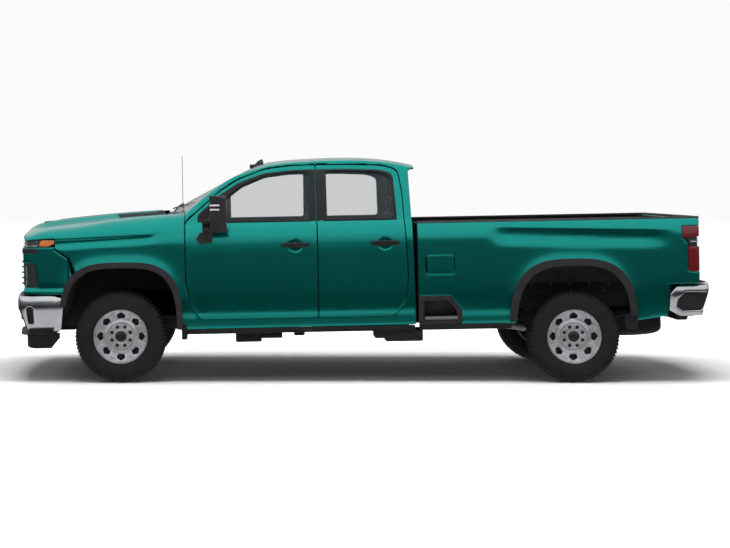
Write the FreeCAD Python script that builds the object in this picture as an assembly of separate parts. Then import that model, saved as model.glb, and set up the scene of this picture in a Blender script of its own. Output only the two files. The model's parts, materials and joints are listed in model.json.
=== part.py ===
"""A double-cab, long-bed heavy-duty pickup truck, standing on its wheels.

Lengths are millimetres.  The front is at -X, the left side at -Y and +Z is up.
The origin is on the ground, under the middle of the truck's box.

Everything is drawn first with x = 0 at the front axle.  The body and the frame
sit with their rear a little high, so what they carry is drawn level and is
then tipped by the rake angle about the front axle.  Pieces that come in pairs
are drawn on the +Y side and mirrored to the -Y side.
"""

import FreeCAD, Part
import math
import os

Vector = FreeCAD.Vector

# Whole truck
OVERALL_LENGTH = 6515.0
FRONT_OVERHANG = 1020.0
WHEELBASE = 4128.0
TRACK = 1743.0
RAKE_DEGREES = 1.1

# Wheels and tyres
TYRE_RADIUS = 417.0
TYRE_WIDTH = 275.0
RIM_LIP_RADIUS = 246.0
RIM_BARREL_RADIUS = 228.0
RIM_WIDTH = 216.0
RIM_WALL = 8.0
WINDOW_COUNT = 8
HUB_BORE_RADIUS = 32.0
RUNNING_CLEARANCE = 0.3

# Body side, as half widths and heights
BODY_HALF_WIDTH = 1008.0
WIDEST_Z = 1230.0
TURN_UNDER_Z = 780.0
SILL_BOTTOM_Z = 468.0
BELT_Z = 1395.0
GLASS_TOP_Z = 1930.0
BELT_HALF_WIDTH = 976.0
ROOF_HALF_WIDTH = 765.0
BELT_LEDGE = 42.0

# Panels
PANEL_GAP = 8.0
FENDER_SKIN = 18.0
HOOD_SKIN = 22.0
DOOR_SKIN = 9.0
DOOR_FLANGE = 26.0
DOOR_FRAME_DEPTH = 48.0
DOOR_INNER_Y = 868.0
SEAL_GAP = 12.0
RING_DEPTH = 46.0
ROOF_SKIN = 42.0
WALL_SKIN = 40.0
GLASS_THICKNESS = 6.0
TOUCH_GAP = 0.4

# Stations along the body, behind the front axle
DOOR_FRONT_X = 605.0
DOOR_SPLIT_X = 1806.0
CAB_BACK_X = 2688.0
CAB_BACK_LEAN = 28.0
DOOR_BOTTOM_Z = 566.0
BED_FRONT_X = 2714.0
BED_REAR_X = 5285.0
BED_FLOOR_Z = 837.0
BED_RAIL_Z = 1398.0
BED_INNER_Y = 907.0
WHEELHOUSE_INNER_Y = 649.0

# Hood and screen
HOOD_HALF_WIDTH = 800.0
NOSE_X = -935.0
NOSE_SWEEP = 45.0
NOSE_SWEEP_Y = 850.0
HOOD_REAR_X = 288.0
HOOD_REAR_SWEEP = 140.0
SCREEN_BASE_X = 383.0
SCREEN_BASE_SWEEP = 157.0
SCREEN_BASE_Z = 1508.0
SCREEN_TOP_X = 1166.0
SCREEN_TOP_Z = 1910.0
SCREEN_TOP_SWEEP = -34.0
SCREEN_SWEEP_Y = 750.0
SCREEN_BOW = 14.0

# Frame
RAIL_OUTER_Y = 432.0
RAIL_WIDTH = 76.0
RAIL_HEIGHT = 172.0
RAIL_TOP_Z = 600.0
RAIL_RISE = 132.0
RAIL_FRONT_X = -850.0
RAIL_REAR_X = 5330.0

FRONT_AXLE_X = FRONT_OVERHANG - OVERALL_LENGTH / 2
REAR_AXLE = WHEELBASE
WHEEL_Y = TRACK / 2


def smooth(value):
    """Rise smoothly from 0 to 1 while value goes from 0 to 1."""
    clipped = min(max(value, 0.0), 1.0)
    return clipped * clipped * (3.0 - 2.0 * clipped)


def steps(start, end, count):
    return [start + (end - start) * index / count for index in range(count + 1)]


def curve_through(points, value):
    """Read a smooth curve through (position, height) points at one position."""
    if value <= points[0][0]:
        return points[0][1]
    for (x0, z0), (x1, z1) in zip(points, points[1:]):
        if value <= x1:
            before = max(points.index((x0, z0)) - 1, 0)
            after = min(points.index((x1, z1)) + 1, len(points) - 1)
            slope_0 = (z1 - points[before][1]) / (x1 - points[before][0])
            slope_1 = (points[after][1] - z0) / (points[after][0] - x0)
            span = x1 - x0
            t = (value - x0) / span
            start_part = (2 * t**3 - 3 * t**2 + 1) * z0 + (t**3 - 2 * t**2 + t) * span * slope_0
            end_part = (3 * t**2 - 2 * t**3) * z1 + (t**3 - t**2) * span * slope_1
            return start_part + end_part
    return points[-1][1]


# Plain solids

def box(x0, x1, y0, y1, z0, z1):
    return Part.makeBox(x1 - x0, y1 - y0, z1 - z0, Vector(x0, y0, z0))


def cylinder(start, end, radius):
    line = end - start
    return Part.makeCylinder(radius, line.Length, start, line)


def fuse(shapes):
    whole = shapes[0]
    if len(shapes) > 1:
        whole = shapes[0].multiFuse(shapes[1:])
    return whole.removeSplitter()


def mirrored(shape):
    return shape.mirror(Vector(0, 0, 0), Vector(0, 1, 0))


def both_sides(shape):
    return [shape, mirrored(shape)]


def both_signs(value):
    return (value, -value)


def corner_wire(points, place):
    """Closed outline from (a, b, corner radius) points, with round corners.

    The radius is cut down where its two sides are too short for it.
    """
    count = len(points)
    trims = []
    for index in range(count):
        a = Vector(points[index - 1][0], points[index - 1][1], 0)
        b = Vector(points[index][0], points[index][1], 0)
        c = Vector(points[(index + 1) % count][0], points[(index + 1) % count][1], 0)
        back = (a - b).normalize()
        ahead = (c - b).normalize()
        half = back.getAngle(ahead) / 2
        room = 0.48 * min((a - b).Length, (c - b).Length)
        trim = min(points[index][2] / math.tan(half), room)
        trims.append((b, back, ahead, trim, trim * math.tan(half), half))
    edges = []
    for index in range(count):
        b, back, ahead, trim, radius, half = trims[index]
        next_corner = trims[(index + 1) % count]
        leave = b + ahead * trim
        if trim > 0.01:
            middle_way = (back + ahead).normalize()
            middle = b + middle_way * (radius / math.sin(half) - radius)
            start = b + back * trim
            edges.append(Part.Arc(place(start), place(middle), place(leave)).toShape())
        arrive = next_corner[0] + next_corner[1] * next_corner[3]
        if (arrive - leave).Length > 0.01:
            edges.append(Part.LineSegment(place(leave), place(arrive)).toShape())
    return Part.Wire(edges)


def side_prism(points, y0, y1, grow=0.0):
    """Prism along Y whose outline has (x, z, corner radius) points."""
    wire = corner_wire(points, lambda p: Vector(p.x, y0, p.y))
    if grow:
        wire = wire.makeOffset2D(grow)
    return Part.Face(wire).extrude(Vector(0, y1 - y0, 0))


def front_prism(points, x0, x1, grow=0.0):
    """Prism along X whose outline has (y, z, corner radius) points."""
    wire = corner_wire(points, lambda p: Vector(x0, p.x, p.y))
    if grow:
        wire = wire.makeOffset2D(grow)
    return Part.Face(wire).extrude(Vector(x1 - x0, 0, 0))


def top_prism(points, z0, z1):
    """Prism along Z whose outline has (x, y, corner radius) points."""
    wire = corner_wire(points, lambda p: Vector(p.x, p.y, z0))
    return Part.Face(wire).extrude(Vector(0, 0, z1 - z0))


def spline_edge(points):
    curve = Part.BSplineCurve()
    curve.interpolate(points)
    return curve.toShape()


def plan_prism(front_at, rear_at, half_width, z0, z1):
    """Prism along Z between two edges, each given as x for any y."""
    across = steps(-half_width, half_width, 12)
    front = [Vector(front_at(y), y, z0) for y in across]
    rear = [Vector(rear_at(y), y, z0) for y in reversed(across)]
    wire = Part.Wire([
        spline_edge(front), Part.LineSegment(front[-1], rear[0]).toShape(),
        spline_edge(rear), Part.LineSegment(rear[-1], front[0]).toShape()])
    return Part.Face(wire).extrude(Vector(0, 0, z1 - z0))


def plain(points):
    return [(a, b, 0.0) for a, b in points]


def field_face(point_at, first_steps, second_steps):
    """One smooth face through the points of a formula."""
    grid = [[point_at(a, b) for b in second_steps] for a in first_steps]
    surface = Part.BSplineSurface()
    surface.interpolate(grid)
    return surface.toShape()


def pipe(points, radius, bend):
    """Round tube body along straight runs joined by tangent arcs."""
    edges = []
    last = points[0]
    for before, corner, after in zip(points, points[1:], points[2:]):
        back = (before - corner).normalize()
        ahead = (after - corner).normalize()
        half = back.getAngle(ahead) / 2
        trim = bend / math.tan(half)
        start = corner + back * trim
        end = corner + ahead * trim
        way = (back + ahead).normalize()
        middle = corner + way * (bend / math.sin(half) - bend)
        edges.append(Part.LineSegment(last, start).toShape())
        edges.append(Part.Arc(start, middle, end).toShape())
        last = end
    edges.append(Part.LineSegment(last, points[-1]).toShape())
    path = Part.Wire(edges)
    circle = Part.makeCircle(radius, points[0], points[1] - points[0])
    return path.makePipeShell([Part.Wire([circle])], True, False)


# Wheel arch outlines: round-shouldered openings set about each axle

FRONT_ARCH_HALF_LENGTH = 512.0
FRONT_ARCH_TOP_Z = 1046.0
FRONT_ARCH_POWER = 3.3
REAR_ARCH_HALF_LENGTH = 522.0
REAR_ARCH_TOP_Z = 990.0
REAR_ARCH_POWER = 3.0
ARCH_CENTRE_Z = 430.0
REAR_ARCH_CENTRE_Z = 340.0
FLARE_BAND = 48.0
FLARE_STAND = 30.0
ARCH_BULGE = 16.0
ARCH_BULGE_REACH = 75.0


class Arch:
    """A wheel opening whose outline is a rounded box over the wheel."""

    def __init__(self, station, half_length, top_z, power, centre_z):
        self.station = station
        self.half_length = half_length
        self.height = top_z - centre_z
        self.power = power
        self.centre_z = centre_z

    def points(self, grow, count=28):
        """Outline from the front foot over the top to the rear foot."""
        result = []
        for angle in steps(math.pi, 0.0, count):
            c = math.cos(angle)
            s = math.sin(angle)
            x = math.copysign(abs(c) ** (2 / self.power), c) * (self.half_length + grow)
            z = s ** (2 / self.power) * (self.height + grow)
            result.append((self.station + x, self.centre_z + z))
        return result

    def outside(self, x, z):
        """About how far (x, z) lies outside the opening."""
        a = abs(x - self.station) / self.half_length
        b = max(z - self.centre_z, 0.0) / self.height
        ratio = (a**self.power + b**self.power) ** (1 / self.power)
        return (ratio - 1.0) * (self.half_length + self.height) / 2

    def cutter(self, grow, y0, y1, foot_z=200.0):
        """Solid that cuts the opening, open at the bottom."""
        points = [Vector(x, y0, z) for x, z in self.points(grow)]
        first = points[0]
        last = points[-1]
        low_first = Vector(first.x, y0, foot_z)
        low_last = Vector(last.x, y0, foot_z)
        edges = [
            spline_edge(points),
            Part.LineSegment(last, low_last).toShape(),
            Part.LineSegment(low_last, low_first).toShape(),
            Part.LineSegment(low_first, first).toShape(),
        ]
        return Part.Face(Part.Wire(edges)).extrude(Vector(0, y1 - y0, 0))


FRONT_ARCH = Arch(
    10.0, FRONT_ARCH_HALF_LENGTH, FRONT_ARCH_TOP_Z, FRONT_ARCH_POWER, ARCH_CENTRE_Z)
REAR_ARCH = Arch(
    REAR_AXLE - 7.0, REAR_ARCH_HALF_LENGTH, REAR_ARCH_TOP_Z, REAR_ARCH_POWER,
    REAR_ARCH_CENTRE_Z)


# The body side, as the half width at any station and height

NOSE_TAPER_START = -250.0
NOSE_TAPER_LENGTH = 650.0
NOSE_TAPER = 105.0


def side_width(x, z):
    low = max(WIDEST_Z - z, 0.0)
    width = BODY_HALF_WIDTH - 6.0 * (low / (WIDEST_Z - TURN_UNDER_Z)) ** 2
    under = max(TURN_UNDER_Z - z, 0.0) / (TURN_UNDER_Z - SILL_BOTTOM_Z)
    width -= 26.0 * under**1.5
    high = min(max(z - WIDEST_Z, 0.0) / (BELT_Z - WIDEST_Z), 1.0)
    width -= (BODY_HALF_WIDTH - BELT_HALF_WIDTH) * high**2
    width -= BELT_LEDGE * smooth((z - BELT_Z + 5.0) / 50.0)
    above = max(z - BELT_Z, 0.0) / (GLASS_TOP_Z - BELT_Z)
    width -= (BELT_HALF_WIDTH - BELT_LEDGE - ROOF_HALF_WIDTH) * above**1.2
    taper = max(NOSE_TAPER_START - x, 0.0) / NOSE_TAPER_LENGTH
    width -= NOSE_TAPER * taper**2.2
    for arch in (FRONT_ARCH, REAR_ARCH):
        outside = max(arch.outside(x, z), 0.0)
        width += ARCH_BULGE * math.exp(-((outside / ARCH_BULGE_REACH) ** 2))
    return width


SIDE_DEPTH = 420.0


def side_volume(x0, x1, z0, z1, inset=0.0, depth=SIDE_DEPTH, x_step=90.0, z_step=32.0):
    """Solid whose outer face is the body side, moved in by inset."""
    across = steps(x0, x1, max(int((x1 - x0) / x_step), 3))
    upward = steps(z0, z1, max(int((z1 - z0) / z_step), 3))
    face = field_face(lambda x, z: Vector(x, side_width(x, z) - inset, z), across, upward)
    return face.extrude(Vector(0, -depth, 0))


def inner_profile(low_y, high_y, top_y):
    """(y, z) edge that runs up the inside of a side panel."""
    return [(low_y, 200.0), (low_y, BELT_Z), (high_y, BELT_Z), (top_y, GLASS_TOP_Z)]


def outside_of(profile, x0, x1, reach=1300.0, top_z=2200.0):
    """Everything on the +Y side of an inner profile line."""
    (y_a, z_a), (y_b, z_b) = profile[-2:]
    slope = (y_b - y_a) / (z_b - z_a)
    top_y = y_b + slope * (top_z - z_b)
    points = profile + [(top_y, top_z), (reach, top_z), (reach, profile[0][1])]
    return front_prism(plain(points), x0, x1)


GLASS_LINE_BELT = BELT_HALF_WIDTH - BELT_LEDGE
DOOR_LINE = inner_profile(
    DOOR_INNER_Y, GLASS_LINE_BELT - DOOR_FRAME_DEPTH, ROOF_HALF_WIDTH - DOOR_FRAME_DEPTH)
POCKET_LINE = inner_profile(
    DOOR_INNER_Y - SEAL_GAP,
    GLASS_LINE_BELT - DOOR_FRAME_DEPTH - SEAL_GAP,
    ROOF_HALF_WIDTH - DOOR_FRAME_DEPTH - SEAL_GAP)
RING_INNER_Y = DOOR_INNER_Y - SEAL_GAP - RING_DEPTH
RING_LINE = inner_profile(
    RING_INNER_Y,
    GLASS_LINE_BELT - DOOR_FRAME_DEPTH - SEAL_GAP - RING_DEPTH,
    ROOF_HALF_WIDTH - DOOR_FRAME_DEPTH - SEAL_GAP - RING_DEPTH)


def within(line, x0, x1, z0, z1):
    """Everything between a side panel's inner line and its mirror image."""
    (y_a, z_a), (y_b, z_b) = line[-2:]
    slope = (y_b - y_a) / (z_b - z_a)
    if z0 < z_a:
        half = [(line[0][0], z0), (line[0][0], z_a), (y_a, z_a)]
    else:
        half = [(y_a + slope * (z0 - z_a), z0)]
    half.append((y_b + slope * (z1 - z_b), z1))
    points = half + [(-y, z) for y, z in reversed(half)]
    return front_prism(plain(points), x0, x1)


# Cab outer shape

ROOF_LINE = [
    (700.0, 1686.0), (960.0, 1816.0), (1166.0, 1914.0), (1290.0, 1961.0), (1409.0, 1993.0),
    (1700.0, 2014.0), (2122.0, 2021.0), (2450.0, 1998.0), (2705.0, 1949.0), (2790.0, 1922.0)]
ROOF_CROWN = 40.0
ROOF_CROWN_START_X = 900.0
ROOF_CROWN_LENGTH = 500.0
HEADER_BLEND = 16.0
HEADER_X = 1150.0
HEADER_SWEEP = -40.0
ROOF_LIP_X = 2728.0
ROOF_LIP_Z = 1908.0
CAB_FRONT_X = 522.0
CAB_BOTTOM_Z = SILL_BOTTOM_Z
HINGE_PILLAR_Y = 925.0


def screen_z(x, y):
    """Height of the windscreen's outer face."""
    sweep = (y / SCREEN_SWEEP_Y) ** 2
    base = SCREEN_BASE_X + SCREEN_BASE_SWEEP * sweep
    run = SCREEN_TOP_X + SCREEN_TOP_SWEEP * sweep - base
    rise = (x - base) / run
    for _ in range(3):
        bow = SCREEN_BOW * math.sin(math.pi * min(max(rise, 0.0), 1.0))
        rise = (x - base + bow) / run
    return SCREEN_BASE_Z + rise * (SCREEN_TOP_Z - SCREEN_BASE_Z)


def roof_z(x, y):
    crown = ROOF_CROWN * smooth((x - ROOF_CROWN_START_X) / ROOF_CROWN_LENGTH)
    return curve_through(ROOF_LINE, x) - crown * (abs(y) / ROOF_HALF_WIDTH) ** 2.6


def top_z(x, y):
    """Height of the cab's top: windscreen and roof, blended at the header."""
    screen = screen_z(x, y)
    roof = roof_z(x, y)
    near = max(HEADER_BLEND - abs(screen - roof), 0.0)
    return min(screen, roof) - near**2 / (4.0 * HEADER_BLEND)


def header_x(y):
    return HEADER_X + HEADER_SWEEP * (y / SCREEN_SWEEP_Y) ** 2


def top_volume(inset=0.0, depth=1700.0):
    """Solid under the cab's top surface, moved down by inset."""
    face = field_face(
        lambda x, y: Vector(x, y, top_z(x, y) - inset),
        steps(320.0, 2800.0, 50), steps(-1040.0, 1040.0, 22))
    return face.extrude(Vector(0, 0, -depth))


def cab_back_x(z):
    return CAB_BACK_X - CAB_BACK_LEAN * (z - 700.0) / 1200.0


def roof_lip():
    """Side view of all that lies ahead of the cab's back, above the belt."""
    return side_prism(plain([
        (400.0, 1500.0), (cab_back_x(1500.0), 1500.0), (cab_back_x(1880.0), 1880.0),
        (ROOF_LIP_X, ROOF_LIP_Z), (ROOF_LIP_X - 24.0, 2120.0), (400.0, 2120.0)]),
        -1050.0, 1050.0)


def cab_envelope():
    """Outer limits of the cab from front, above and behind."""
    high = top_volume().common(roof_lip())
    low = side_prism(plain([
        (CAB_FRONT_X, CAB_BOTTOM_Z), (cab_back_x(CAB_BOTTOM_Z), CAB_BOTTOM_Z),
        (cab_back_x(1500.0), 1500.0), (CAB_FRONT_X, 1500.0)]), -1050.0, 1050.0)
    return high, low.common(top_volume())


# Front fender: its side rolls over to the hood

FENDER_ROLL_LINE = [(-950.0, 1296.0), (-583.0, 1314.0), (351.0, 1341.0), (640.0, 1346.0)]
HOOD_EDGE_LINE = [
    (-960.0, 1318.0), (-890.0, 1338.0), (-693.0, 1402.0), (-358.0, 1441.0),
    (-69.0, 1481.0), (419.0, 1517.0), (640.0, 1530.0)]
HEADLAMP_TOP_Z = 1318.0
HEADLAMP_BOTTOM_Z = 1243.0
HEADLAMP_REAR_X = -590.0
FENDER_FRONT_X = -868.0


def nose_x(y):
    return NOSE_X + NOSE_SWEEP * (abs(y) / NOSE_SWEEP_Y) ** 2.5


def fender_point(x, t):
    """Point up the fender side for t in 0..1, then over the roll for 1..2."""
    roll_z = curve_through(FENDER_ROLL_LINE, x)
    if t <= 1.0:
        z = 430.0 + (roll_z - 430.0) * t
        return Vector(x, side_width(x, z), z)
    edge_z = curve_through(HOOD_EDGE_LINE, x)
    angle = (t - 1.0) * math.pi / 2
    wide = side_width(x, roll_z)
    inner = HOOD_HALF_WIDTH - 30.0
    y = inner + (wide - inner) * math.cos(angle)
    return Vector(x, y, roll_z + (edge_z - roll_z) * math.sin(angle))


def fender_face():
    upward = steps(0.0, 1.0, 26) + steps(1.0, 2.0, 10)[1:]
    return field_face(fender_point, steps(-950.0, 640.0, 20), upward)


FENDER_OUTLINE = [
    (FENDER_FRONT_X, HEADLAMP_TOP_Z + 5.0, 30.0), (FENDER_FRONT_X, 1700.0, 0.0),
    (DOOR_FRONT_X - PANEL_GAP, 1700.0, 0.0), (DOOR_FRONT_X - PANEL_GAP, 900.0, 300.0),
    (650.0 - PANEL_GAP, 700.0, 120.0), (722.0 - PANEL_GAP, DOOR_BOTTOM_Z - 4.0, 6.0),
    (560.0, DOOR_BOTTOM_Z - 4.0, 0.0), (560.0, SILL_BOTTOM_Z, 0.0),
    (300.0, SILL_BOTTOM_Z, 0.0), (300.0, 620.0, 0.0), (-360.0, 900.0, 0.0),
    (-452.0, 1142.0, 10.0), (HEADLAMP_REAR_X + 6.0, HEADLAMP_BOTTOM_Z - 12.0, 8.0),
    (HEADLAMP_REAR_X + 6.0, HEADLAMP_TOP_Z + 5.0, 8.0)]


def fender_clearance():
    """Room for the fenders, to cut out of what lies behind them."""
    face = fender_face()
    face.translate(Vector(0, 4.0, 4.0))
    room = face.extrude(Vector(0, -FENDER_SKIN - 6.0, -FENDER_SKIN - 6.0))
    return room.common(side_prism(FENDER_OUTLINE, 300.0, 1300.0, grow=PANEL_GAP / 2))


# Doors

FRONT_DOOR_OUTLINE = [
    (730.0, DOOR_BOTTOM_Z, 60.0), (650.0, 700.0, 160.0), (DOOR_FRONT_X, 900.0, 300.0),
    (DOOR_FRONT_X, 1440.0, 60.0), (700.0, 1524.0, 60.0), (922.0, 1717.0, 260.0),
    (1087.0, 1821.0, 400.0), (1333.0, 1915.0, 500.0), (1581.0, 1943.0, 900.0),
    (DOOR_SPLIT_X - PANEL_GAP / 2, 1947.0, 14.0),
    (DOOR_SPLIT_X - PANEL_GAP / 2, DOOR_BOTTOM_Z, 30.0)]
REAR_DOOR_OUTLINE = [
    (DOOR_SPLIT_X + PANEL_GAP / 2, DOOR_BOTTOM_Z, 30.0),
    (DOOR_SPLIT_X + PANEL_GAP / 2, 1947.0, 14.0), (2100.0, 1944.0, 900.0),
    (2408.0, 1932.0, 500.0), (2560.0, 1890.0, 90.0), (2590.0, 1671.0, 200.0),
    (2603.0, 1345.0, 300.0), (2624.0, 900.0, 300.0), (2600.0, 700.0, 160.0),
    (2500.0, DOOR_BOTTOM_Z + 6.0, 80.0)]
FRONT_WINDOW = [
    (800.0, 1446.0, 24.0), (818.0, 1536.0, 30.0), (1108.0, 1762.0, 200.0),
    (1346.0, 1860.0, 300.0), (1590.0, 1888.0, 500.0), (1742.0, 1890.0, 20.0),
    (1742.0, 1446.0, 20.0)]
REAR_WINDOW = [
    (1902.0, 1446.0, 20.0), (1902.0, 1890.0, 20.0), (2120.0, 1888.0, 500.0),
    (2390.0, 1874.0, 300.0), (2488.0, 1836.0, 60.0), (2508.0, 1446.0, 30.0)]
HINGE_REACH = 70.0
HINGE_INSET = 20.0
HINGE_Y = BODY_HALF_WIDTH - HINGE_INSET
HINGE_HEIGHTS = (800.0, 1190.0)
HINGE_PIN_RADIUS = 7.0
HINGE_PIN_HALF = 46.0
HINGE_ARM_HALF = 24.0
HINGE_ARM_WIDTH = 10.0
HINGE_SLOT_HALF = 31.0
HINGE_PILLAR_INSET = 96.0
HINGE_POCKET_EXTRA = 16.0
APERTURE_INSET = 44.0
SIDE_GLASS_INSET = 16.0


def door_panel(outline, window, hinge_x):
    """Outer skin, thick lower half and window frame of one door."""
    xs = [point[0] for point in outline]
    x0 = min(xs) - 12.0
    x1 = max(xs) + 12.0
    z0 = DOOR_BOTTOM_Z - 12.0
    z1 = 1975.0
    skin = side_volume(x0, x1, z0, z1, depth=DOOR_SKIN)
    skin = skin.common(side_prism(outline, 500.0, 1200.0))
    deep = side_volume(x0, x1, z0, z1, inset=DOOR_SKIN / 2)
    core = deep.common(side_prism(outline, 500.0, 1200.0, grow=-DOOR_FLANGE))
    core = core.common(outside_of(DOOR_LINE, x0, x1))
    door = skin.fuse(core)
    door = door.cut(side_prism(window, 500.0, 1200.0))
    for z in HINGE_HEIGHTS:
        slot_top = HINGE_Y + HINGE_PIN_RADIUS + 2.0
        door = door.cut(box(
            hinge_x - 200.0, hinge_x + 14.0, 800.0, slot_top,
            z - HINGE_SLOT_HALF, z + HINGE_SLOT_HALF))
        hole = HINGE_PIN_RADIUS + RUNNING_CLEARANCE
        low = Vector(hinge_x, HINGE_Y, z - HINGE_PIN_HALF - 1.0)
        high = Vector(hinge_x, HINGE_Y, z + HINGE_PIN_HALF + 1.0)
        door = door.cut(cylinder(low, high, hole))
    return door.removeSplitter()


def door_hinges(hinge_x):
    """The body halves of a door's hinges: an arm with a pin through its end."""
    halves = []
    for z in HINGE_HEIGHTS:
        arm = box(
            hinge_x - HINGE_ARM_WIDTH / 2, hinge_x + HINGE_ARM_WIDTH / 2,
            RING_INNER_Y + 4.0, HINGE_Y, z - HINGE_ARM_HALF, z + HINGE_ARM_HALF)
        pin = cylinder(
            Vector(hinge_x, HINGE_Y, z - HINGE_PIN_HALF),
            Vector(hinge_x, HINGE_Y, z + HINGE_PIN_HALF), HINGE_PIN_RADIUS)
        halves.append(arm.fuse(pin))
    return halves


FRONT_HINGE_X = DOOR_FRONT_X + HINGE_REACH
REAR_HINGE_X = DOOR_SPLIT_X + PANEL_GAP / 2 + HINGE_REACH


def glass_pane(window, inset, margin):
    """Curved side glass that fills a window, held in its frame by a margin."""
    xs = [point[0] for point in window]
    zs = [point[1] for point in window]
    x0 = min(xs) - 30.0
    x1 = max(xs) + 30.0
    z0 = min(zs) - 30.0
    z1 = max(zs) + 30.0
    pane = side_volume(x0, x1, z0, z1, inset=inset, depth=GLASS_THICKNESS)
    return pane.common(side_prism(window, 500.0, 1200.0, grow=margin))


def cab_side():
    """Side of the cab: pillars, sill and roof rail around two door openings."""
    x0 = CAB_FRONT_X
    x1 = ROOF_LIP_X + 2.0
    whole = side_volume(x0, x1, CAB_BOTTOM_Z, 2070.0, depth=460.0)
    whole = whole.common(outside_of(RING_LINE, x0 - 10.0, x1 + 10.0))
    high, low = cab_envelope()
    panel = whole.common(high).fuse(whole.common(low))
    panel = panel.cut(box(
        x0 - 20.0, DOOR_FRONT_X - 4.0, HINGE_PILLAR_Y, 1200.0, 300.0, 1460.0))
    panel = panel.cut(fender_clearance())
    hinge_lines = (
        (FRONT_DOOR_OUTLINE, DOOR_FRONT_X), (REAR_DOOR_OUTLINE, DOOR_SPLIT_X))
    for outline, front_x in hinge_lines:
        pocket = side_prism(outline, 500.0, 1200.0, grow=PANEL_GAP)
        panel = panel.cut(pocket.common(outside_of(POCKET_LINE, x0, x1)))
        opening = side_prism(outline, 500.0, 1200.0, grow=-APERTURE_INSET)
        keep_x = front_x + HINGE_PILLAR_INSET
        panel = panel.cut(opening.common(box(
            keep_x, x1, 400.0, 1300.0, APERTURE_BOTTOM_Z, 2200.0)))
        hinge_pocket = box(
            front_x - PANEL_GAP, keep_x + 1.0,
            POCKET_LINE[0][0] - HINGE_POCKET_EXTRA, 1200.0, DOOR_BOTTOM_Z + 20.0, BELT_Z)
        panel = panel.cut(hinge_pocket)
    for hinge_x in (FRONT_HINGE_X, REAR_HINGE_X):
        for half in door_hinges(hinge_x):
            panel = panel.fuse(half)
    return panel.removeSplitter()


def cab_roof():
    """Roof skin between the side panels, with its lip over the back window."""
    skin = top_volume(depth=ROOF_SKIN).common(roof_lip())
    skin = skin.common(within(RING_LINE, 900.0, 2800.0, 1700.0, 2200.0))
    return skin.common(plan_prism(header_x, lambda y: 2900.0, 1000.0, 1600.0, 2200.0))


BACK_GLASS = [
    (-590.0, 1462.0, 60.0), (590.0, 1462.0, 60.0), (560.0, 1850.0, 60.0),
    (-560.0, 1850.0, 60.0)]
BACK_GLASS_INSET = 14.0
FLOOR_TOP_Z = 642.0
FLOOR_SKIN = 30.0
APERTURE_BOTTOM_Z = 650.0
CAB_MOUNT_RADIUS = 38.0
CAB_MOUNT_STATIONS = (700.0, 1600.0, 2520.0)
FIREWALL_TOP_Z = 1478.0
TUNNEL_HALF_WIDTH = 190.0
TUNNEL_TOP_Z = 790.0
TUNNEL_REAR_X = 1500.0


def cab_back():
    """Back wall of the cab, with its window cut out."""
    low_z = FLOOR_TOP_Z - FLOOR_SKIN
    slab = side_prism(plain([
        (cab_back_x(low_z) - WALL_SKIN, low_z), (cab_back_x(low_z), low_z),
        (cab_back_x(1960.0), 1960.0), (cab_back_x(1960.0) - WALL_SKIN, 1960.0)]),
        -900.0, 900.0)
    slab = slab.common(within(RING_LINE, 2400.0, 2800.0, low_z, 2200.0))
    slab = slab.common(top_volume(inset=ROOF_SKIN))
    return slab.cut(front_prism(BACK_GLASS, 2500.0, 2800.0))


def cab_floor():
    """Floor, gearbox tunnel and the wall ahead of the passengers' feet."""
    back = cab_back_x(FLOOR_TOP_Z - FLOOR_SKIN) - WALL_SKIN - 1.0
    inner = RING_INNER_Y
    slab = box(CAB_FRONT_X, back, -inner, inner, FLOOR_TOP_Z - FLOOR_SKIN, FLOOR_TOP_Z)
    wall = within(
        RING_LINE, CAB_FRONT_X, CAB_FRONT_X + FLOOR_SKIN, FLOOR_TOP_Z - FLOOR_SKIN,
        FIREWALL_TOP_Z)
    tunnel = box(
        CAB_FRONT_X, TUNNEL_REAR_X, -TUNNEL_HALF_WIDTH, TUNNEL_HALF_WIDTH,
        FLOOR_TOP_Z - FLOOR_SKIN, TUNNEL_TOP_Z)
    hollow = box(
        CAB_FRONT_X - 1.0, TUNNEL_REAR_X - 18.0, -TUNNEL_HALF_WIDTH + 18.0,
        TUNNEL_HALF_WIDTH - 18.0, FLOOR_TOP_Z - FLOOR_SKIN - 1.0, TUNNEL_TOP_Z - 18.0)
    mounts = []
    for x in CAB_MOUNT_STATIONS:
        for y in (RAIL_OUTER_Y - RAIL_WIDTH / 2, RAIL_WIDTH / 2 - RAIL_OUTER_Y):
            mounts.append(cylinder(
                Vector(x, y, RAIL_TOP_Z), Vector(x, y, FLOOR_TOP_Z - 2.0), CAB_MOUNT_RADIUS))
    return fuse([slab, wall, tunnel]).cut(hollow).multiFuse(
        mounts + hood_brackets()).removeSplitter()


def windscreen():
    """Curved windscreen between the pillars, cowl and roof."""
    slope = (SCREEN_TOP_Z - SCREEN_BASE_Z) / (SCREEN_TOP_X - SCREEN_BASE_X)
    pane = top_volume(depth=GLASS_THICKNESS * math.hypot(1.0, slope))
    pane = pane.common(within(
        RING_LINE, 300.0, 1500.0, COWL_TOP_Z + TOUCH_GAP, SCREEN_TOP_Z + 40.0))
    return pane.common(plan_prism(
        lambda y: 320.0, lambda y: header_x(y) - TOUCH_GAP, 1000.0, 1400.0, 2200.0))


def back_glass():
    x = cab_back_x(1650.0) - BACK_GLASS_INSET
    pane = front_prism(BACK_GLASS, x - GLASS_THICKNESS, x, grow=-TOUCH_GAP)
    pane.rotate(
        Vector(x, 0, 1650.0), Vector(0, 1, 0),
        -math.degrees(math.atan(CAB_BACK_LEAN / 1200.0)))
    return pane


COWL_HALF_WIDTH = 795.0
COWL_TOP_Z = 1490.0
COWL_NOTCH_HALF = 20.0
COWL_NOTCH_REAR_X = 484.0


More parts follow.
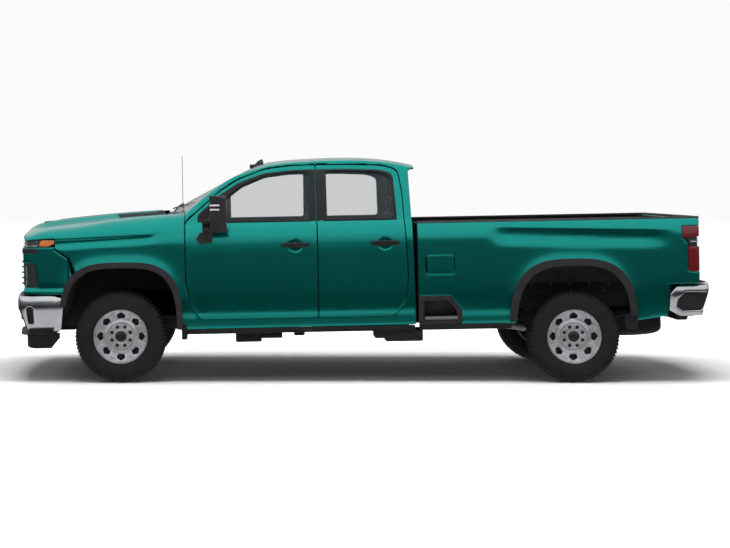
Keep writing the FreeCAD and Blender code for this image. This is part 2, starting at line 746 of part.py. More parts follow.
def cowl_panel():
    """Black panel under the wipers, from the hood back to the firewall."""
    panel = plan_prism(
        lambda y: HOOD_REAR_X + HOOD_REAR_SWEEP * (y / HOOD_HALF_WIDTH) ** 2 + PANEL_GAP,
        lambda y: CAB_FRONT_X + FLOOR_SKIN, COWL_HALF_WIDTH,
        FIREWALL_TOP_Z + TOUCH_GAP, COWL_TOP_Z)
    for y in both_signs(HOOD_HINGE_Y):
        panel = panel.cut(box(
            200.0, COWL_NOTCH_REAR_X, y - COWL_NOTCH_HALF, y + COWL_NOTCH_HALF, 1400.0, 1600.0))
    return panel


# Front end

HOOD_LINE = [
    (-960.0, 1300.0), (-935.0, 1325.0), (-875.0, 1420.0), (-780.0, 1452.0),
    (-641.0, 1478.0), (-164.0, 1521.0), (288.0, 1544.0), (460.0, 1548.0)]
BULGE_HALF_WIDTH = 430.0
BULGE_SHOULDER = 46.0
BULGE_HEIGHT = 34.0
SCOOP_FRONT_X = -790.0
SCOOP_REAR_X = -632.0
SCOOP_HALF_WIDTH = 250.0
SCOOP_DEPTH = 12.0
HOOD_FRONT_GAP = 6.0
HOOD_HINGE_X = 452.0
HOOD_HINGE_Y = 700.0
HOOD_HINGE_Z = 1452.0
NOSE_PANEL_SKIN = 34.0
GRILLE_HALF_WIDTH = 600.0
GRILLE_TOP_Z = 1300.0
GRILLE_BOTTOM_Z = 812.0
GRILLE_DEPTH = 60.0
GRILLE_INSET = 8.0
GRILLE_BAR_COUNT = 6
GRILLE_BAR_HEIGHT = 26.0
GRILLE_MAIN_BAR_LOW_Z = 1183.0
GRILLE_MAIN_BAR_HIGH_Z = 1235.0
NOSE_SIDE_X = -602.0
NOSE_BOTTOM_Z = 812.0
LAMP_INNER_Y = 620.0
LAMP_DEPTH = 65.0
LOWER_LAMP_LOW_Z = 874.0
LOWER_LAMP_HIGH_Z = 1100.0
LOWER_LAMP_INNER_Y = 700.0
LOWER_LAMP_REAR_X = -738.0
BUMPER_FRONT_X = -1020.0
BUMPER_SWEEP = 72.0
BUMPER_HALF_WIDTH = 990.0
BUMPER_TOP_Z = 806.0
BUMPER_BOTTOM_Z = 430.0
BUMPER_REAR_X = -508.0
BUMPER_WALL = 22.0
BUMPER_SHELF_REAR_X = -885.0
BUMPER_CORNER_RADIUS = 190.0
VALANCE_BOTTOM_Z = 318.0
FENDER_TAB_HEIGHTS = (640.0, 1120.0)
CORE_REAR_X = -800.0
CORE_HALF_WIDTH = 720.0


def hood_z(x, y):
    edge_z = curve_through(HOOD_EDGE_LINE, x)
    centre_z = curve_through(HOOD_LINE, x)
    rise = max(centre_z - edge_z, 0.0)
    bulge = min(BULGE_HEIGHT, rise) * smooth((x - NOSE_X) / 260.0)
    crown = (rise - bulge) * (1.0 - min(abs(y) / HOOD_HALF_WIDTH, 1.1) ** 2.2)
    shoulder = smooth((BULGE_HALF_WIDTH + BULGE_SHOULDER / 2 - abs(y)) / BULGE_SHOULDER)
    return edge_z + crown + bulge * shoulder


def hood_volume(inset=0.0, depth=HOOD_SKIN):
    face = field_face(
        lambda x, y: Vector(x, y, hood_z(x, y) - inset),
        steps(NOSE_X - 25.0, 460.0, 22), steps(-820.0, 820.0, 40))
    return face.extrude(Vector(0, 0, -depth))


def nose_volume(inset=0.0, depth=NOSE_PANEL_SKIN, half_width=1040.0):
    face = field_face(
        lambda y, z: Vector(nose_x(y) + inset, y, z),
        steps(-half_width, half_width, 16), [700.0, 900.0, 1100.0, 1400.0, 1500.0])
    return face.extrude(Vector(depth, 0, 0))


def hood_outline(grow=0.0):
    """Prism over the hood's outline seen from above."""
    return plan_prism(
        lambda y: nose_x(y) + HOOD_FRONT_GAP - grow,
        lambda y: HOOD_REAR_X + HOOD_REAR_SWEEP * (y / HOOD_HALF_WIDTH) ** 2 + grow,
        HOOD_HALF_WIDTH + grow, 1200.0, 1700.0)


def hood():
    """Hood skin with its bulge, scoop recess, side vents and hinge arms."""
    skin = hood_volume().common(hood_outline())
    scoop = hood_volume(inset=-60.0, depth=60.0 + SCOOP_DEPTH)
    scoop = scoop.common(box(
        SCOOP_FRONT_X, SCOOP_REAR_X, -SCOOP_HALF_WIDTH, SCOOP_HALF_WIDTH, 1300.0, 1700.0))
    skin = skin.cut(scoop)
    arms = []
    for y in both_signs(HOOD_HINGE_Y):
        arm = side_prism(plain([
            (HOOD_HINGE_X - 16.0, HOOD_HINGE_Z - 14.0),
            (HOOD_HINGE_X + 16.0, HOOD_HINGE_Z - 14.0),
            (HOOD_HINGE_X + 16.0, HOOD_HINGE_Z + 16.0),
            (300.0, hood_z(300.0, y) - HOOD_SKIN / 2),
            (140.0, hood_z(140.0, y) - HOOD_SKIN / 2),
            (150.0, hood_z(150.0, y) - HOOD_SKIN - 16.0)]), y - 8.0, y + 8.0)
        eye = cylinder(
            Vector(HOOD_HINGE_X, y - 8.0, HOOD_HINGE_Z),
            Vector(HOOD_HINGE_X, y + 8.0, HOOD_HINGE_Z), 15.0)
        arm = arm.fuse(eye)
        arms.append(arm.cut(cylinder(
            Vector(HOOD_HINGE_X, y - 9.0, HOOD_HINGE_Z),
            Vector(HOOD_HINGE_X, y + 9.0, HOOD_HINGE_Z),
            HINGE_PIN_RADIUS + RUNNING_CLEARANCE)))
    return fuse([skin] + arms)


def hood_brackets():
    """Body halves of the hood hinges, standing off the firewall."""
    brackets = []
    for y in both_signs(HOOD_HINGE_Y):
        out = math.copysign(1.0, y)
        near = y - out * 10.0
        far = y - out * 24.0
        ear = box(
            HOOD_HINGE_X - 14.0, CAB_FRONT_X, min(near, far), max(near, far),
            HOOD_HINGE_Z - 14.0, HOOD_HINGE_Z + 14.0)
        pin = cylinder(
            Vector(HOOD_HINGE_X, far, HOOD_HINGE_Z),
            Vector(HOOD_HINGE_X, y + out * 9.0, HOOD_HINGE_Z), HINGE_PIN_RADIUS)
        brackets.append(ear.fuse(pin))
    return brackets


def fender():
    """Front fender skin, rolled over to the hood, with its wheel arch."""
    skin = fender_face().extrude(Vector(0, -FENDER_SKIN, -FENDER_SKIN))
    outline = side_prism(FENDER_OUTLINE, 600.0, 1300.0)
    skin = skin.common(outline)
    skin = skin.cut(FRONT_ARCH.cutter(0.0, 600.0, 1300.0))
    skin = skin.cut(hood_outline(grow=PANEL_GAP))
    skin = skin.cut(box(200.0, 700.0, 600.0, HOOD_HALF_WIDTH + PANEL_GAP, 1300.0, 1700.0))
    tabs = []
    for z in FENDER_TAB_HEIGHTS:
        reach = side_width(540.0, z) - FENDER_SKIN / 2
        tabs.append(box(530.0, 572.0, HINGE_PILLAR_Y, reach, z, z + 30.0))
    return fuse([skin] + tabs)


def nose_side_outline():
    """(x, z) outline of the painted corner ahead of the front wheel."""
    return [
        (-1100.0, HEADLAMP_BOTTOM_Z - TOUCH_GAP, 0.0),
        (HEADLAMP_REAR_X, HEADLAMP_BOTTOM_Z - TOUCH_GAP, 0.0),
        (NOSE_SIDE_X, HEADLAMP_BOTTOM_Z - 20.0, 14.0), (-465.0, 1130.0, 10.0),
        (-420.0, 900.0, 0.0), (-420.0, NOSE_BOTTOM_Z, 0.0), (-1100.0, NOSE_BOTTOM_Z, 0.0)]


def front_corner():
    """Painted corner panel: a front leg beside the grille and a side leg."""
    outline = side_prism(nose_side_outline(), 300.0, 1300.0)
    side_leg = side_volume(-935.0, -380.0, 700.0, 1300.0, depth=NOSE_PANEL_SKIN)
    front_leg = nose_volume().common(box(
        -1200.0, -600.0, GRILLE_HALF_WIDTH + 4.0, 1300.0, 600.0, 1600.0))
    front_leg = front_leg.common(side_volume(-960.0, -380.0, 700.0, 1300.0, depth=500.0))
    limit = nose_volume(depth=900.0)
    corner = side_leg.common(limit).fuse(front_leg).common(outline)
    corner = corner.cut(lower_lamp_room(TOUCH_GAP))
    corner = corner.cut(FRONT_ARCH.cutter(0.0, 300.0, 1300.0))
    tab = nose_volume(
        inset=NOSE_PANEL_SKIN - 2.0, depth=GRILLE_DEPTH + GRILLE_INSET + 2.0 - NOSE_PANEL_SKIN)
    corner = corner.fuse(tab.common(box(-1000.0, -700.0, 630.0, 690.0, 1130.0, 1180.0)))
    return corner.removeSplitter()


def core_support():
    """Upright frame behind the grille, with the radiator in its opening."""
    half = CORE_HALF_WIDTH
    low = RAIL_TOP_Z + FRONT_RAIL_LIFT + TOUCH_GAP
    plate = box(-900.0, CORE_REAR_X, -half, half, low, 1290.0)
    front_room = 80.0 + GRILLE_INSET + GRILLE_DEPTH + TOUCH_GAP
    plate = plate.cut(nose_volume(inset=-80.0, depth=front_room, half_width=900.0))
    hollow = front_prism([
        (-half + 90.0, low + 40.0, 40.0), (half - 90.0, low + 40.0, 40.0),
        (half - 90.0, 1220.0, 40.0), (90.0 - half, 1220.0, 40.0)], -1000.0, -700.0)
    radiator = box(-838.0, -806.0, 80.0 - half, half - 80.0, low + 20.0, 1230.0)
    return fuse([plate.cut(hollow), radiator])


def lower_lamp_room(grow=0.0):
    return box(
        -1100.0, LOWER_LAMP_REAR_X + grow, LOWER_LAMP_INNER_Y - grow, 1300.0,
        LOWER_LAMP_LOW_Z - grow, LOWER_LAMP_HIGH_Z + grow)


def lamp_solid(room, depth):
    """Part of the corner's outer layer that a lamp fills."""
    low = room.BoundBox.ZMin - 20.0
    high = room.BoundBox.ZMax + 20.0
    limit = nose_volume(inset=3.0, depth=900.0)
    side_leg = side_volume(-935.0, -500.0, low, high, inset=3.0, depth=depth)
    side_leg = side_leg.common(room).common(limit)
    front_leg = nose_volume(inset=3.0, depth=depth).common(room)
    front_leg = front_leg.common(
        side_volume(-935.0, -500.0, low, high, inset=3.0 + depth / 2, depth=520.0))
    return side_leg.fuse(front_leg).removeSplitter()


def headlamps():
    upper = box(
        -1100.0, HEADLAMP_REAR_X, LAMP_INNER_Y, 1300.0, HEADLAMP_BOTTOM_Z,
        HEADLAMP_TOP_Z)
    lamps = []
    hood_room = hood_volume(inset=-60.0, depth=60.0 + HOOD_SKIN + 5.0)
    hood_room = hood_room.common(hood_outline(grow=4.0))
    for room, depth in ((upper, LAMP_DEPTH), (lower_lamp_room(), NOSE_PANEL_SKIN)):
        lamps.extend(both_sides(lamp_solid(room, depth).cut(hood_room)))
    return Part.makeCompound(lamps)


def grille():
    """Surround, bars and uprights between the lamps."""
    limit = nose_volume(inset=GRILLE_INSET, depth=GRILLE_DEPTH)
    plate = box(
        -1100.0, -600.0, -GRILLE_HALF_WIDTH, GRILLE_HALF_WIDTH, GRILLE_BOTTOM_Z,
        GRILLE_TOP_Z)
    hollow = front_prism([
        (-GRILLE_HALF_WIDTH + 34.0, GRILLE_BOTTOM_Z + 34.0, 40.0),
        (GRILLE_HALF_WIDTH - 34.0, GRILLE_BOTTOM_Z + 34.0, 40.0),
        (GRILLE_HALF_WIDTH - 34.0, GRILLE_TOP_Z - 34.0, 40.0),
        (-GRILLE_HALF_WIDTH + 34.0, GRILLE_TOP_Z - 34.0, 40.0)], -1200.0, -600.0)
    pieces = [limit.common(plate.cut(hollow))]
    main_bar = nose_volume(inset=-8.0, depth=GRILLE_DEPTH)
    pieces.append(main_bar.common(box(
        -1100.0, -600.0, -GRILLE_HALF_WIDTH, GRILLE_HALF_WIDTH,
        GRILLE_MAIN_BAR_LOW_Z - 20.0, GRILLE_MAIN_BAR_HIGH_Z + 6.0)))
    low = GRILLE_BOTTOM_Z + 34.0
    high = GRILLE_MAIN_BAR_LOW_Z - 20.0
    bar_limit = nose_volume(inset=20.0, depth=24.0)
    pitch = (high - low) / GRILLE_BAR_COUNT
    for index in range(1, GRILLE_BAR_COUNT):
        z = low + pitch * index
        pieces.append(bar_limit.common(box(
            -1100.0, -600.0, -GRILLE_HALF_WIDTH + 20.0, GRILLE_HALF_WIDTH - 20.0,
            z - GRILLE_BAR_HEIGHT / 2, z + GRILLE_BAR_HEIGHT / 2)))
    back = nose_volume(inset=GRILLE_DEPTH - 4.0, depth=10.0)
    pieces.append(back.common(box(
        -1100.0, -600.0, -GRILLE_HALF_WIDTH + 10.0, GRILLE_HALF_WIDTH - 10.0,
        GRILLE_BOTTOM_Z + 10.0, GRILLE_TOP_Z - 10.0)))
    for y in (-200.0, 200.0):
        pieces.append(nose_volume(inset=30.0, depth=34.0).common(box(
            -1100.0, -600.0, y - 12.0, y + 12.0, low - 10.0, high + 10.0)))
    return fuse(pieces)


def bumper_plan(inset, z0, z1):
    """Prism over the front bumper's swept plan, moved in by inset."""
    half = BUMPER_HALF_WIDTH - inset
    corner_x = BUMPER_FRONT_X + BUMPER_SWEEP + inset
    points = [
        (BUMPER_REAR_X, -half, 0.0), (corner_x + 40.0, -half + 6.0, BUMPER_CORNER_RADIUS),
        (corner_x, -half + 150.0, 120.0), (BUMPER_FRONT_X + inset, -300.0, 600.0),
        (BUMPER_FRONT_X + inset, 300.0, 600.0), (corner_x, half - 150.0, 120.0),
        (corner_x + 40.0, half - 6.0, BUMPER_CORNER_RADIUS), (BUMPER_REAR_X, half, 0.0)]
    return top_prism(points, z0, z1)


def bumper_side_cut():
    """Tapered tail of the bumper: everything that the side view keeps."""
    return side_prism([
        (-1100.0, BUMPER_BOTTOM_Z + 60.0, 0.0), (-960.0, BUMPER_BOTTOM_Z, 40.0),
        (-640.0, BUMPER_BOTTOM_Z, 30.0), (-545.0, BUMPER_BOTTOM_Z + 40.0, 60.0),
        (BUMPER_REAR_X, 720.0, 20.0), (BUMPER_REAR_X, BUMPER_TOP_Z - 30.0, 20.0),
        (-600.0, BUMPER_TOP_Z, 60.0), (-1100.0, BUMPER_TOP_Z, 0.0)], -1200.0, 1200.0)


BUMPER_INTAKE = [
    (-330.0, 520.0, 30.0), (330.0, 520.0, 30.0), (310.0, 650.0, 30.0),
    (-310.0, 650.0, 30.0)]
CORNER_SLOT_LOW_Z = 540.0
CORNER_SLOT_HIGH_Z = 705.0


def front_bumper():
    """Bright bumper bar that wraps round to the wheel arches."""
    outer = bumper_plan(0.0, BUMPER_BOTTOM_Z - 1.0, BUMPER_TOP_Z + 1.0)
    inner = bumper_plan(BUMPER_WALL, BUMPER_BOTTOM_Z - 2.0, BUMPER_TOP_Z + 2.0)
    bar = outer.cut(inner).common(bumper_side_cut())
    top = outer.common(box(
        -1100.0, BUMPER_SHELF_REAR_X, -1000.0, 1000.0, BUMPER_TOP_Z - 16.0, BUMPER_TOP_Z))
    bar = bar.fuse(top.common(bumper_side_cut()))
    bar = bar.cut(front_prism(BUMPER_INTAKE, -1100.0, -700.0))
    for sign in (1, -1):
        low = min(sign * 690.0, sign * 800.0)
        bar = bar.cut(box(
            -1100.0, -700.0, low, low + 110.0, CORNER_SLOT_LOW_Z, CORNER_SLOT_HIGH_Z))
        arm = box(
            -1000.0, RAIL_FRONT_X - TOUCH_GAP, min(sign * 356.0, sign * 432.0),
            max(sign * 356.0, sign * 432.0), 540.0, 640.0)
        arm = arm.common(bumper_plan(2.0, 500.0, 800.0))
        bar = bar.fuse(arm)
    return bar.removeSplitter()


def front_valance():
    """Black air dam under the bumper, with inserts behind its openings."""
    outer = bumper_plan(70.0, VALANCE_BOTTOM_Z, BUMPER_BOTTOM_Z + 30.0)
    inner = bumper_plan(92.0, VALANCE_BOTTOM_Z - 1.0, BUMPER_BOTTOM_Z + 31.0)
    dam = outer.cut(inner)
    dam = dam.common(side_prism(plain([
        (-1000.0, BUMPER_BOTTOM_Z + 29.0), (-1000.0, VALANCE_BOTTOM_Z + 30.0),
        (-800.0, VALANCE_BOTTOM_Z), (-640.0, VALANCE_BOTTOM_Z),
        (-560.0, BUMPER_BOTTOM_Z - 20.0), (-560.0, BUMPER_BOTTOM_Z + 29.0)]),
        -1200.0, 1200.0))
    flange = bumper_plan(BUMPER_WALL + TOUCH_GAP, BUMPER_BOTTOM_Z + 18.0, BUMPER_BOTTOM_Z + 29.0)
    flange = flange.cut(bumper_plan(90.0, BUMPER_BOTTOM_Z, BUMPER_BOTTOM_Z + 40.0))
    flange = flange.common(box(-1100.0, -620.0, -1200.0, 1200.0, 300.0, 600.0))
    return fuse([dam, flange])


# Wheel arch trims and liners

FRONT_FLARE_FOOT_Z = 700.0
FLARE_GAP = 2.0
FRONT_FLARE_REAR_FOOT_Z = 480.0
REAR_FLARE_BAND = 62.0
REAR_FLARE_FOOT_Z = 486.0
REAR_FLARE_REAR_FOOT_Z = 520.0
LINER_SKIN = 7.0
LINER_INNER_Y = 470.0
LINER_OUTER_Y = 996.0
LINER_FOOT_Z = 640.0


def arch_flare(arch, band, foot_z, rear_foot_z):
    """Black trim band round a wheel opening."""
    x0 = arch.station - arch.half_length - band - 20.0
    x1 = arch.station + arch.half_length + band + 20.0
    top = arch.centre_z + arch.height + band + 20.0
    sheet = side_volume(
        x0, x1, 400.0, top, inset=-FLARE_STAND, depth=FLARE_STAND - FLARE_GAP, x_step=60.0)
    ring = sheet.common(arch.cutter(band, 600.0, 1300.0))
    ring = ring.cut(arch.cutter(-2.0, 600.0, 1300.0))
    ring = ring.cut(box(x0 - 5.0, arch.station, 600.0, 1300.0, 100.0, foot_z))
    return ring.cut(box(arch.station, x1 + 5.0, 600.0, 1300.0, 100.0, rear_foot_z))


def arch_liner():
    """Black splash liner over one front wheel."""
    outer = FRONT_ARCH.cutter(-TOUCH_GAP, LINER_INNER_Y, LINER_OUTER_Y)
    inner = FRONT_ARCH.cutter(-TOUCH_GAP - LINER_SKIN, LINER_INNER_Y - 1.0, LINER_OUTER_Y + 1.0)
    liner = outer.cut(inner)
    return liner.common(box(-900.0, 900.0, 300.0, 1200.0, LINER_FOOT_Z, 1200.0))


# Load bed and rear end

BED_FLOOR_SKIN = 26.0
BED_WALL = 24.0
BED_SILL_STATIONS = (3060.0, 3440.0, 4790.0, 5120.0)
WHEELHOUSE_RADIUS = 470.0
WHEELHOUSE_SKIN = 16.0
WHEELHOUSE_TOP_Z = 1075.0
TAILGATE_FRONT_X = 5212.0
TAILGATE_REAR_X = 5278.0
TAILGATE_HALF_WIDTH = 792.0
TAILGATE_BOTTOM_Z = 846.0
TAILGATE_HINGE_X = 5246.0
TAILGATE_HINGE_Z = 872.0
TAILGATE_GAP = 7.0
TAILGATE_PIN_RADIUS = 11.0
PILLAR_FRONT_X = TAILGATE_FRONT_X - 40.0
PILLAR_ROOM = BED_INNER_Y + 1.0 - TAILGATE_HALF_WIDTH - TAILGATE_GAP
RAIL_CAP_HEIGHT = 16.0
RAIL_CAP_INNER_Y = 896.0
TAIL_LAMP_FRONT_X = 5122.0
TAIL_LAMP_INNER_Y = 806.0
TAIL_LAMP_SKIN = 26.0
UPPER_LAMP_Z = (1217.0, 1331.0)
LOWER_LAMP_Z = (911.0, 1140.0)
BED_SIDE_BOTTOM_Z = 470.0
BED_SIDE_LOW_SKIN = 30.0
STEP_FRONT_X = 2716.0
STEP_REAR_X = 3108.0
STEP_LOW_Z = 476.0
STEP_HIGH_Z = 736.0
FUEL_DOOR_X = (2795.0, 3043.0)
FUEL_DOOR_Z = (937.0, 1109.0)
FUEL_DOOR_SKIN = 8.0
FUEL_POCKET_DEPTH = 74.0
FUEL_HINGE_INSET_X = 10.0
FUEL_HINGE_INSET_Y = 8.0
REAR_BUMPER_TOP_Z = 790.0
REAR_BUMPER_BOTTOM_Z = 500.0
REAR_BUMPER_REAR_X = 5495.0
REAR_BUMPER_END_X = 5372.0
REAR_BUMPER_FRONT_X = 5000.0
REAR_BUMPER_HALF_WIDTH = 985.0
REAR_BUMPER_WALL = 22.0


def rear_corner_volume():
    """Rounds the bed's rear corners in plan."""
    return top_prism([
        (2600.0, 0.0, 0.0), (BED_REAR_X, 0.0, 0.0), (BED_REAR_X, 955.0, 50.0),
        (BED_REAR_X - 60.0, 1100.0, 0.0), (2600.0, 1100.0, 0.0)], 300.0, 1600.0)


def bed_side():
    """Double-walled side of the bed, from the cab to the tail lamps."""
    outline = side_prism([
        (BED_FRONT_X, BED_SIDE_BOTTOM_Z, 20.0), (BED_FRONT_X, BED_RAIL_Z, 8.0),
        (BED_REAR_X, BED_RAIL_Z, 8.0), (BED_REAR_X, REAR_BUMPER_TOP_Z + 14.0, 10.0),
        (REAR_BUMPER_FRONT_X, REAR_BUMPER_TOP_Z + 14.0, 20.0),
        (REAR_BUMPER_FRONT_X - 14.0, 512.0, 20.0), (4700.0, 476.0, 0.0),
        (4700.0, BED_SIDE_BOTTOM_Z, 0.0)], 600.0, 1200.0)
    whole = side_volume(
        BED_FRONT_X - 12.0, BED_REAR_X + 12.0, 440.0, 1410.0, depth=300.0)
    whole = whole.common(outline).common(rear_corner_volume())
    upper = whole.common(box(2600.0, 5400.0, BED_INNER_Y, 1200.0, BED_FLOOR_Z - 26.0, 1500.0))
    lower = side_volume(
        BED_FRONT_X - 12.0, BED_REAR_X + 12.0, 440.0, 1410.0, depth=BED_SIDE_LOW_SKIN)
    lower = lower.common(outline)
    lower = lower.common(box(2600.0, 5400.0, 600.0, 1200.0, 300.0, BED_FLOOR_Z - 26.0))
    pillar = box(
        PILLAR_FRONT_X, BED_REAR_X, TAILGATE_HALF_WIDTH + TAILGATE_GAP,
        BED_INNER_Y + 2.0, BED_FLOOR_Z - BED_FLOOR_SKIN, BED_RAIL_Z)
    side = fuse([upper, lower, pillar.common(rear_corner_volume())])
    side = side.cut(REAR_ARCH.cutter(0.0, 600.0, 1200.0))
    side = side.cut(box(
        STEP_FRONT_X - 40.0, STEP_REAR_X, 700.0, 1200.0, 300.0, STEP_HIGH_Z))
    side = side.cut(lamp_room(UPPER_LAMP_Z, TOUCH_GAP)).cut(lamp_room(LOWER_LAMP_Z, TOUCH_GAP))
    return side.fuse(tailgate_pin()).removeSplitter()


def left_bed_side():
    """Left side of the bed, with the fuel filler's pocket and hinge pin."""
    side = mirrored(bed_side())
    x0, x1 = FUEL_DOOR_X
    z0, z1 = FUEL_DOOR_Z
    outline = [(x0, z0, 24.0), (x1, z0, 24.0), (x1, z1, 24.0), (x0, z1, 24.0)]
    pocket = side_prism(
        outline, -1200.0, -BODY_HALF_WIDTH + FUEL_POCKET_DEPTH, grow=PANEL_GAP)
    side = side.cut(pocket)
    hinge_x, hinge_y = fuel_hinge()
    pin = cylinder(
        Vector(hinge_x, hinge_y, z0 - 16.0), Vector(hinge_x, hinge_y, z1 + 16.0), 3.0)
    neck_x = (x0 + x1) / 2 + 20.0
    neck_z = (z0 + z1) / 2
    floor_y = -BODY_HALF_WIDTH + FUEL_POCKET_DEPTH
    cap = cylinder(
        Vector(neck_x, floor_y + 2.0, neck_z), Vector(neck_x, floor_y - 40.0, neck_z), 38.0)
    return fuse([side, pin, cap])


def fuel_hinge():
    x0 = FUEL_DOOR_X[0]
    z_middle = sum(FUEL_DOOR_Z) / 2
    return x0 + FUEL_HINGE_INSET_X, -side_width(x0, z_middle) + FUEL_HINGE_INSET_Y


def fuel_door():
    """Filler flap, with two curled knuckles round its hinge pin."""
    x0, x1 = FUEL_DOOR_X
    z0, z1 = FUEL_DOOR_Z
    outline = [(x0, z0, 24.0), (x1, z0, 24.0), (x1, z1, 24.0), (x0, z1, 24.0)]
    skin = side_volume(
        x0 - 40.0, x1 + 40.0, z0 - 40.0, z1 + 40.0, depth=FUEL_DOOR_SKIN, x_step=60.0)
    skin = mirrored(skin.common(side_prism(outline, 600.0, 1200.0)))
    hinge_x, hinge_y = fuel_hinge()
    skin_y = -side_width(x0, (z0 + z1) / 2) + FUEL_DOOR_SKIN - 3.0
    pieces = [skin]
    for z in (z0 + 34.0, z1 - 34.0):
        knuckle = cylinder(
            Vector(hinge_x, hinge_y, z - 10.0), Vector(hinge_x, hinge_y, z + 10.0), 6.5)
        web = box(hinge_x - 3.0, hinge_x + 6.5, skin_y, hinge_y, z - 10.0, z + 10.0)
        pieces.append(knuckle.fuse(web))
    whole = fuse(pieces)
    return whole.cut(cylinder(
        Vector(hinge_x, hinge_y, z0 - 1.0), Vector(hinge_x, hinge_y, z1 + 1.0),
        3.0 + RUNNING_CLEARANCE))


def rail_cap():
    """Black cap along the top of one bed side."""
    sheet = side_volume(
        BED_FRONT_X - 10.0, BED_REAR_X + 10.0, BED_RAIL_Z - 40.0,
        BED_RAIL_Z + RAIL_CAP_HEIGHT + 10.0, inset=-2.0, depth=200.0)
    cap = sheet.common(box(
        BED_FRONT_X, BED_REAR_X - 2.0, RAIL_CAP_INNER_Y, 1100.0, BED_RAIL_Z,
        BED_RAIL_Z + RAIL_CAP_HEIGHT))
    return cap.common(rear_corner_volume())


def lamp_room(heights, grow=0.0):
    low, high = heights
    return box(
        TAIL_LAMP_FRONT_X - grow, BED_REAR_X + 20.0, TAIL_LAMP_INNER_Y + 14.0 - grow, 1200.0,
        low - grow, high + grow).cut(box(
            TAIL_LAMP_FRONT_X - 10.0, BED_REAR_X - TAIL_LAMP_SKIN - grow,
            600.0, 1000.0 - TAIL_LAMP_SKIN - grow - 8.0, low - 5.0, high + 5.0))


def tail_lamps():
    """Two lamps a side, wrapped round the bed's rear corners."""
    lamps = []
    for low, high in (UPPER_LAMP_Z, LOWER_LAMP_Z):
        limit = side_volume(
            TAIL_LAMP_FRONT_X - 20.0, BED_REAR_X + 12.0, low - 20.0, high + 20.0,
            inset=1.0, depth=300.0)
        lens = limit.common(lamp_room((low, high))).common(rear_corner_volume())
        lamps.extend(both_sides(lens))
    return Part.makeCompound(lamps)


def load_bed():
    """Bed floor with its ribs, front wall and wheel housings."""
    front = BED_FRONT_X
    rear = TAILGATE_FRONT_X - 12.0
    inner = BED_INNER_Y - TOUCH_GAP
    floor = box(front, rear, -inner, inner, BED_FLOOR_Z - BED_FLOOR_SKIN, BED_FLOOR_Z)
    wall = box(front, front + BED_WALL, -inner, inner, BED_FLOOR_Z - 2.0, BED_RAIL_Z)
    pieces = [floor, wall]
    housings = []
    for side in (1, -1):
        low = min(side * WHEELHOUSE_INNER_Y, side * inner)
        high = max(side * WHEELHOUSE_INNER_Y, side * inner)
        x = REAR_ARCH.station
        half = WHEELHOUSE_RADIUS + 60.0
        outline = [
            (x - half, BED_FLOOR_Z - 20.0, 0.0), (x - half + 40.0, WHEELHOUSE_TOP_Z, 130.0),
            (x + half - 40.0, WHEELHOUSE_TOP_Z, 130.0), (x + half, BED_FLOOR_Z - 20.0, 0.0)]
        outer = side_prism(outline, low, high)
        cut_low = low + (WHEELHOUSE_SKIN if side > 0 else -5.0)
        cut_high = high + (5.0 if side > 0 else -WHEELHOUSE_SKIN)
        hollow = side_prism(outline, cut_low, cut_high, grow=-WHEELHOUSE_SKIN)
        drop = box(
            x - half + 24.0, x + half - 24.0, cut_low, cut_high, BED_FLOOR_Z - 60.0,
            BED_FLOOR_Z + 30.0)
        pieces.append(outer)
        housings.append(hollow.fuse(drop))
    for x in BED_SILL_STATIONS:
        pieces.append(box(
            x - 32.0, x + 32.0, -760.0, 760.0, RAIL_TOP_Z + RAIL_RISE,
            BED_FLOOR_Z - BED_FLOOR_SKIN + 2.0))
    bed = fuse(pieces)
    for hollow in housings:
        bed = bed.cut(hollow)
    for low_y in (-inner - 1.0, TAILGATE_HALF_WIDTH + TAILGATE_GAP - TOUCH_GAP):
        bed = bed.cut(box(
            PILLAR_FRONT_X - TOUCH_GAP, rear + 1.0, low_y, low_y + PILLAR_ROOM,
            BED_FLOOR_Z - 2.0 * BED_FLOOR_SKIN, BED_FLOOR_Z + 5.0))
    return bed


def tailgate():
    """Tailgate with rounded edges and hinge pins at its lower corners."""
    half = TAILGATE_HALF_WIDTH
    panel = side_prism([
        (TAILGATE_FRONT_X, TAILGATE_BOTTOM_Z + 12.0, 26.0),
        (TAILGATE_REAR_X, TAILGATE_BOTTOM_Z, 26.0),
        (TAILGATE_REAR_X, BED_RAIL_Z + 6.0, 14.0),
        (TAILGATE_REAR_X + 12.0, BED_RAIL_Z + 10.0, 4.0),
        (TAILGATE_FRONT_X + 10.0, BED_RAIL_Z + 14.0, 10.0),
        (TAILGATE_FRONT_X, BED_RAIL_Z - 6.0, 12.0)], -half, half)
    recess = box(
        TAILGATE_REAR_X - 10.0, TAILGATE_REAR_X + 5.0, -120.0, 120.0, 1222.0, 1290.0)
    panel = panel.cut(recess)
    for side in (1, -1):
        inner = side * (half - 30.0)
        panel = panel.cut(cylinder(
            Vector(TAILGATE_HINGE_X, inner, TAILGATE_HINGE_Z),
            Vector(TAILGATE_HINGE_X, side * (half + 5.0), TAILGATE_HINGE_Z),
            TAILGATE_PIN_RADIUS + RUNNING_CLEARANCE))
    return panel


def tailgate_pin():
    """Trunnion on the bed pillar that carries the tailgate."""
    inner = TAILGATE_HALF_WIDTH - 28.0
    return cylinder(
        Vector(TAILGATE_HINGE_X, inner, TAILGATE_HINGE_Z),
        Vector(TAILGATE_HINGE_X, TAILGATE_HALF_WIDTH + TAILGATE_GAP + 1.0, TAILGATE_HINGE_Z),
        TAILGATE_PIN_RADIUS)


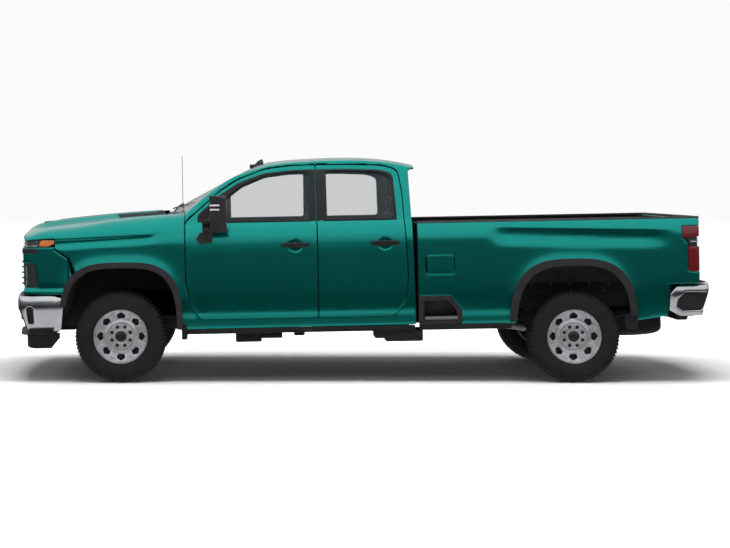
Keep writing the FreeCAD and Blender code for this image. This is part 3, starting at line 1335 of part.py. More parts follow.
def bed_step():
    """Black step pocket low on the bed side, ahead of the rear wheel."""
    x0 = STEP_FRONT_X
    x1 = STEP_REAR_X - TOUCH_GAP
    sheet = side_volume(
        x0 - 10.0, x1 + 10.0, STEP_LOW_Z - 16.0, STEP_HIGH_Z + 10.0, inset=2.0,
        depth=180.0, x_step=60.0)
    block = sheet.common(side_prism([
        (x0, STEP_LOW_Z, 20.0), (x1, STEP_LOW_Z, 20.0), (x1, STEP_HIGH_Z - TOUCH_GAP, 6.0),
        (x0, STEP_HIGH_Z - TOUCH_GAP, 6.0)], 700.0, 1200.0))
    toe_room = side_prism([
        (x0 + 46.0, STEP_LOW_Z + 62.0, 24.0), (x1 - 46.0, STEP_LOW_Z + 62.0, 24.0),
        (x1 - 46.0, STEP_HIGH_Z - 46.0, 24.0), (x0 + 46.0, STEP_HIGH_Z - 46.0, 24.0)],
        860.0, 1200.0)
    return block.cut(toe_room)


def rear_bumper_plan(inset, z0, z1):
    half = REAR_BUMPER_HALF_WIDTH - inset
    end = REAR_BUMPER_END_X - inset
    back = REAR_BUMPER_REAR_X - inset
    return top_prism([
        (REAR_BUMPER_FRONT_X, -half, 0.0), (REAR_BUMPER_FRONT_X, half, 0.0),
        (end - 40.0, half, 60.0), (end, half - 60.0, 60.0), (end + 10.0, 640.0, 60.0),
        (back, 520.0, 60.0), (back, -520.0, 60.0), (end + 10.0, -640.0, 60.0),
        (end, -half + 60.0, 60.0), (end - 40.0, -half, 60.0)], z0, z1)


def rear_bumper():
    """Bright step bumper with corner steps and a recess for a plate."""
    outer = rear_bumper_plan(0.0, REAR_BUMPER_BOTTOM_Z, REAR_BUMPER_TOP_Z)
    inner = rear_bumper_plan(
        REAR_BUMPER_WALL, REAR_BUMPER_BOTTOM_Z - 2.0, REAR_BUMPER_TOP_Z - REAR_BUMPER_WALL)
    bar = outer.cut(inner)
    front_cut = box(
        REAR_BUMPER_FRONT_X - 5.0, BED_REAR_X + 6.0, -REAR_BUMPER_HALF_WIDTH + 40.0,
        REAR_BUMPER_HALF_WIDTH - 40.0, 400.0, 900.0)
    bar = bar.cut(front_cut)
    slope = side_prism(plain([
        (REAR_BUMPER_FRONT_X - 10.0, 400.0), (REAR_BUMPER_FRONT_X - 10.0, 560.0),
        (5120.0, REAR_BUMPER_BOTTOM_Z), (5400.0, REAR_BUMPER_BOTTOM_Z - 2.0),
        (5400.0, 400.0)]), -1200.0, 1200.0)
    bar = bar.cut(slope)
    bar = bar.cut(box(5340.0, 5600.0, -190.0, 190.0, 556.0, 700.0))
    for side in (1, -1):
        low = min(side * 690.0, side * 900.0)
        bar = bar.cut(box(5300.0, 5420.0, low, low + 210.0, 590.0, 690.0))
        arm = box(
            RAIL_REAR_X + TOUCH_GAP, REAR_BUMPER_REAR_X - 12.0, min(side * 356.0, side * 432.0),
            max(side * 356.0, side * 432.0), 620.0, 720.0)
        bar = bar.fuse(arm)
    return bar.removeSplitter()


# Frame

RAIL_RISE_START_X = 2724.0
RAIL_RISE_END_X = 3020.0
FRONT_RAIL_DROP_X = -330.0
FRONT_RAIL_LIFT = 44.0


def rail_top_z(x):
    """Top of the frame rails at a station."""
    if x < FRONT_RAIL_DROP_X:
        return RAIL_TOP_Z + FRONT_RAIL_LIFT
    part = (x - RAIL_RISE_START_X) / (RAIL_RISE_END_X - RAIL_RISE_START_X)
    return RAIL_TOP_Z + RAIL_RISE * min(max(part, 0.0), 1.0)


def frame_rail():
    """One channel-deep side rail, stepped up under the bed."""
    stations = (
        RAIL_FRONT_X, FRONT_RAIL_DROP_X - 1.0, FRONT_RAIL_DROP_X + 110.0,
        RAIL_RISE_START_X, RAIL_RISE_END_X, RAIL_REAR_X)
    top = [(x, rail_top_z(x), 90.0) for x in stations]
    bottom = [(x, z - RAIL_HEIGHT, 90.0) for x, z, _ in reversed(top)]
    rail = side_prism(top + bottom, RAIL_OUTER_Y - RAIL_WIDTH, RAIL_OUTER_Y)
    top = [(x, z - 12.0, 90.0) for x, z, _ in top]
    bottom = [(x, z + 12.0, 90.0) for x, z, _ in bottom]
    top[0] = (RAIL_FRONT_X - 5.0, top[0][1], 0.0)
    bottom[-1] = (RAIL_FRONT_X - 5.0, bottom[-1][1], 0.0)
    top[-1] = (RAIL_REAR_X + 5.0, top[-1][1], 0.0)
    bottom[0] = (RAIL_REAR_X + 5.0, bottom[0][1], 0.0)
    channel = side_prism(
        top + bottom, RAIL_OUTER_Y - RAIL_WIDTH - 5.0, RAIL_OUTER_Y - 12.0)
    return rail.cut(channel)


FLAT_CROSS_STATIONS = (1180.0, 1960.0, 2620.0)
TUBE_CROSS_STATIONS = (-700.0, 3560.0, 4740.0, 5270.0)
CROSS_RADIUS = 42.0
CROSS_TOP_Z = 466.0
CRADLE_HALF_LENGTH = 80.0
CRADLE_HALF_WIDTH = 440.0
CRADLE_BOTTOM_Z = 272.0
HITCH_TUBE_HALF = 38.1
HITCH_BORE_HALF = 31.75
HITCH_Z = 458.0
HITCH_MOUTH_X = 5476.0
HITCH_PIN_X = 5420.0
HITCH_PIN_RADIUS = 8.1


def ladder_frame():
    """Both rails with the members between them and the cradle at the front."""
    inner = RAIL_OUTER_Y - 6.0
    low = RAIL_TOP_Z - RAIL_HEIGHT
    members = []
    for x in FLAT_CROSS_STATIONS:
        members.append(box(x - 45.0, x + 45.0, -inner, inner, low + 2.0, CROSS_TOP_Z))
    for x in TUBE_CROSS_STATIONS:
        z = rail_top_z(x) - RAIL_HEIGHT / 2
        members.append(cylinder(Vector(x, -inner, z), Vector(x, inner, z), CROSS_RADIUS))
    cradle = box(
        -CRADLE_HALF_LENGTH, CRADLE_HALF_LENGTH, -CRADLE_HALF_WIDTH, CRADLE_HALF_WIDTH,
        CRADLE_BOTTOM_Z, low + 4.0)
    hollow = box(
        -CRADLE_HALF_LENGTH - 1.0, CRADLE_HALF_LENGTH + 1.0, -CRADLE_HALF_WIDTH + 90.0,
        CRADLE_HALF_WIDTH - 90.0, CRADLE_BOTTOM_Z + 60.0, low + 5.0)
    members.append(cradle.cut(hollow))
    return fuse(both_sides(frame_rail()) + members)


def hitch_receiver():
    """Square receiver tube on its cross tube and side plates."""
    tube = box(
        5200.0, HITCH_MOUTH_X, -HITCH_TUBE_HALF, HITCH_TUBE_HALF,
        HITCH_Z - HITCH_TUBE_HALF, HITCH_Z + HITCH_TUBE_HALF)
    cross = box(5210.0, 5290.0, -RAIL_OUTER_Y - 12.0, RAIL_OUTER_Y + 12.0, 424.0, 492.0)
    pieces = [tube, cross]
    for y in both_signs(RAIL_OUTER_Y + 6.2):
        plate = side_prism([
            (5190.0, 424.0, 20.0), (5310.0, 424.0, 20.0), (5310.0, 700.0, 20.0),
            (5210.0, 700.0, 20.0)], y - 5.8, y + 5.8)
        pieces.append(plate)
    receiver = fuse(pieces)
    bore = box(
        5196.0, HITCH_MOUTH_X + 5.0, -HITCH_BORE_HALF, HITCH_BORE_HALF,
        HITCH_Z - HITCH_BORE_HALF, HITCH_Z + HITCH_BORE_HALF)
    pin = cylinder(
        Vector(HITCH_PIN_X, -60.0, HITCH_Z), Vector(HITCH_PIN_X, 60.0, HITCH_Z),
        HITCH_PIN_RADIUS)
    return receiver.cut(bore).cut(pin)


# Driveline, exhaust and tank, which hang under the truck

def powertrain():
    """Engine as a plain block, gearbox and transfer box behind it."""
    engine = box(-480.0, 300.0, -250.0, 250.0, 660.0, 1240.0)
    sump = box(-300.0, 250.0, -170.0, 170.0, 450.0, 662.0)
    bell = top_prism(plain([
        (296.0, -170.0), (580.0, -126.0), (580.0, 126.0), (296.0, 170.0)]), 470.0, 770.0)
    gearbox = box(570.0, 1120.0, -125.0, 125.0, 470.0, 750.0)
    transfer = box(1118.0, 1290.0, -140.0, 200.0, CROSS_TOP_Z + 4.0, 600.0)
    feet = []
    for y0, y1 in ((250.0, RAIL_OUTER_Y - RAIL_WIDTH - TOUCH_GAP),
                   (TOUCH_GAP + RAIL_WIDTH - RAIL_OUTER_Y, -250.0)):
        feet.append(box(-70.0, 50.0, y0, y1, 668.0, 720.0))
    for y0, y1 in ((240.0, 420.0), (-420.0, -240.0)):
        feet.append(box(-70.0, 50.0, y0, y1, RAIL_TOP_Z + TOUCH_GAP, 680.0))
    return fuse([engine, sump, bell, gearbox, transfer] + feet)


def drive_shafts():
    """Propeller shaft in two lengths, with its middle bearing."""
    middle = Vector(2560.0, 0, 530.0)
    pinion = Vector(REAR_AXLE - 301.5, 0, 352.6)
    front = cylinder(Vector(1291.0, 0, 545.0), middle, 44.0)
    rear = cylinder(middle, pinion, 44.0)
    joints = [Part.makeSphere(60.0, middle), Part.makeSphere(50.0, pinion)]
    bearing = box(2590.0, 2650.0, -50.0, 50.0, CROSS_TOP_Z + TOUCH_GAP, 500.0)
    return fuse([front, rear, bearing] + joints)


EXHAUST_INNER_Y = 262.0
EXHAUST_OUTER_Y = 634.0
EXHAUST_RADIUS = 36.0


def exhaust():
    """Down pipe, silencer and tail pipe on the right side."""
    inner = EXHAUST_INNER_Y
    outer = EXHAUST_OUTER_Y
    line = pipe([
        Vector(180.0, 212.0, 660.0 - TOUCH_GAP), Vector(180.0, 212.0, 530.0),
        Vector(900.0, inner, 522.0), Vector(2900.0, inner, 505.0),
        Vector(3330.0, outer, 490.0), Vector(3800.0, outer, 520.0),
        Vector(4450.0, outer, 520.0), Vector(4760.0, 660.0, 470.0),
        Vector(4990.0, 800.0, 440.0)], EXHAUST_RADIUS, 80.0)
    can = cylinder(Vector(2030.0, inner, 512.4), Vector(2550.0, inner, 508.0), 78.0)
    web_y = RAIL_OUTER_Y - 12.0 - TOUCH_GAP
    front_hanger = box(2290.0, 2310.0, inner + 70.0, web_y, 495.0, 525.0)
    rear_hanger = box(
        4290.0, 4310.0, RAIL_OUTER_Y + TOUCH_GAP, outer + 14.0, 575.0, 600.0)
    drop = box(4290.0, 4310.0, outer - 14.0, outer + 14.0, 530.0, 600.0)
    return fuse([line, can, front_hanger, rear_hanger, drop])


def fuel_tank():
    """Tank outside the left rail, under the cab floor."""
    top = FLOOR_TOP_Z - FLOOR_SKIN - TOUCH_GAP
    block = top_prism([
        (1750.0, -770.0, 40.0), (2650.0, -770.0, 40.0),
        (2650.0, -RAIL_OUTER_Y - TOUCH_GAP, 20.0), (1750.0, -RAIL_OUTER_Y - TOUCH_GAP, 20.0)],
        430.0, top)
    return block


SPARE_X = 4740.0
SPARE_Z = 415.0


def spare_wheel():
    """Spare tyre, slung under the bed on its winch."""
    tyre = tyre_solid(plain_tread=True)
    barrel = revolved([(-96.0, 230.0), (96.0, 230.0), (96.0, 242.0), (-96.0, 242.0)])
    disc = Part.makeCylinder(234.0, 16.0, Vector(0, 40.0, 0), Vector(0, 1, 0))
    spare = fuse([tyre, barrel, disc])
    spare.rotate(Vector(0, 0, 0), Vector(1, 0, 0), 90.0)
    spare.translate(Vector(SPARE_X, 0, SPARE_Z))
    winch_top = rail_top_z(SPARE_X) - RAIL_HEIGHT / 2 - CROSS_RADIUS - TOUCH_GAP
    rod = cylinder(Vector(SPARE_X, 0, SPARE_Z + 20.0), Vector(SPARE_X, 0, winch_top), 26.0)
    return fuse([spare, rod])


LEAF_Y = 497.0
LEAF_HALF_WIDTH = 37.0
LEAF_SEAT_Z = 386.6
LEAF_STACK = 52.0


def leaf_spring():
    """Leaf stack with its front hanger and rear shackle."""
    y0 = LEAF_Y - LEAF_HALF_WIDTH
    y1 = LEAF_Y + LEAF_HALF_WIDTH
    low = LEAF_SEAT_Z + 12.0
    pieces = []
    lengths = ((-708.0, 752.0), (-520.0, 560.0), (-380.0, 400.0), (-240.0, 250.0))
    for index, (front, rear) in enumerate(lengths):
        z = low + LEAF_STACK - 14.0 * index
        rise_front = 88.0 * (front / 708.0) ** 2
        rise_rear = 96.0 * (rear / 752.0) ** 2
        ends = [
            Vector(REAR_AXLE + front, y0, z + rise_front), Vector(REAR_AXLE, y0, z),
            Vector(REAR_AXLE + rear, y0, z + rise_rear)]
        upper = Part.Arc(ends[0], ends[1], ends[2]).toShape()
        down = Vector(0, 0, -14.0)
        lower = Part.Arc(ends[2] + down, ends[1] + down, ends[0] + down).toShape()
        wire = Part.Wire([
            upper, Part.LineSegment(ends[2], ends[2] + down).toShape(), lower,
            Part.LineSegment(ends[0] + down, ends[0]).toShape()])
        pieces.append(Part.Face(wire).extrude(Vector(0, y1 - y0, 0)))
    pieces.append(box(
        REAR_AXLE - 60.0, REAR_AXLE + 60.0, y0, y1, LEAF_SEAT_Z, low + 12.0))
    inner = RAIL_OUTER_Y + TOUCH_GAP
    pieces.append(box(
        REAR_AXLE - 730.0, REAR_AXLE - 670.0, inner, y1 + 6.0, low + 110.0, 690.0))
    pieces.append(box(
        REAR_AXLE + 728.0, REAR_AXLE + 776.0, inner, y1 + 6.0, low + 116.0, 690.0))
    return fuse(pieces)


# Wheels, axles and steering.  These sit level, whatever the body's rake.

BEAD_Y = 98.6
BEAD_RADIUS = 240.4
RIM_OUTER_FACE_Y = 64.0
WINDOW_INNER_RADIUS = 142.0
WINDOW_OUTER_RADIUS = 196.0
LUG_CIRCLE_RADIUS = 90.0
LUG_POCKET_RADIUS = 17.0
LUG_RADIUS = 11.0
SPINDLE_END_Y = 46.0
DISC_RADIUS = 176.0
KINGPIN_Y = 800.0
KINGPIN_RADIUS = 12.0
ARM_LENGTH = 120.0
LINK_Z = 330.0
LINK_RADIUS = 13.0
LINK_PIN_RADIUS = 8.0
UPRIGHT_LOW_Z = 302.0
UPRIGHT_HIGH_Z = 571.0
LOWER_EYE_Z = (262.0, 298.0)
UPPER_EYE_Z = (575.0, 601.0)
EYE_RADIUS = 26.0


def revolved(points):
    """Ring about the Y axis from (y, radius) points."""
    vectors = [Vector(0, y, r) for y, r in points]
    face = Part.Face(Part.makePolygon(vectors + [vectors[0]]))
    return face.revolve(Vector(0, 0, 0), Vector(0, 1, 0), 360.0)


def tyre_solid(plain_tread=False):
    """Tyre with round shoulders and side walls, open inside."""
    half = TYRE_WIDTH / 2
    outer = [
        Vector(0, -BEAD_Y, 249.0), Vector(0, -118.0, 268.0), Vector(0, -half, 322.0),
        Vector(0, -half + 5.0, 372.0), Vector(0, -half + 24.0, TYRE_RADIUS - 11.0),
        Vector(0, -66.0, TYRE_RADIUS - 3.0), Vector(0, 0, TYRE_RADIUS),
        Vector(0, 66.0, TYRE_RADIUS - 3.0), Vector(0, half - 24.0, TYRE_RADIUS - 11.0),
        Vector(0, half - 5.0, 372.0), Vector(0, half, 322.0), Vector(0, 118.0, 268.0),
        Vector(0, BEAD_Y, 249.0)]
    if plain_tread:
        outer = outer[::2]
    inner_points = [
        (BEAD_Y, 249.0), (BEAD_Y, BEAD_RADIUS), (80.0, BEAD_RADIUS), (84.0, 262.0),
        (118.0, 326.0), (106.0, 384.0)]
    inner_points += [(-y, r) for y, r in reversed(inner_points)]
    corners = [Vector(0, y, r) for y, r in inner_points]
    edges = [spline_edge(outer)]
    for a, b in zip(corners, corners[1:]):
        edges.append(Part.LineSegment(a, b).toShape())
    face = Part.Face(Part.Wire(edges))
    return face.revolve(Vector(0, 0, 0), Vector(0, 1, 0), 360.0)


def rim():
    """Wheel with eight windows, lug pockets, centre cap and brake disc.

    It is drawn about the Y axis with its outer face towards +Y.
    """
    half = RIM_WIDTH / 2
    wall = RIM_WALL
    barrel = revolved([
        (-half, RIM_LIP_RADIUS), (-half + 9.0, RIM_LIP_RADIUS), (-half + 9.0, 240.0),
        (-half + 38.0, 240.0), (-half + 56.0, RIM_BARREL_RADIUS),
        (half - 56.0, RIM_BARREL_RADIUS), (half - 38.0, 240.0), (half - 9.0, 240.0),
        (half - 9.0, RIM_LIP_RADIUS), (half, RIM_LIP_RADIUS), (half, RIM_LIP_RADIUS - 8.0),
        (half - 14.0, 240.0 - wall), (half - 34.0, 240.0 - wall),
        (half - 52.0, RIM_BARREL_RADIUS - wall), (52.0 - half, RIM_BARREL_RADIUS - wall),
        (34.0 - half, 240.0 - wall), (14.0 - half, 240.0 - wall),
        (-half, RIM_LIP_RADIUS - 8.0)])
    face_y = RIM_OUTER_FACE_Y
    disc = revolved([
        (face_y + 2.0, 0.0), (face_y + 2.0, 52.0), (face_y - 4.0, 62.0),
        (face_y - 6.0, 108.0), (face_y - 16.0, 122.0), (face_y - 12.0, 140.0),
        (face_y + 6.0, 200.0), (face_y + 4.0, RIM_BARREL_RADIUS - wall + 1.0),
        (face_y - 16.0, RIM_BARREL_RADIUS - wall + 1.0), (face_y - 14.0, 196.0),
        (face_y - 34.0, 136.0), (face_y - 42.0, 60.0), (-6.0, 60.0), (-6.0, DISC_RADIUS),
        (-34.0, DISC_RADIUS), (-34.0, HUB_BORE_RADIUS), (SPINDLE_END_Y + 2.0, HUB_BORE_RADIUS),
        (SPINDLE_END_Y + 2.0, 0.0)])
    wheel = barrel.fuse(disc)
    cuts = []
    pitch = 360.0 / WINDOW_COUNT
    for index in range(WINDOW_COUNT):
        window = window_cutter()
        window.rotate(Vector(0, 0, 0), Vector(0, 1, 0), pitch * (index + 0.5))
        cuts.append(window)
        angle = math.radians(pitch * index)
        x = LUG_CIRCLE_RADIUS * math.sin(angle)
        z = LUG_CIRCLE_RADIUS * math.cos(angle)
        pocket = cylinder(
            Vector(x, face_y - 22.0, z), Vector(x, face_y + 10.0, z), LUG_POCKET_RADIUS)
        nut = cylinder(
            Vector(x, face_y - 23.0, z), Vector(x, face_y - 2.0, z), LUG_RADIUS)
        cuts.append(pocket.cut(nut))
    return wheel.cut(Part.makeCompound(cuts)).removeSplitter()


def window_cutter():
    """Five-sided window, wide side outwards."""
    inner = WINDOW_INNER_RADIUS
    outer = WINDOW_OUTER_RADIUS
    points = [
        (0.0, inner - 10.0, 8.0), (30.0, inner + 14.0, 8.0), (48.0, outer - 8.0, 10.0),
        (0.0, outer + 4.0, 60.0), (-48.0, outer - 8.0, 10.0), (-30.0, inner + 14.0, 8.0)]
    return side_prism(points, 0.0, 100.0)


def knuckle():
    """Right steering knuckle: upright, spindle, kingpins and steering arm."""
    x = 34.0
    upright = box(-x, x, KINGPIN_Y - 28.0, KINGPIN_Y + 18.0, UPRIGHT_LOW_Z, UPRIGHT_HIGH_Z)
    spindle = cylinder(
        Vector(0, KINGPIN_Y, TYRE_RADIUS), Vector(0, WHEEL_Y + SPINDLE_END_Y, TYRE_RADIUS),
        HUB_BORE_RADIUS - RUNNING_CLEARANCE)
    collar = cylinder(
        Vector(0, KINGPIN_Y, TYRE_RADIUS),
        Vector(0, WHEEL_Y - 34.0 - RUNNING_CLEARANCE, TYRE_RADIUS), 56.0)
    pins = [
        cylinder(Vector(0, KINGPIN_Y, LOWER_EYE_Z[0]),
                 Vector(0, KINGPIN_Y, UPRIGHT_LOW_Z + 5.0), KINGPIN_RADIUS),
        cylinder(Vector(0, KINGPIN_Y, UPRIGHT_HIGH_Z - 5.0),
                 Vector(0, KINGPIN_Y, UPPER_EYE_Z[1]), KINGPIN_RADIUS)]
    arm = box(-ARM_LENGTH, 0.0, KINGPIN_Y - 14.0, KINGPIN_Y + 14.0, 352.0, 372.0)
    boss = cylinder(
        Vector(-ARM_LENGTH, KINGPIN_Y, 348.0), Vector(-ARM_LENGTH, KINGPIN_Y, 376.0), 20.0)
    link_pin = cylinder(
        Vector(-ARM_LENGTH, KINGPIN_Y, LINK_Z - LINK_RADIUS),
        Vector(-ARM_LENGTH, KINGPIN_Y, 360.0), LINK_PIN_RADIUS)
    return fuse([upright, spindle, collar, arm, boss, link_pin] + pins)


def steering_link():
    """Straight link between the two steering arms."""
    bar = cylinder(
        Vector(-ARM_LENGTH, -KINGPIN_Y, LINK_Z), Vector(-ARM_LENGTH, KINGPIN_Y, LINK_Z),
        LINK_RADIUS - 2.0)
    pieces = [bar]
    holes = []
    for y in both_signs(KINGPIN_Y):
        pieces.append(cylinder(
            Vector(-ARM_LENGTH, y, LINK_Z - LINK_RADIUS),
            Vector(-ARM_LENGTH, y, LINK_Z + LINK_RADIUS), 20.0))
        holes.append(cylinder(
            Vector(-ARM_LENGTH, y, LINK_Z - 30.0), Vector(-ARM_LENGTH, y, LINK_Z + 30.0),
            LINK_PIN_RADIUS + RUNNING_CLEARANCE))
    return fuse(pieces).cut(Part.makeCompound(holes))


def suspension_arm(z0, z1, inner_x, inner_y):
    """Arm from the frame to a ring round the kingpin."""
    eye = cylinder(Vector(0, KINGPIN_Y, z0), Vector(0, KINGPIN_Y, z1), EYE_RADIUS)
    spread = top_prism(plain([
        (-inner_x, inner_y), (inner_x, inner_y), (20.0, KINGPIN_Y - 10.0),
        (-20.0, KINGPIN_Y - 10.0)]), z0 + 3.0, z1 - 3.0)
    hollow = top_prism(plain([
        (-inner_x + 34.0, inner_y + 26.0), (inner_x - 34.0, inner_y + 26.0),
        (6.0, KINGPIN_Y - 110.0), (-6.0, KINGPIN_Y - 110.0)]), z0 - 5.0, z1 + 5.0)
    hole = cylinder(
        Vector(0, KINGPIN_Y, z0 - 1.0), Vector(0, KINGPIN_Y, z1 + 1.0),
        KINGPIN_RADIUS + RUNNING_CLEARANCE)
    return fuse([eye, spread.cut(hollow)]).cut(hole)


def front_suspension():
    """Arms, dampers and half shafts of the independent front end."""
    lower = suspension_arm(
        LOWER_EYE_Z[0], LOWER_EYE_Z[1], CRADLE_HALF_LENGTH, CRADLE_HALF_WIDTH + TOUCH_GAP)
    upper = suspension_arm(
        UPPER_EYE_Z[0], UPPER_EYE_Z[1], 90.0, RAIL_OUTER_Y + TOUCH_GAP)
    damper = cylinder(Vector(44.0, 600.0, LOWER_EYE_Z[1] - 8.0), Vector(44.0, 458.0, 560.0), 22.0)
    lower = lower.fuse(damper).removeSplitter()
    shaft = cylinder(
        Vector(0, CRADLE_HALF_WIDTH + TOUCH_GAP, TYRE_RADIUS),
        Vector(0, 746.0, TYRE_RADIUS), 17.0)
    pieces = []
    for piece in (lower, upper, shaft):
        pieces.extend(both_sides(piece))
    return Part.makeCompound(pieces)


def rear_axle():
    """Rear axle housing with its spindles and differential."""
    hub = Vector(REAR_AXLE, 0, TYRE_RADIUS)
    tube = cylinder(
        hub + Vector(0, -WHEEL_Y + 60.0, 0), hub + Vector(0, WHEEL_Y - 60.0, 0), 48.0)
    spindle = cylinder(
        hub + Vector(0, -WHEEL_Y - SPINDLE_END_Y, 0), hub + Vector(0, WHEEL_Y + SPINDLE_END_Y, 0),
        HUB_BORE_RADIUS - RUNNING_CLEARANCE)
    pieces = [tube, spindle]
    for side in (1, -1):
        start = hub + Vector(0, side * (WHEEL_Y - 80.0), 0)
        end = hub + Vector(0, side * (WHEEL_Y - 34.0 - RUNNING_CLEARANCE), 0)
        pieces.append(cylinder(start, end, 58.0))
    case = Part.makeSphere(150.0, hub)
    case = case.common(box(
        REAR_AXLE - 160.0, REAR_AXLE + 150.0, -120.0, 120.0, 200.0, 600.0))
    nose = Part.makeCone(110.0, 55.0, 250.0, hub, Vector(-1, 0, 0.05))
    return fuse(pieces + [case, nose])


# Inside the cab

DASH_REAR_X = 960.0
SEAT_Y = 380.0
SEAT_HALF_WIDTH = 262.0
STEERING_WHEEL_CENTRE = Vector(1035.0, -SEAT_Y, 1300.0)
STEERING_WHEEL_RADIUS = 190.0
STEERING_TILT_DEGREES = 24.0
COLUMN_RADIUS = 24.0


def steering_axis():
    tilt = math.radians(STEERING_TILT_DEGREES)
    return Vector(math.cos(tilt), 0, math.sin(tilt))


def dashboard():
    """Dashboard across the cab, with the steering column."""
    half = RING_INNER_Y - 2.0
    front = CAB_FRONT_X + FLOOR_SKIN + TOUCH_GAP
    body = side_prism([
        (front, 1010.0, 10.0), (700.0, 930.0, 60.0), (880.0, 1040.0, 60.0),
        (DASH_REAR_X - 20.0, 1180.0, 40.0), (DASH_REAR_X, 1310.0, 40.0),
        (900.0, 1392.0, 60.0), (front, 1392.0, 10.0)], -half, half)
    top = side_prism([
        (front, 1390.0, 0.0), (890.0, 1390.0, 0.0), (800.0, 1452.0, 60.0),
        (front, 1462.0, 10.0)], -half + 8.0, half - 8.0)
    axis = steering_axis()
    start = STEERING_WHEEL_CENTRE - axis * 220.0
    end = STEERING_WHEEL_CENTRE - axis * 34.0
    column = cylinder(start, end, COLUMN_RADIUS + 14.0)
    shaft = cylinder(end - axis * 5.0, STEERING_WHEEL_CENTRE + axis * 4.0, 10.0)
    return fuse([body, top, column, shaft])


def steering_wheel():
    """Rim, three spokes and boss, with a bore for the column's shaft."""
    ring = Part.makeTorus(STEERING_WHEEL_RADIUS, 15.0)
    boss = Part.makeCylinder(52.0, 34.0, Vector(0, 0, -22.0))
    spokes = []
    for angle in (0.0, 180.0, 270.0):
        spoke = Part.makeBox(STEERING_WHEEL_RADIUS - 8.0, 34.0, 16.0, Vector(0, -17.0, -9.0))
        spoke.rotate(Vector(0, 0, 0), Vector(0, 0, 1), angle)
        spokes.append(spoke)
    wheel = fuse([ring, boss] + spokes)
    bore = Part.makeCylinder(10.0 + RUNNING_CLEARANCE, 27.0, Vector(0, 0, -23.0))
    wheel = wheel.cut(bore)
    wheel.rotate(Vector(0, 0, 0), Vector(0, 0, 1), 90.0)
    wheel.rotate(Vector(0, 0, 0), Vector(0, 1, 0), 90.0 - STEERING_TILT_DEGREES)
    wheel.translate(STEERING_WHEEL_CENTRE)
    return wheel


def bucket_seat(y):
    """One front seat: base, cushion, leaning back and head restraint."""
    y0 = y - SEAT_HALF_WIDTH
    y1 = y + SEAT_HALF_WIDTH
    base = box(1230.0, 1600.0, y - 190.0, y + 190.0, FLOOR_TOP_Z, 850.0)
    cushion = side_prism([
        (1160.0, 848.0, 20.0), (1660.0, 830.0, 20.0), (1690.0, 960.0, 50.0),
        (1180.0, 1000.0, 60.0)], y0, y1)
    back = side_prism([
        (1590.0, 880.0, 30.0), (1710.0, 870.0, 50.0), (1872.0, 1500.0, 60.0),
        (1765.0, 1530.0, 50.0)], y0 + 10.0, y1 - 10.0)
    head = side_prism([
        (1776.0, 1560.0, 30.0), (1868.0, 1545.0, 30.0), (1900.0, 1700.0, 40.0),
        (1812.0, 1712.0, 40.0)], y - 130.0, y + 130.0)
    posts = [
        cylinder(Vector(1815.0, y + side, 1500.0), Vector(1838.0, y + side, 1600.0), 7.0)
        for side in (-60.0, 60.0)]
    return fuse([base, cushion, back, head] + posts)


def console():
    return side_prism([
        (1080.0, FLOOR_TOP_Z + 160.0, 10.0), (1700.0, FLOOR_TOP_Z + 160.0, 10.0),
        (1690.0, 1060.0, 40.0), (1250.0, 1060.0, 60.0), (1085.0, 930.0, 50.0)],
        -110.0, 110.0).fuse(box(1500.0, 1690.0, -110.0, 110.0, FLOOR_TOP_Z, 860.0))


def rear_seat():
    """Full-width rear bench with three head restraints."""
    half = 760.0
    back_limit = cab_back_x(1500.0) - WALL_SKIN - 3.0
    base = box(2160.0, 2560.0, -half + 40.0, half - 40.0, FLOOR_TOP_Z, 860.0)
    cushion = side_prism([
        (2090.0, 858.0, 20.0), (2560.0, 850.0, 20.0), (2560.0, 970.0, 50.0),
        (2105.0, 1000.0, 60.0)], -half, half)
    back = side_prism([
        (2470.0, 900.0, 30.0), (back_limit - 10.0, 900.0, 10.0), (back_limit, 1500.0, 30.0),
        (2540.0, 1510.0, 50.0)], -half + 10.0, half - 10.0)
    pieces = [base, cushion, back]
    for y in (-480.0, 0.0, 480.0):
        pieces.append(side_prism([
            (2548.0, 1490.0, 20.0), (back_limit, 1480.0, 20.0),
            (back_limit - 4.0, 1650.0, 40.0), (2556.0, 1650.0, 40.0)], y - 120.0, y + 120.0))
    return fuse(pieces)


# Door mirrors, which swing with the front doors

MIRROR_FOOT = [
    (702.0, 1290.0, 20.0), (742.0, 1352.0, 20.0), (856.0, 1352.0, 16.0),
    (850.0, 1262.0, 20.0), (740.0, 1248.0, 20.0)]
MIRROR_HEAD_X = (828.0, 988.0)
MIRROR_HEAD_Y = (1066.0, 1256.0)
MIRROR_HEAD_Z = (1356.0, 1684.0)


def mirror():
    """Towing mirror: foot on the door skin, two arms and the tall head."""
    skin_room = side_volume(640.0, 900.0, 1200.0, 1420.0, inset=-TOUCH_GAP, x_step=60.0)
    foot = side_prism(MIRROR_FOOT, 900.0, 1046.0).cut(skin_room)
    x0, x1 = MIRROR_HEAD_X
    y0, y1 = MIRROR_HEAD_Y
    z0, z1 = MIRROR_HEAD_Z
    head = front_prism([
        (y0, z0, 40.0), (y1, z0, 50.0), (y1, z1, 50.0), (y0, z1, 40.0)], x0, x1)
    shape = top_prism([
        (x0, y0 + 30.0, 40.0), (x1, y0, 12.0), (x1, y1, 12.0), (x0 + 20.0, y1 - 40.0, 60.0)],
        z0, z1)
    head = head.common(shape)
    post = box(770.0, 842.0, 1018.0, 1042.0, 1330.0, 1468.0)
    arms = [
        box(780.0, 846.0, 1030.0, 1110.0, 1372.0, 1400.0),
        box(780.0, 846.0, 1030.0, 1110.0, 1436.0, 1464.0)]
    return fuse([foot, post, head] + arms)


# Writing the pieces

def level(shape):
    """Place a piece that sits level, with the origin under the truck."""
    moved = shape.copy()
    moved.translate(Vector(FRONT_AXLE_X, 0, 0))
    return moved


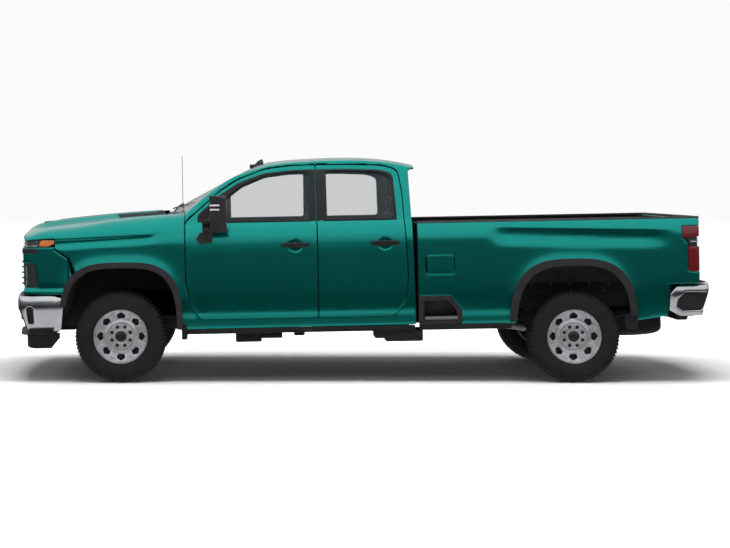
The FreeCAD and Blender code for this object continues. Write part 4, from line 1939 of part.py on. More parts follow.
def raked(shape):
    """Place a piece of the body or frame, tipped by the rake angle."""
    moved = shape.copy()
    moved.rotate(Vector(0, 0, TYRE_RADIUS), Vector(0, 1, 0), -RAKE_DEGREES)
    moved.translate(Vector(FRONT_AXLE_X, 0, 0))
    return moved


def pair(shape):
    return Part.makeCompound(both_sides(shape))


def moved_out(shape):
    """A +Y side panel moved outwards by the gap that trim on it keeps."""
    moved = shape.copy()
    moved.translate(Vector(0, TOUCH_GAP, 0))
    return moved


def wheel_at(shape, station, side):
    """Place a wheel piece that was drawn facing +Y about the Y axis."""
    placed = shape.copy()
    placed.translate(Vector(station, WHEEL_Y, TYRE_RADIUS))
    if side < 0:
        placed = mirrored(placed)
    return placed


def build():
    """All pieces by name, placed in the truck's frame."""
    corner = front_corner()
    right_bed_side = bed_side()
    body = {
        "ladder_frame": ladder_frame(),
        "hitch_receiver": hitch_receiver(),
        "powertrain": powertrain(),
        "exhaust": exhaust(),
        "fuel_tank": fuel_tank(),
        "spare_wheel": spare_wheel(),
        "leaf_springs": pair(leaf_spring()),
        "cab_floor": cab_floor(),
        "cab_roof": cab_roof(),
        "cab_back": cab_back(),
        "cab_glass": Part.makeCompound([windscreen(), back_glass()]),
        "cowl_panel": cowl_panel(),
        "dashboard": dashboard(),
        "steering_wheel": steering_wheel(),
        "seats": Part.makeCompound([
            bucket_seat(SEAT_Y), bucket_seat(-SEAT_Y), console(), rear_seat()]),
        "front_fenders": pair(fender()),
        "front_corners": pair(corner),
        "core_support": core_support(),
        "grille": grille(),
        "headlamps": headlamps(),
        "front_bumper": front_bumper(),
        "front_valance": front_valance(),
        "arch_liners": pair(arch_liner()),
        "hood": hood(),
        "load_bed": load_bed(),
        "bed_sides": Part.makeCompound([left_bed_side(), right_bed_side]),
        "bed_trim": Part.makeCompound([pair(rail_cap()), pair(bed_step())]),
        "tail_lamps": tail_lamps(),
        "tailgate": tailgate(),
        "rear_bumper": rear_bumper(),
        "fuel_door": fuel_door(),
    }
    front_flare = arch_flare(
        FRONT_ARCH, FLARE_BAND, FRONT_FLARE_FOOT_Z, FRONT_FLARE_REAR_FOOT_Z)
    rear_flare = arch_flare(
        REAR_ARCH, REAR_FLARE_BAND, REAR_FLARE_FOOT_Z, REAR_FLARE_REAR_FOOT_Z)
    front_flare = front_flare.cut(moved_out(corner))
    rear_flare = rear_flare.cut(moved_out(right_bed_side))
    body["arch_flares"] = Part.makeCompound([pair(front_flare), pair(rear_flare)])
    body["cab_sides"] = pair(cab_side())
    sided = {
        "front_door": door_panel(FRONT_DOOR_OUTLINE, FRONT_WINDOW, FRONT_HINGE_X),
        "rear_door": door_panel(REAR_DOOR_OUTLINE, REAR_WINDOW, REAR_HINGE_X),
        "front_door_glass": glass_pane(FRONT_WINDOW, SIDE_GLASS_INSET, -TOUCH_GAP),
        "rear_door_glass": glass_pane(REAR_WINDOW, SIDE_GLASS_INSET, -TOUCH_GAP),
        "mirror": mirror(),
    }
    for name, shape in sided.items():
        body[name + "_right"] = shape
        body[name + "_left"] = mirrored(shape)
    unsprung = {
        "rear_axle": rear_axle(),
        "front_suspension": front_suspension(),
        "knuckle_right": knuckle(),
        "knuckle_left": mirrored(knuckle()),
        "steering_link": steering_link(),
    }
    wheel = rim()
    tyre = tyre_solid()
    for end, station in (("front", 0.0), ("rear", REAR_AXLE)):
        for side_name, side in (("left", -1), ("right", 1)):
            unsprung["rim_%s_%s" % (end, side_name)] = wheel_at(wheel, station, side)
            unsprung["tyre_%s_%s" % (end, side_name)] = wheel_at(tyre, station, side)
    body["drive_shafts"] = drive_shafts()
    pieces = {name: raked(shape) for name, shape in body.items()}
    pieces.update({name: level(shape) for name, shape in unsprung.items()})
    return pieces


def main():
    os.makedirs("parts", exist_ok=True)
    for name, shape in build().items():
        shape.exportStep(os.path.join("parts", name + ".step"))
        print(name, len(shape.Solids), round(shape.Volume / 1e6, 2))


main()
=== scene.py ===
"""Finish and detail for a double-cab, long-bed pickup truck.

Sizes are millimetres in the truck's own level frame: x runs back from the front
axle, y to the right and z up from the ground.  place() turns a point of the body
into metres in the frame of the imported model, with the body's slight rake.
"""
import bisect
import json
import math

import bmesh
import bpy
import numpy as np
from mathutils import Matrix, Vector
from mathutils.geometry import delaunay_2d_cdt

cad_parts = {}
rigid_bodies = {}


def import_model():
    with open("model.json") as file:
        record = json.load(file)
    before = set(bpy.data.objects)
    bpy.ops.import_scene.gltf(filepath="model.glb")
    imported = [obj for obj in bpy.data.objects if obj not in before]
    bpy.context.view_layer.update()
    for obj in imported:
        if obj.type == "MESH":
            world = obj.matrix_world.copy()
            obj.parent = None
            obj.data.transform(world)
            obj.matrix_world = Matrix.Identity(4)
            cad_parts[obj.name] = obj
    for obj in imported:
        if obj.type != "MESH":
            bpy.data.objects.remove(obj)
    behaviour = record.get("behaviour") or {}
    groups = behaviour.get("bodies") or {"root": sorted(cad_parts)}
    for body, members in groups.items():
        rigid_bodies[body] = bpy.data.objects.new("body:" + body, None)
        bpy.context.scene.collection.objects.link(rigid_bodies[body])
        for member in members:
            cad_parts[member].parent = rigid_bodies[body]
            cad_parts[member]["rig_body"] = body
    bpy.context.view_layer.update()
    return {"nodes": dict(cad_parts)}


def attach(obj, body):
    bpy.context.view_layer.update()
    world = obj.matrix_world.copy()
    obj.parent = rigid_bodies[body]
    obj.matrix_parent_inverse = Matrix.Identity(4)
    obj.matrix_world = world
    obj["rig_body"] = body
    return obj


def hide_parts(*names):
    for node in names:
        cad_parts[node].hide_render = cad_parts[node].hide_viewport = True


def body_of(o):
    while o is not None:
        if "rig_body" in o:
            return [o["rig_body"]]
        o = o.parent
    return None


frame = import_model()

MM = 0.001
UP = Vector((0.0, 0.0, 1.0))
SIDES = (("left", -1), ("right", 1))

# Where the body sits
FRONT_AXLE_X = -2237.5
WHEELBASE = 4128.0
TYRE_RADIUS = 417.0
WHEEL_Y = 871.5
RAKE = math.radians(1.1)

# Side of the body, as half widths and heights
BODY_HALF_WIDTH = 1008.0
WIDEST_Z = 1230.0
TURN_UNDER_Z = 780.0
SILL_BOTTOM_Z = 468.0
BELT_Z = 1395.0
GLASS_TOP_Z = 1930.0
BELT_HALF_WIDTH = 976.0
ROOF_HALF_WIDTH = 765.0
BELT_LEDGE = 42.0
NOSE_TAPER_START = -250.0
NOSE_TAPER_LENGTH = 650.0
NOSE_TAPER = 105.0
ARCH_BULGE = 16.0
ARCH_BULGE_REACH = 75.0

# Stations along the body
DOOR_FRONT_X = 605.0
DOOR_SPLIT_X = 1806.0
DOOR_BOTTOM_Z = 566.0
PANEL_GAP = 8.0
CAB_BACK_X = 2688.0
CAB_BACK_LEAN = 28.0
BED_FRONT_X = 2714.0
BED_REAR_X = 5285.0
BED_RAIL_Z = 1398.0
BED_INNER_Y = 907.0

# Panels
PANEL_ROLL = 5.0
PANEL_FLANGE = 22.0
PANEL_PROUD = 1.0
PANEL_CELL = 24.0


def place(x, y, z):
    """Metres in the model's frame for a point of the raked body."""
    rise = z - TYRE_RADIUS
    world_x = x * math.cos(RAKE) - rise * math.sin(RAKE) + FRONT_AXLE_X
    world_z = x * math.sin(RAKE) + rise * math.cos(RAKE) + TYRE_RADIUS
    return Vector((world_x, y, world_z)) * MM


def level_place(x, y, z):
    """Metres in the model's frame for a point of the level running gear."""
    return Vector((x + FRONT_AXLE_X, y, z)) * MM


def truck_point(point):
    """The body's own millimetres for a point of the model's frame."""
    world_x = point.x / MM - FRONT_AXLE_X
    rise = point.z / MM - TYRE_RADIUS
    x = world_x * math.cos(RAKE) + rise * math.sin(RAKE)
    z = rise * math.cos(RAKE) - world_x * math.sin(RAKE)
    return x, point.y / MM, z + TYRE_RADIUS


def smooth(value):
    clipped = min(max(value, 0.0), 1.0)
    return clipped * clipped * (3.0 - 2.0 * clipped)


def steps(start, end, count):
    return [start + (end - start) * index / count for index in range(count + 1)]


def curve_through(points, value):
    """Read a smooth curve through (position, height) points at one position."""
    if value <= points[0][0]:
        return points[0][1]
    for index in range(len(points) - 1):
        x0, z0 = points[index]
        x1, z1 = points[index + 1]
        if value > x1:
            continue
        before = points[max(index - 1, 0)]
        after = points[min(index + 2, len(points) - 1)]
        slope_0 = (z1 - before[1]) / (x1 - before[0])
        slope_1 = (after[1] - z0) / (after[0] - x0)
        span = x1 - x0
        t = (value - x0) / span
        start_part = (2 * t**3 - 3 * t**2 + 1) * z0 + (t**3 - 2 * t**2 + t) * span * slope_0
        end_part = (3 * t**2 - 2 * t**3) * z1 + (t**3 - t**2) * span * slope_1
        return start_part + end_part
    return points[-1][1]


# The body's outer surfaces

class Arch:
    """A wheel opening whose outline is a rounded box over the wheel."""

    def __init__(self, station, half_length, top_z, power, centre_z):
        self.station = station
        self.half_length = half_length
        self.height = top_z - centre_z
        self.power = power
        self.centre_z = centre_z

    def points(self, grow, count=40):
        result = []
        for angle in steps(math.pi, 0.0, count):
            c = math.cos(angle)
            s = max(math.sin(angle), 0.0)
            x = math.copysign(abs(c) ** (2 / self.power), c) * (self.half_length + grow)
            z = s ** (2 / self.power) * (self.height + grow)
            result.append((self.station + x, self.centre_z + z))
        return result

    def outside(self, x, z):
        a = abs(x - self.station) / self.half_length
        b = max(z - self.centre_z, 0.0) / self.height
        ratio = (a**self.power + b**self.power) ** (1 / self.power)
        return (ratio - 1.0) * (self.half_length + self.height) / 2


FRONT_ARCH = Arch(10.0, 512.0, 1046.0, 3.3, 430.0)
REAR_ARCH = Arch(WHEELBASE - 7.0, 522.0, 990.0, 3.0, 340.0)


def side_width(x, z):
    """Half width of the body side at a station and height."""
    low = max(WIDEST_Z - z, 0.0)
    width = BODY_HALF_WIDTH - 6.0 * (low / (WIDEST_Z - TURN_UNDER_Z)) ** 2
    under = max(TURN_UNDER_Z - z, 0.0) / (TURN_UNDER_Z - SILL_BOTTOM_Z)
    width -= 26.0 * under**1.5
    high = min(max(z - WIDEST_Z, 0.0) / (BELT_Z - WIDEST_Z), 1.0)
    width -= (BODY_HALF_WIDTH - BELT_HALF_WIDTH) * high**2
    width -= BELT_LEDGE * smooth((z - BELT_Z + 5.0) / 50.0)
    above = max(z - BELT_Z, 0.0) / (GLASS_TOP_Z - BELT_Z)
    width -= (BELT_HALF_WIDTH - BELT_LEDGE - ROOF_HALF_WIDTH) * above**1.2
    taper = max(NOSE_TAPER_START - x, 0.0) / NOSE_TAPER_LENGTH
    width -= NOSE_TAPER * taper**2.2
    for arch in (FRONT_ARCH, REAR_ARCH):
        outside = max(arch.outside(x, z), 0.0)
        width += ARCH_BULGE * math.exp(-((outside / ARCH_BULGE_REACH) ** 2))
    return width


ROOF_LINE = [
    (700.0, 1686.0), (960.0, 1816.0), (1166.0, 1914.0), (1290.0, 1961.0), (1409.0, 1993.0),
    (1700.0, 2014.0), (2122.0, 2021.0), (2450.0, 1998.0), (2705.0, 1949.0), (2790.0, 1922.0)]
ROOF_CROWN = 40.0
ROOF_CROWN_START_X = 900.0
ROOF_CROWN_LENGTH = 500.0
SCREEN_BASE_X = 383.0
SCREEN_BASE_SWEEP = 157.0
SCREEN_BASE_Z = 1508.0
SCREEN_TOP_X = 1166.0
SCREEN_TOP_Z = 1910.0
SCREEN_TOP_SWEEP = -34.0
SCREEN_SWEEP_Y = 750.0
SCREEN_BOW = 14.0
HEADER_BLEND = 16.0
HEADER_X = 1150.0
HEADER_SWEEP = -40.0


def screen_z(x, y):
    sweep = (y / SCREEN_SWEEP_Y) ** 2
    base = SCREEN_BASE_X + SCREEN_BASE_SWEEP * sweep
    run = SCREEN_TOP_X + SCREEN_TOP_SWEEP * sweep - base
    rise = (x - base) / run
    for _ in range(3):
        bow = SCREEN_BOW * math.sin(math.pi * min(max(rise, 0.0), 1.0))
        rise = (x - base + bow) / run
    return SCREEN_BASE_Z + rise * (SCREEN_TOP_Z - SCREEN_BASE_Z)


def roof_z(x, y):
    crown = ROOF_CROWN * smooth((x - ROOF_CROWN_START_X) / ROOF_CROWN_LENGTH)
    return curve_through(ROOF_LINE, x) - crown * (abs(y) / ROOF_HALF_WIDTH) ** 2.6


def top_z(x, y):
    """Height of the cab's top: windscreen and roof, blended at the header."""
    screen = screen_z(x, y)
    roof = roof_z(x, y)
    near = max(HEADER_BLEND - abs(screen - roof), 0.0)
    return min(screen, roof) - near**2 / (4.0 * HEADER_BLEND)


def header_x(y):
    return HEADER_X + HEADER_SWEEP * (y / SCREEN_SWEEP_Y) ** 2


HOOD_HALF_WIDTH = 800.0
NOSE_X = -935.0
NOSE_SWEEP = 45.0
NOSE_SWEEP_Y = 850.0
HOOD_REAR_X = 288.0
HOOD_REAR_SWEEP = 140.0
FENDER_ROLL_LINE = [(-950.0, 1296.0), (-583.0, 1314.0), (351.0, 1341.0), (640.0, 1346.0)]
HOOD_EDGE_LINE = [
    (-960.0, 1318.0), (-890.0, 1338.0), (-693.0, 1402.0), (-358.0, 1441.0),
    (-69.0, 1481.0), (419.0, 1517.0), (640.0, 1530.0)]
HOOD_LINE = [
    (-960.0, 1300.0), (-935.0, 1325.0), (-875.0, 1420.0), (-780.0, 1452.0),
    (-641.0, 1478.0), (-164.0, 1521.0), (288.0, 1544.0), (460.0, 1548.0)]
BULGE_HALF_WIDTH = 430.0
BULGE_SHOULDER = 46.0
BULGE_HEIGHT = 34.0


def nose_x(y):
    return NOSE_X + NOSE_SWEEP * (abs(y) / NOSE_SWEEP_Y) ** 2.5


def hood_z(x, y):
    edge_z = curve_through(HOOD_EDGE_LINE, x)
    centre_z = curve_through(HOOD_LINE, x)
    rise = max(centre_z - edge_z, 0.0)
    bulge = min(BULGE_HEIGHT, rise) * smooth((x - NOSE_X) / 260.0)
    crown = (rise - bulge) * (1.0 - min(abs(y) / HOOD_HALF_WIDTH, 1.1) ** 2.2)
    shoulder = smooth((BULGE_HALF_WIDTH + BULGE_SHOULDER / 2 - abs(y)) / BULGE_SHOULDER)
    return edge_z + crown + bulge * shoulder


def fender_point(x, t):
    """(y, z) up the fender side for t in 0..1, then over the roll for 1..2."""
    roll_z = curve_through(FENDER_ROLL_LINE, x)
    if t <= 1.0:
        z = 430.0 + (roll_z - 430.0) * t
        return side_width(x, z), z
    edge_z = curve_through(HOOD_EDGE_LINE, x)
    angle = (t - 1.0) * math.pi / 2
    wide = side_width(x, roll_z)
    inner = HOOD_HALF_WIDTH - 30.0
    y = inner + (wide - inner) * math.cos(angle)
    return y, roll_z + (edge_z - roll_z) * math.sin(angle)


class Way:
    """A line in plan, read by the length along it."""

    def __init__(self, points, start=0.0):
        self.points = [Vector(point[:2]) for point in points]
        self.lengths = [start]
        for a, b in zip(self.points, self.points[1:]):
            self.lengths.append(self.lengths[-1] + (b - a).length)
        self.length = self.lengths[-1]

    def at(self, s):
        s = min(max(s, self.lengths[0]), self.length)
        index = min(bisect.bisect_right(self.lengths, s), len(self.lengths) - 1)
        start = self.lengths[index - 1]
        t = (s - start) / max(self.lengths[index] - start, 1e-9)
        return self.points[index - 1].lerp(self.points[index], t)

    def out(self, s):
        along = self.at(min(s + 14.0, self.length)) - self.at(max(s - 14.0, 0.0))
        along.normalize()
        return Vector((-along.y, along.x))

    def reach(self, wanted):
        """Length to the first point that passes a test."""
        for point, length in zip(self.points, self.lengths):
            if wanted(point):
                return length
        return self.length


class Wrap:
    """A surface read between evenly stacked ways."""

    def __init__(self, step, way_at):
        self.step = step
        self.way_at = way_at
        self.ways = {}

    def way(self, index):
        if index not in self.ways:
            self.ways[index] = self.way_at(index * self.step)
        return self.ways[index]

    def at(self, place_on, s):
        index = math.floor(place_on / self.step)
        t = place_on / self.step - index
        return self.way(index).at(s).lerp(self.way(index + 1).at(s), t)

    def reach(self, place_on, wanted):
        return self.way(round(place_on / self.step)).reach(wanted)


def evened(points, first, last, rounds):
    """The same points with the corner between first and last rounded off."""
    for _ in range(rounds):
        old = list(points)
        for index in range(max(first, 1), min(last, len(points) - 1)):
            points[index] = (old[index - 1] + old[index] * 2 + old[index + 1]) / 4
    return points


# Flat outlines

def rounded(corners, pieces=6):
    """Points of an outline given as (a, b, corner radius), with round corners."""
    points = []
    count = len(corners)
    for index in range(count):
        a = Vector(corners[index - 1][:2])
        b = Vector(corners[index][:2])
        c = Vector(corners[(index + 1) % count][:2])
        back = (a - b).normalized()
        ahead = (c - b).normalized()
        half = back.angle(ahead) / 2
        room = 0.48 * min((a - b).length, (c - b).length)
        trim = min(corners[index][2] / math.tan(half), room)
        if trim < 0.5:
            points.append(tuple(b))
            continue
        centre = b + (back + ahead).normalized() * (trim / math.cos(half))
        first = b + back * trim - centre
        last = b + ahead * trim - centre
        sweep = first.angle(last)
        for step in range(pieces + 1):
            t = step / pieces
            spot = (first * math.sin((1 - t) * sweep) + last * math.sin(t * sweep))
            points.append(tuple(centre + spot / math.sin(sweep)))
    return points


def subdivided(points, length):
    """The same outline with no side longer than length."""
    result = []
    for a, b in zip(points, points[1:] + points[:1]):
        count = max(int(math.dist(a, b) / length), 1)
        for step in range(count):
            t = step / count
            result.append((a[0] + (b[0] - a[0]) * t, a[1] + (b[1] - a[1]) * t))
    return result


def arch_outline(arch, foot_z):
    points = arch.points(0.0)
    return points + [(points[-1][0], foot_z), (points[0][0], foot_z)]


class Outline:
    """A closed flat outline that knows how deep inside it points lie."""

    def __init__(self, points, length=26.0):
        self.points = subdivided(list(points), length)
        turn = sum(
            a[0] * b[1] - b[0] * a[1]
            for a, b in zip(self.points, self.points[1:] + self.points[:1]))
        if turn < 0:
            self.points.reverse()

    def depth(self, spots):
        """Distance to the outline, above 0 inside it."""
        a = np.array(self.points)
        b = np.roll(a, -1, axis=0)
        side = b - a
        best = np.full(len(spots), 1e9)
        inside = np.zeros(len(spots), dtype=bool)
        for start, along, end in zip(a, side, b):
            gap = spots - start
            t = np.clip((gap @ along) / max(along @ along, 1e-9), 0.0, 1.0)
            away = gap - t[:, None] * along
            best = np.minimum(best, (away**2).sum(axis=1))
            crosses = (start[1] > spots[:, 1]) != (end[1] > spots[:, 1])
            if along[1] != 0.0:
                cut = start[0] + (spots[:, 1] - start[1]) / along[1] * along[0]
                inside ^= crosses & (spots[:, 0] < cut)
        distance = np.sqrt(best)
        return np.where(inside, distance, -distance)

    def grown(self, distance):
        """Points of the outline moved outwards."""
        result = []
        count = len(self.points)
        for index in range(count):
            a = Vector(self.points[index - 1])
            b = Vector(self.points[index])
            c = Vector(self.points[(index + 1) % count])
            first = (b - a).normalized()
            second = (c - b).normalized()
            out = Vector((first.y + second.y, -first.x - second.x))
            if out.length < 0.1:
                out = Vector((first.y, -first.x))
            out.normalize()
            reach = max(out.dot(Vector((first.y, -first.x))), 0.6)
            result.append(tuple(b + out * distance / reach))
        return result


def signed_depth(shape, holes, spots):
    """How deep points lie inside an outline and outside its holes."""
    values = [shape.depth(spots)] + [-hole.depth(spots) for hole in holes]
    table = np.stack(values)
    return table.min(axis=0), table.argmin(axis=0)


# Meshes

def new_object(name, data):
    made = bpy.data.objects.new(name, data)
    bpy.context.scene.collection.objects.link(made)
    return made


def new_mesh(name, vertices, faces):
    mesh = bpy.data.meshes.new(name)
    mesh.from_pydata([tuple(v) for v in vertices], [], faces)
    return mesh


def make_piece(name, vertices, faces, body, material, slot=None):
    piece = new_object(name, new_mesh(name, vertices, faces))
    piece.data.materials.append(material)
    piece.data.shade_smooth()
    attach(piece, body)
    return piece


def sharpen(piece, degrees=35.0):
    """Mark edges sharp where the faces beside them turn by more than degrees."""
    mesh = bmesh.new()
    mesh.from_mesh(piece.data)
    limit = math.radians(degrees)
    for edge in mesh.edges:
        if len(edge.link_faces) == 2 and edge.calc_face_angle(0.0) > limit:
            edge.smooth = False
    mesh.to_mesh(piece.data)
    mesh.free()


def surface_normal(point_at, a, b):
    step = 1.5
    along = point_at(a + step, b) - point_at(a - step, b)
    across = point_at(a, b + step) - point_at(a, b - step)
    return along.cross(across).normalized()


def roll_depth(distance, roll):
    if distance >= roll:
        return 0.0
    return roll - math.sqrt(max(roll**2 - (roll - max(distance, 0.0)) ** 2, 0.0))


def panel_mesh(
        point_at, shape, holes=(), cell=PANEL_CELL, roll=PANEL_ROLL, flange=PANEL_FLANGE,
        hole_flange=None, proud=PANEL_PROUD, sunk=None, lines=(), sign=1,
        outward=Vector((0.0, 1.0, 0.0)), place_at=place, mirrored=False):
    """Vertices and faces of a thin formed panel with rolled edges and a return flange.

    point_at gives body millimetres for a spot of the flat outline, on the +Y side;
    sign -1 mirrors the result.  sunk gives the depth of pressed creases.
    """
    loops = []
    for part, inward in [(shape, -1.0)] + [(hole, 1.0) for hole in holes]:
        for share in (0.0, 0.08, 0.24, 0.52, 1.0):
            distance = share * roll * inward
            loops.append(part.grown(distance) if share else list(part.points))
    spots = []
    edges = []
    for loop in loops:
        start = len(spots)
        spots.extend(loop)
        edges.extend((start + k, start + (k + 1) % len(loop)) for k in range(len(loop)))
    for line in lines:
        start = len(spots)
        spots.extend(line)
        edges.extend((start + k, start + k + 1) for k in range(len(line) - 1))
    low = np.array(shape.points).min(axis=0)
    high = np.array(shape.points).max(axis=0)
    grid = []
    for a in np.arange(low[0] + cell / 2, high[0], cell):
        for b in np.arange(low[1] + cell / 2, high[1], cell):
            grid.append((a, b))
    if grid:
        table = np.array(grid)
        depth, _ = signed_depth(shape, holes, table)
        keep = depth > roll + cell * 0.35
        if lines:
            line_spots = np.array([spot for line in lines for spot in line])
            gap = ((table[:, None, :] - line_spots[None, :, :]) ** 2).sum(axis=2).min(axis=1)
            keep &= gap > (cell * 0.4) ** 2
        spots.extend(map(tuple, table[keep]))
    result = delaunay_2d_cdt([Vector(spot) for spot in spots], edges, [], 0, 1e-4)
    flat = np.array([tuple(v) for v in result[0]])
    triangles = np.array(result[2])
    centres = flat[triangles].mean(axis=1)
    inside, _ = signed_depth(shape, holes, centres)
    triangles = triangles[inside > 0.02]
    depth, nearest = signed_depth(shape, holes, flat)
    used = sorted({int(index) for row in triangles for index in row})
    number = {index: k for k, index in enumerate(used)}
    vertices = []
    normals = []
    facing = 0.0
    for index in used:
        a, b = flat[index]
        normal = surface_normal(point_at, a, b)
        if normal.dot(outward(a, b) if callable(outward) else outward) < 0.0:
            normal = -normal
            facing -= 1.0
        else:
            facing += 1.0
        drop = roll_depth(depth[index], roll) - proud
        if sunk:
            drop += sunk(a, b)
        vertices.append(point_at(a, b) - normal * drop)
        normals.append(normal)
    faces = []
    for row in triangles:
        a, b, c = (flat[int(i)] for i in row)
        turn = (b[0] - a[0]) * (c[1] - a[1]) - (b[1] - a[1]) * (c[0] - a[0])
        face = [number[int(i)] for i in row]
        if (turn * facing * sign < 0.0) != mirrored:
            face.reverse()
        faces.append(face)
    seen = {}
    for face in faces:
        for a, b in zip(face, face[1:] + face[:1]):
            if (b, a) in seen:
                del seen[(b, a)]
            else:
                seen[(a, b)] = True
    if flange:
        far = {}
        for a, b in seen:
            for end in (a, b):
                if end not in far:
                    reach = flange
                    if hole_flange and nearest[used[end]] > 0:
                        reach = hole_flange
                    far[end] = len(vertices)
                    vertices.append(vertices[end] - normals[end] * reach)
            faces.append([b, a, far[a], far[b]])
    vertices = [place_at(v.x, v.y * sign, v.z) for v in vertices]
    return vertices, faces


def panel(name, body, material, point_at, shape, slot="paint", **options):
    vertices, faces = panel_mesh(point_at, shape, **options)
    return make_piece(name, vertices, faces, body, material, slot)


def node_copy(node, drop=None, degrees=32.0):
    """A merged copy of a CAD node, without the faces that a panel stands for."""
    source = frame["nodes"][node]
    mesh = bmesh.new()
    mesh.from_mesh(source.data)
    mesh.transform(source.matrix_world)
    bmesh.ops.remove_doubles(mesh, verts=mesh.verts, dist=0.00002)
    if drop:
        outer = {v for v in mesh.verts if drop(*truck_point(v.co))}
        doomed = [f for f in mesh.faces if any(v in outer for v in f.verts)]
        bmesh.ops.delete(mesh, geom=doomed, context="FACES")
    limit = math.radians(degrees)
    for edge in mesh.edges:
        edge.smooth = len(edge.link_faces) != 2 or edge.calc_face_angle(0.0) < limit
    for face in mesh.faces:
        face.smooth = True
    data = bpy.data.meshes.new(node + "_finish")
    mesh.to_mesh(data)
    mesh.free()
    return new_object(node + "_finish", data)


def dress(node, material, slot, body=None, drop=None, degrees=32.0):
    """Show a CAD node as a merged copy with crisp edges and a finish."""
    piece = node_copy(node, drop=drop, degrees=degrees)
    piece.data.materials.clear()
    piece.data.materials.append(material)
    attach(piece, body or "body")
    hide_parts(node)
    return piece


def ring_faces(rings, sides):
    """Faces between rings of points, and over the first and last ring."""
    walls = []
    for row in range(rings - 1):
        for k in range(sides):
            a = row * sides + k
            b = row * sides + (k + 1) % sides
            walls.append([a, b, b + sides, a + sides])
    return walls, [list(range(sides)), [(rings - 1) * sides + k for k in range(sides)]]


def around(centre, side, other, radius, count):
    angles = [2 * math.pi * k / count for k in range(count)]
    return [
        centre + (side * math.cos(angle) + other * math.sin(angle)) * radius for angle in angles]


def tube(name, points, radius, body, material, slot=None, sides=10):
    """A round bar or wire along points in metres."""
    vertices = []
    last = len(points) - 1
    for index, point in enumerate(points):
        way = (points[min(index + 1, last)] - points[max(index - 1, 0)]).normalized()
        side = way.cross(UP if abs(way.z) < 0.9 else Vector((1.0, 0.0, 0.0))).normalized()
        vertices += around(point, side, way.cross(side).normalized(), radius, sides)
    walls, ends = ring_faces(len(points), sides)
    piece = make_piece(name, vertices, walls + ends, body, material, slot)
    make_normals_outward(piece)
    sharpen(piece, 50.0)
    return piece


def make_normals_outward(piece):
    mesh = bmesh.new()
    mesh.from_mesh(piece.data)
    bmesh.ops.remove_doubles(mesh, verts=mesh.verts, dist=0.00002)
    bmesh.ops.recalc_face_normals(mesh, faces=mesh.faces)
    mesh.to_mesh(piece.data)
    mesh.free()


def taken(mesh):
    """Vertices and faces of an edit mesh, which is given up."""
    mesh.verts.index_update()
    vertices = [v.co.copy() for v in mesh.verts]
    faces = [[v.index for v in f.verts] for f in mesh.faces]
    mesh.free()
    return vertices, faces


def soften(mesh, edges, offset):
    bmesh.ops.bevel(
        mesh, geom=edges, offset=offset, segments=2, affect="EDGES", profile=0.5,
        clamp_overlap=True)


def block(x0, x1, y0, y1, z0, z1, edge=4.0):
    """Verts and faces of a moulded block with rounded edges, in body millimetres."""
    mesh = bmesh.new()
    bmesh.ops.create_cube(mesh, size=1.0)
    middle = Vector((x0 + x1, y0 + y1, z0 + z1)) / 2
    size = Vector((x1 - x0, y1 - y0, z1 - z0))
    for v in mesh.verts:
        v.co = middle + v.co * size
    soften(mesh, mesh.edges[:], edge)
    return taken(mesh)


def joined(parts):
    """One list of vertices and faces from several."""
    vertices = []
    faces = []
    for more, rows in parts:
        start = len(vertices)
        vertices.extend(more)
        faces.extend([[start + index for index in row] for row in rows])
    return vertices, faces


def body_piece(name, parts, body, material, slot=None, degrees=35.0):
    """One piece from parts given in body millimetres."""
    vertices, faces = joined(parts)
    piece = make_piece(
        name, [place(*v) for v in vertices], faces, body, material, slot)
    make_normals_outward(piece)
    sharpen(piece, degrees)
    return piece


def extruded(points, low, high, to_point, edge=3.0):
    """Bar whose flat outline is points, from low to high, with softened edges."""
    mesh = bmesh.new()
    ring = [mesh.verts.new(to_point(a, b, low)) for a, b in points]
    face = mesh.faces.new(ring)
    moved = bmesh.ops.extrude_face_region(mesh, geom=[face])
    shift = Vector(to_point(0.0, 0.0, high)) - Vector(to_point(0.0, 0.0, low))
    for item in moved["geom"]:
        if isinstance(item, bmesh.types.BMVert):
            item.co += shift
    bmesh.ops.recalc_face_normals(mesh, faces=mesh.faces)
    soften(mesh, [e for e in mesh.edges if e.calc_face_angle(0.0) > 0.6], edge)
    return taken(mesh)


def side_way(x, z, y):
    return (x, y, z)


def front_way(y, z, x):
    return (x, y, z)


def top_way(x, y, z):
    return (x, y, z)


def mirror_part(part):
    vertices, faces = part
    return [Vector((v[0], -v[1], v[2])) for v in vertices], [list(reversed(f)) for f in faces]


def on_side(parts, sign):
    """Parts drawn on the right side, or their mirror images for the left."""
    return parts if sign > 0 else [mirror_part(part) for part in parts]





# Materials

def linear(code):
    """Linear colour from an sRGB hex value."""
    values = [int(code[index:index + 2], 16) / 255 for index in (1, 3, 5)]
    tones = [v / 12.92 if v <= 0.04045 else ((v + 0.055) / 1.055) ** 2.4 for v in values]
    return (*tones, 1.0)


def add(tree, kind, inputs=None, **settings):
    """One shader node with its settings, values and links."""
    node = tree.nodes.new(kind)
    for key, value in settings.items():
        setattr(node, key, value)
    for key, value in (inputs or {}).items():
        if isinstance(value, bpy.types.NodeSocket):
            tree.links.new(value, node.inputs[key])
        else:
            node.inputs[key].default_value = value
    return node


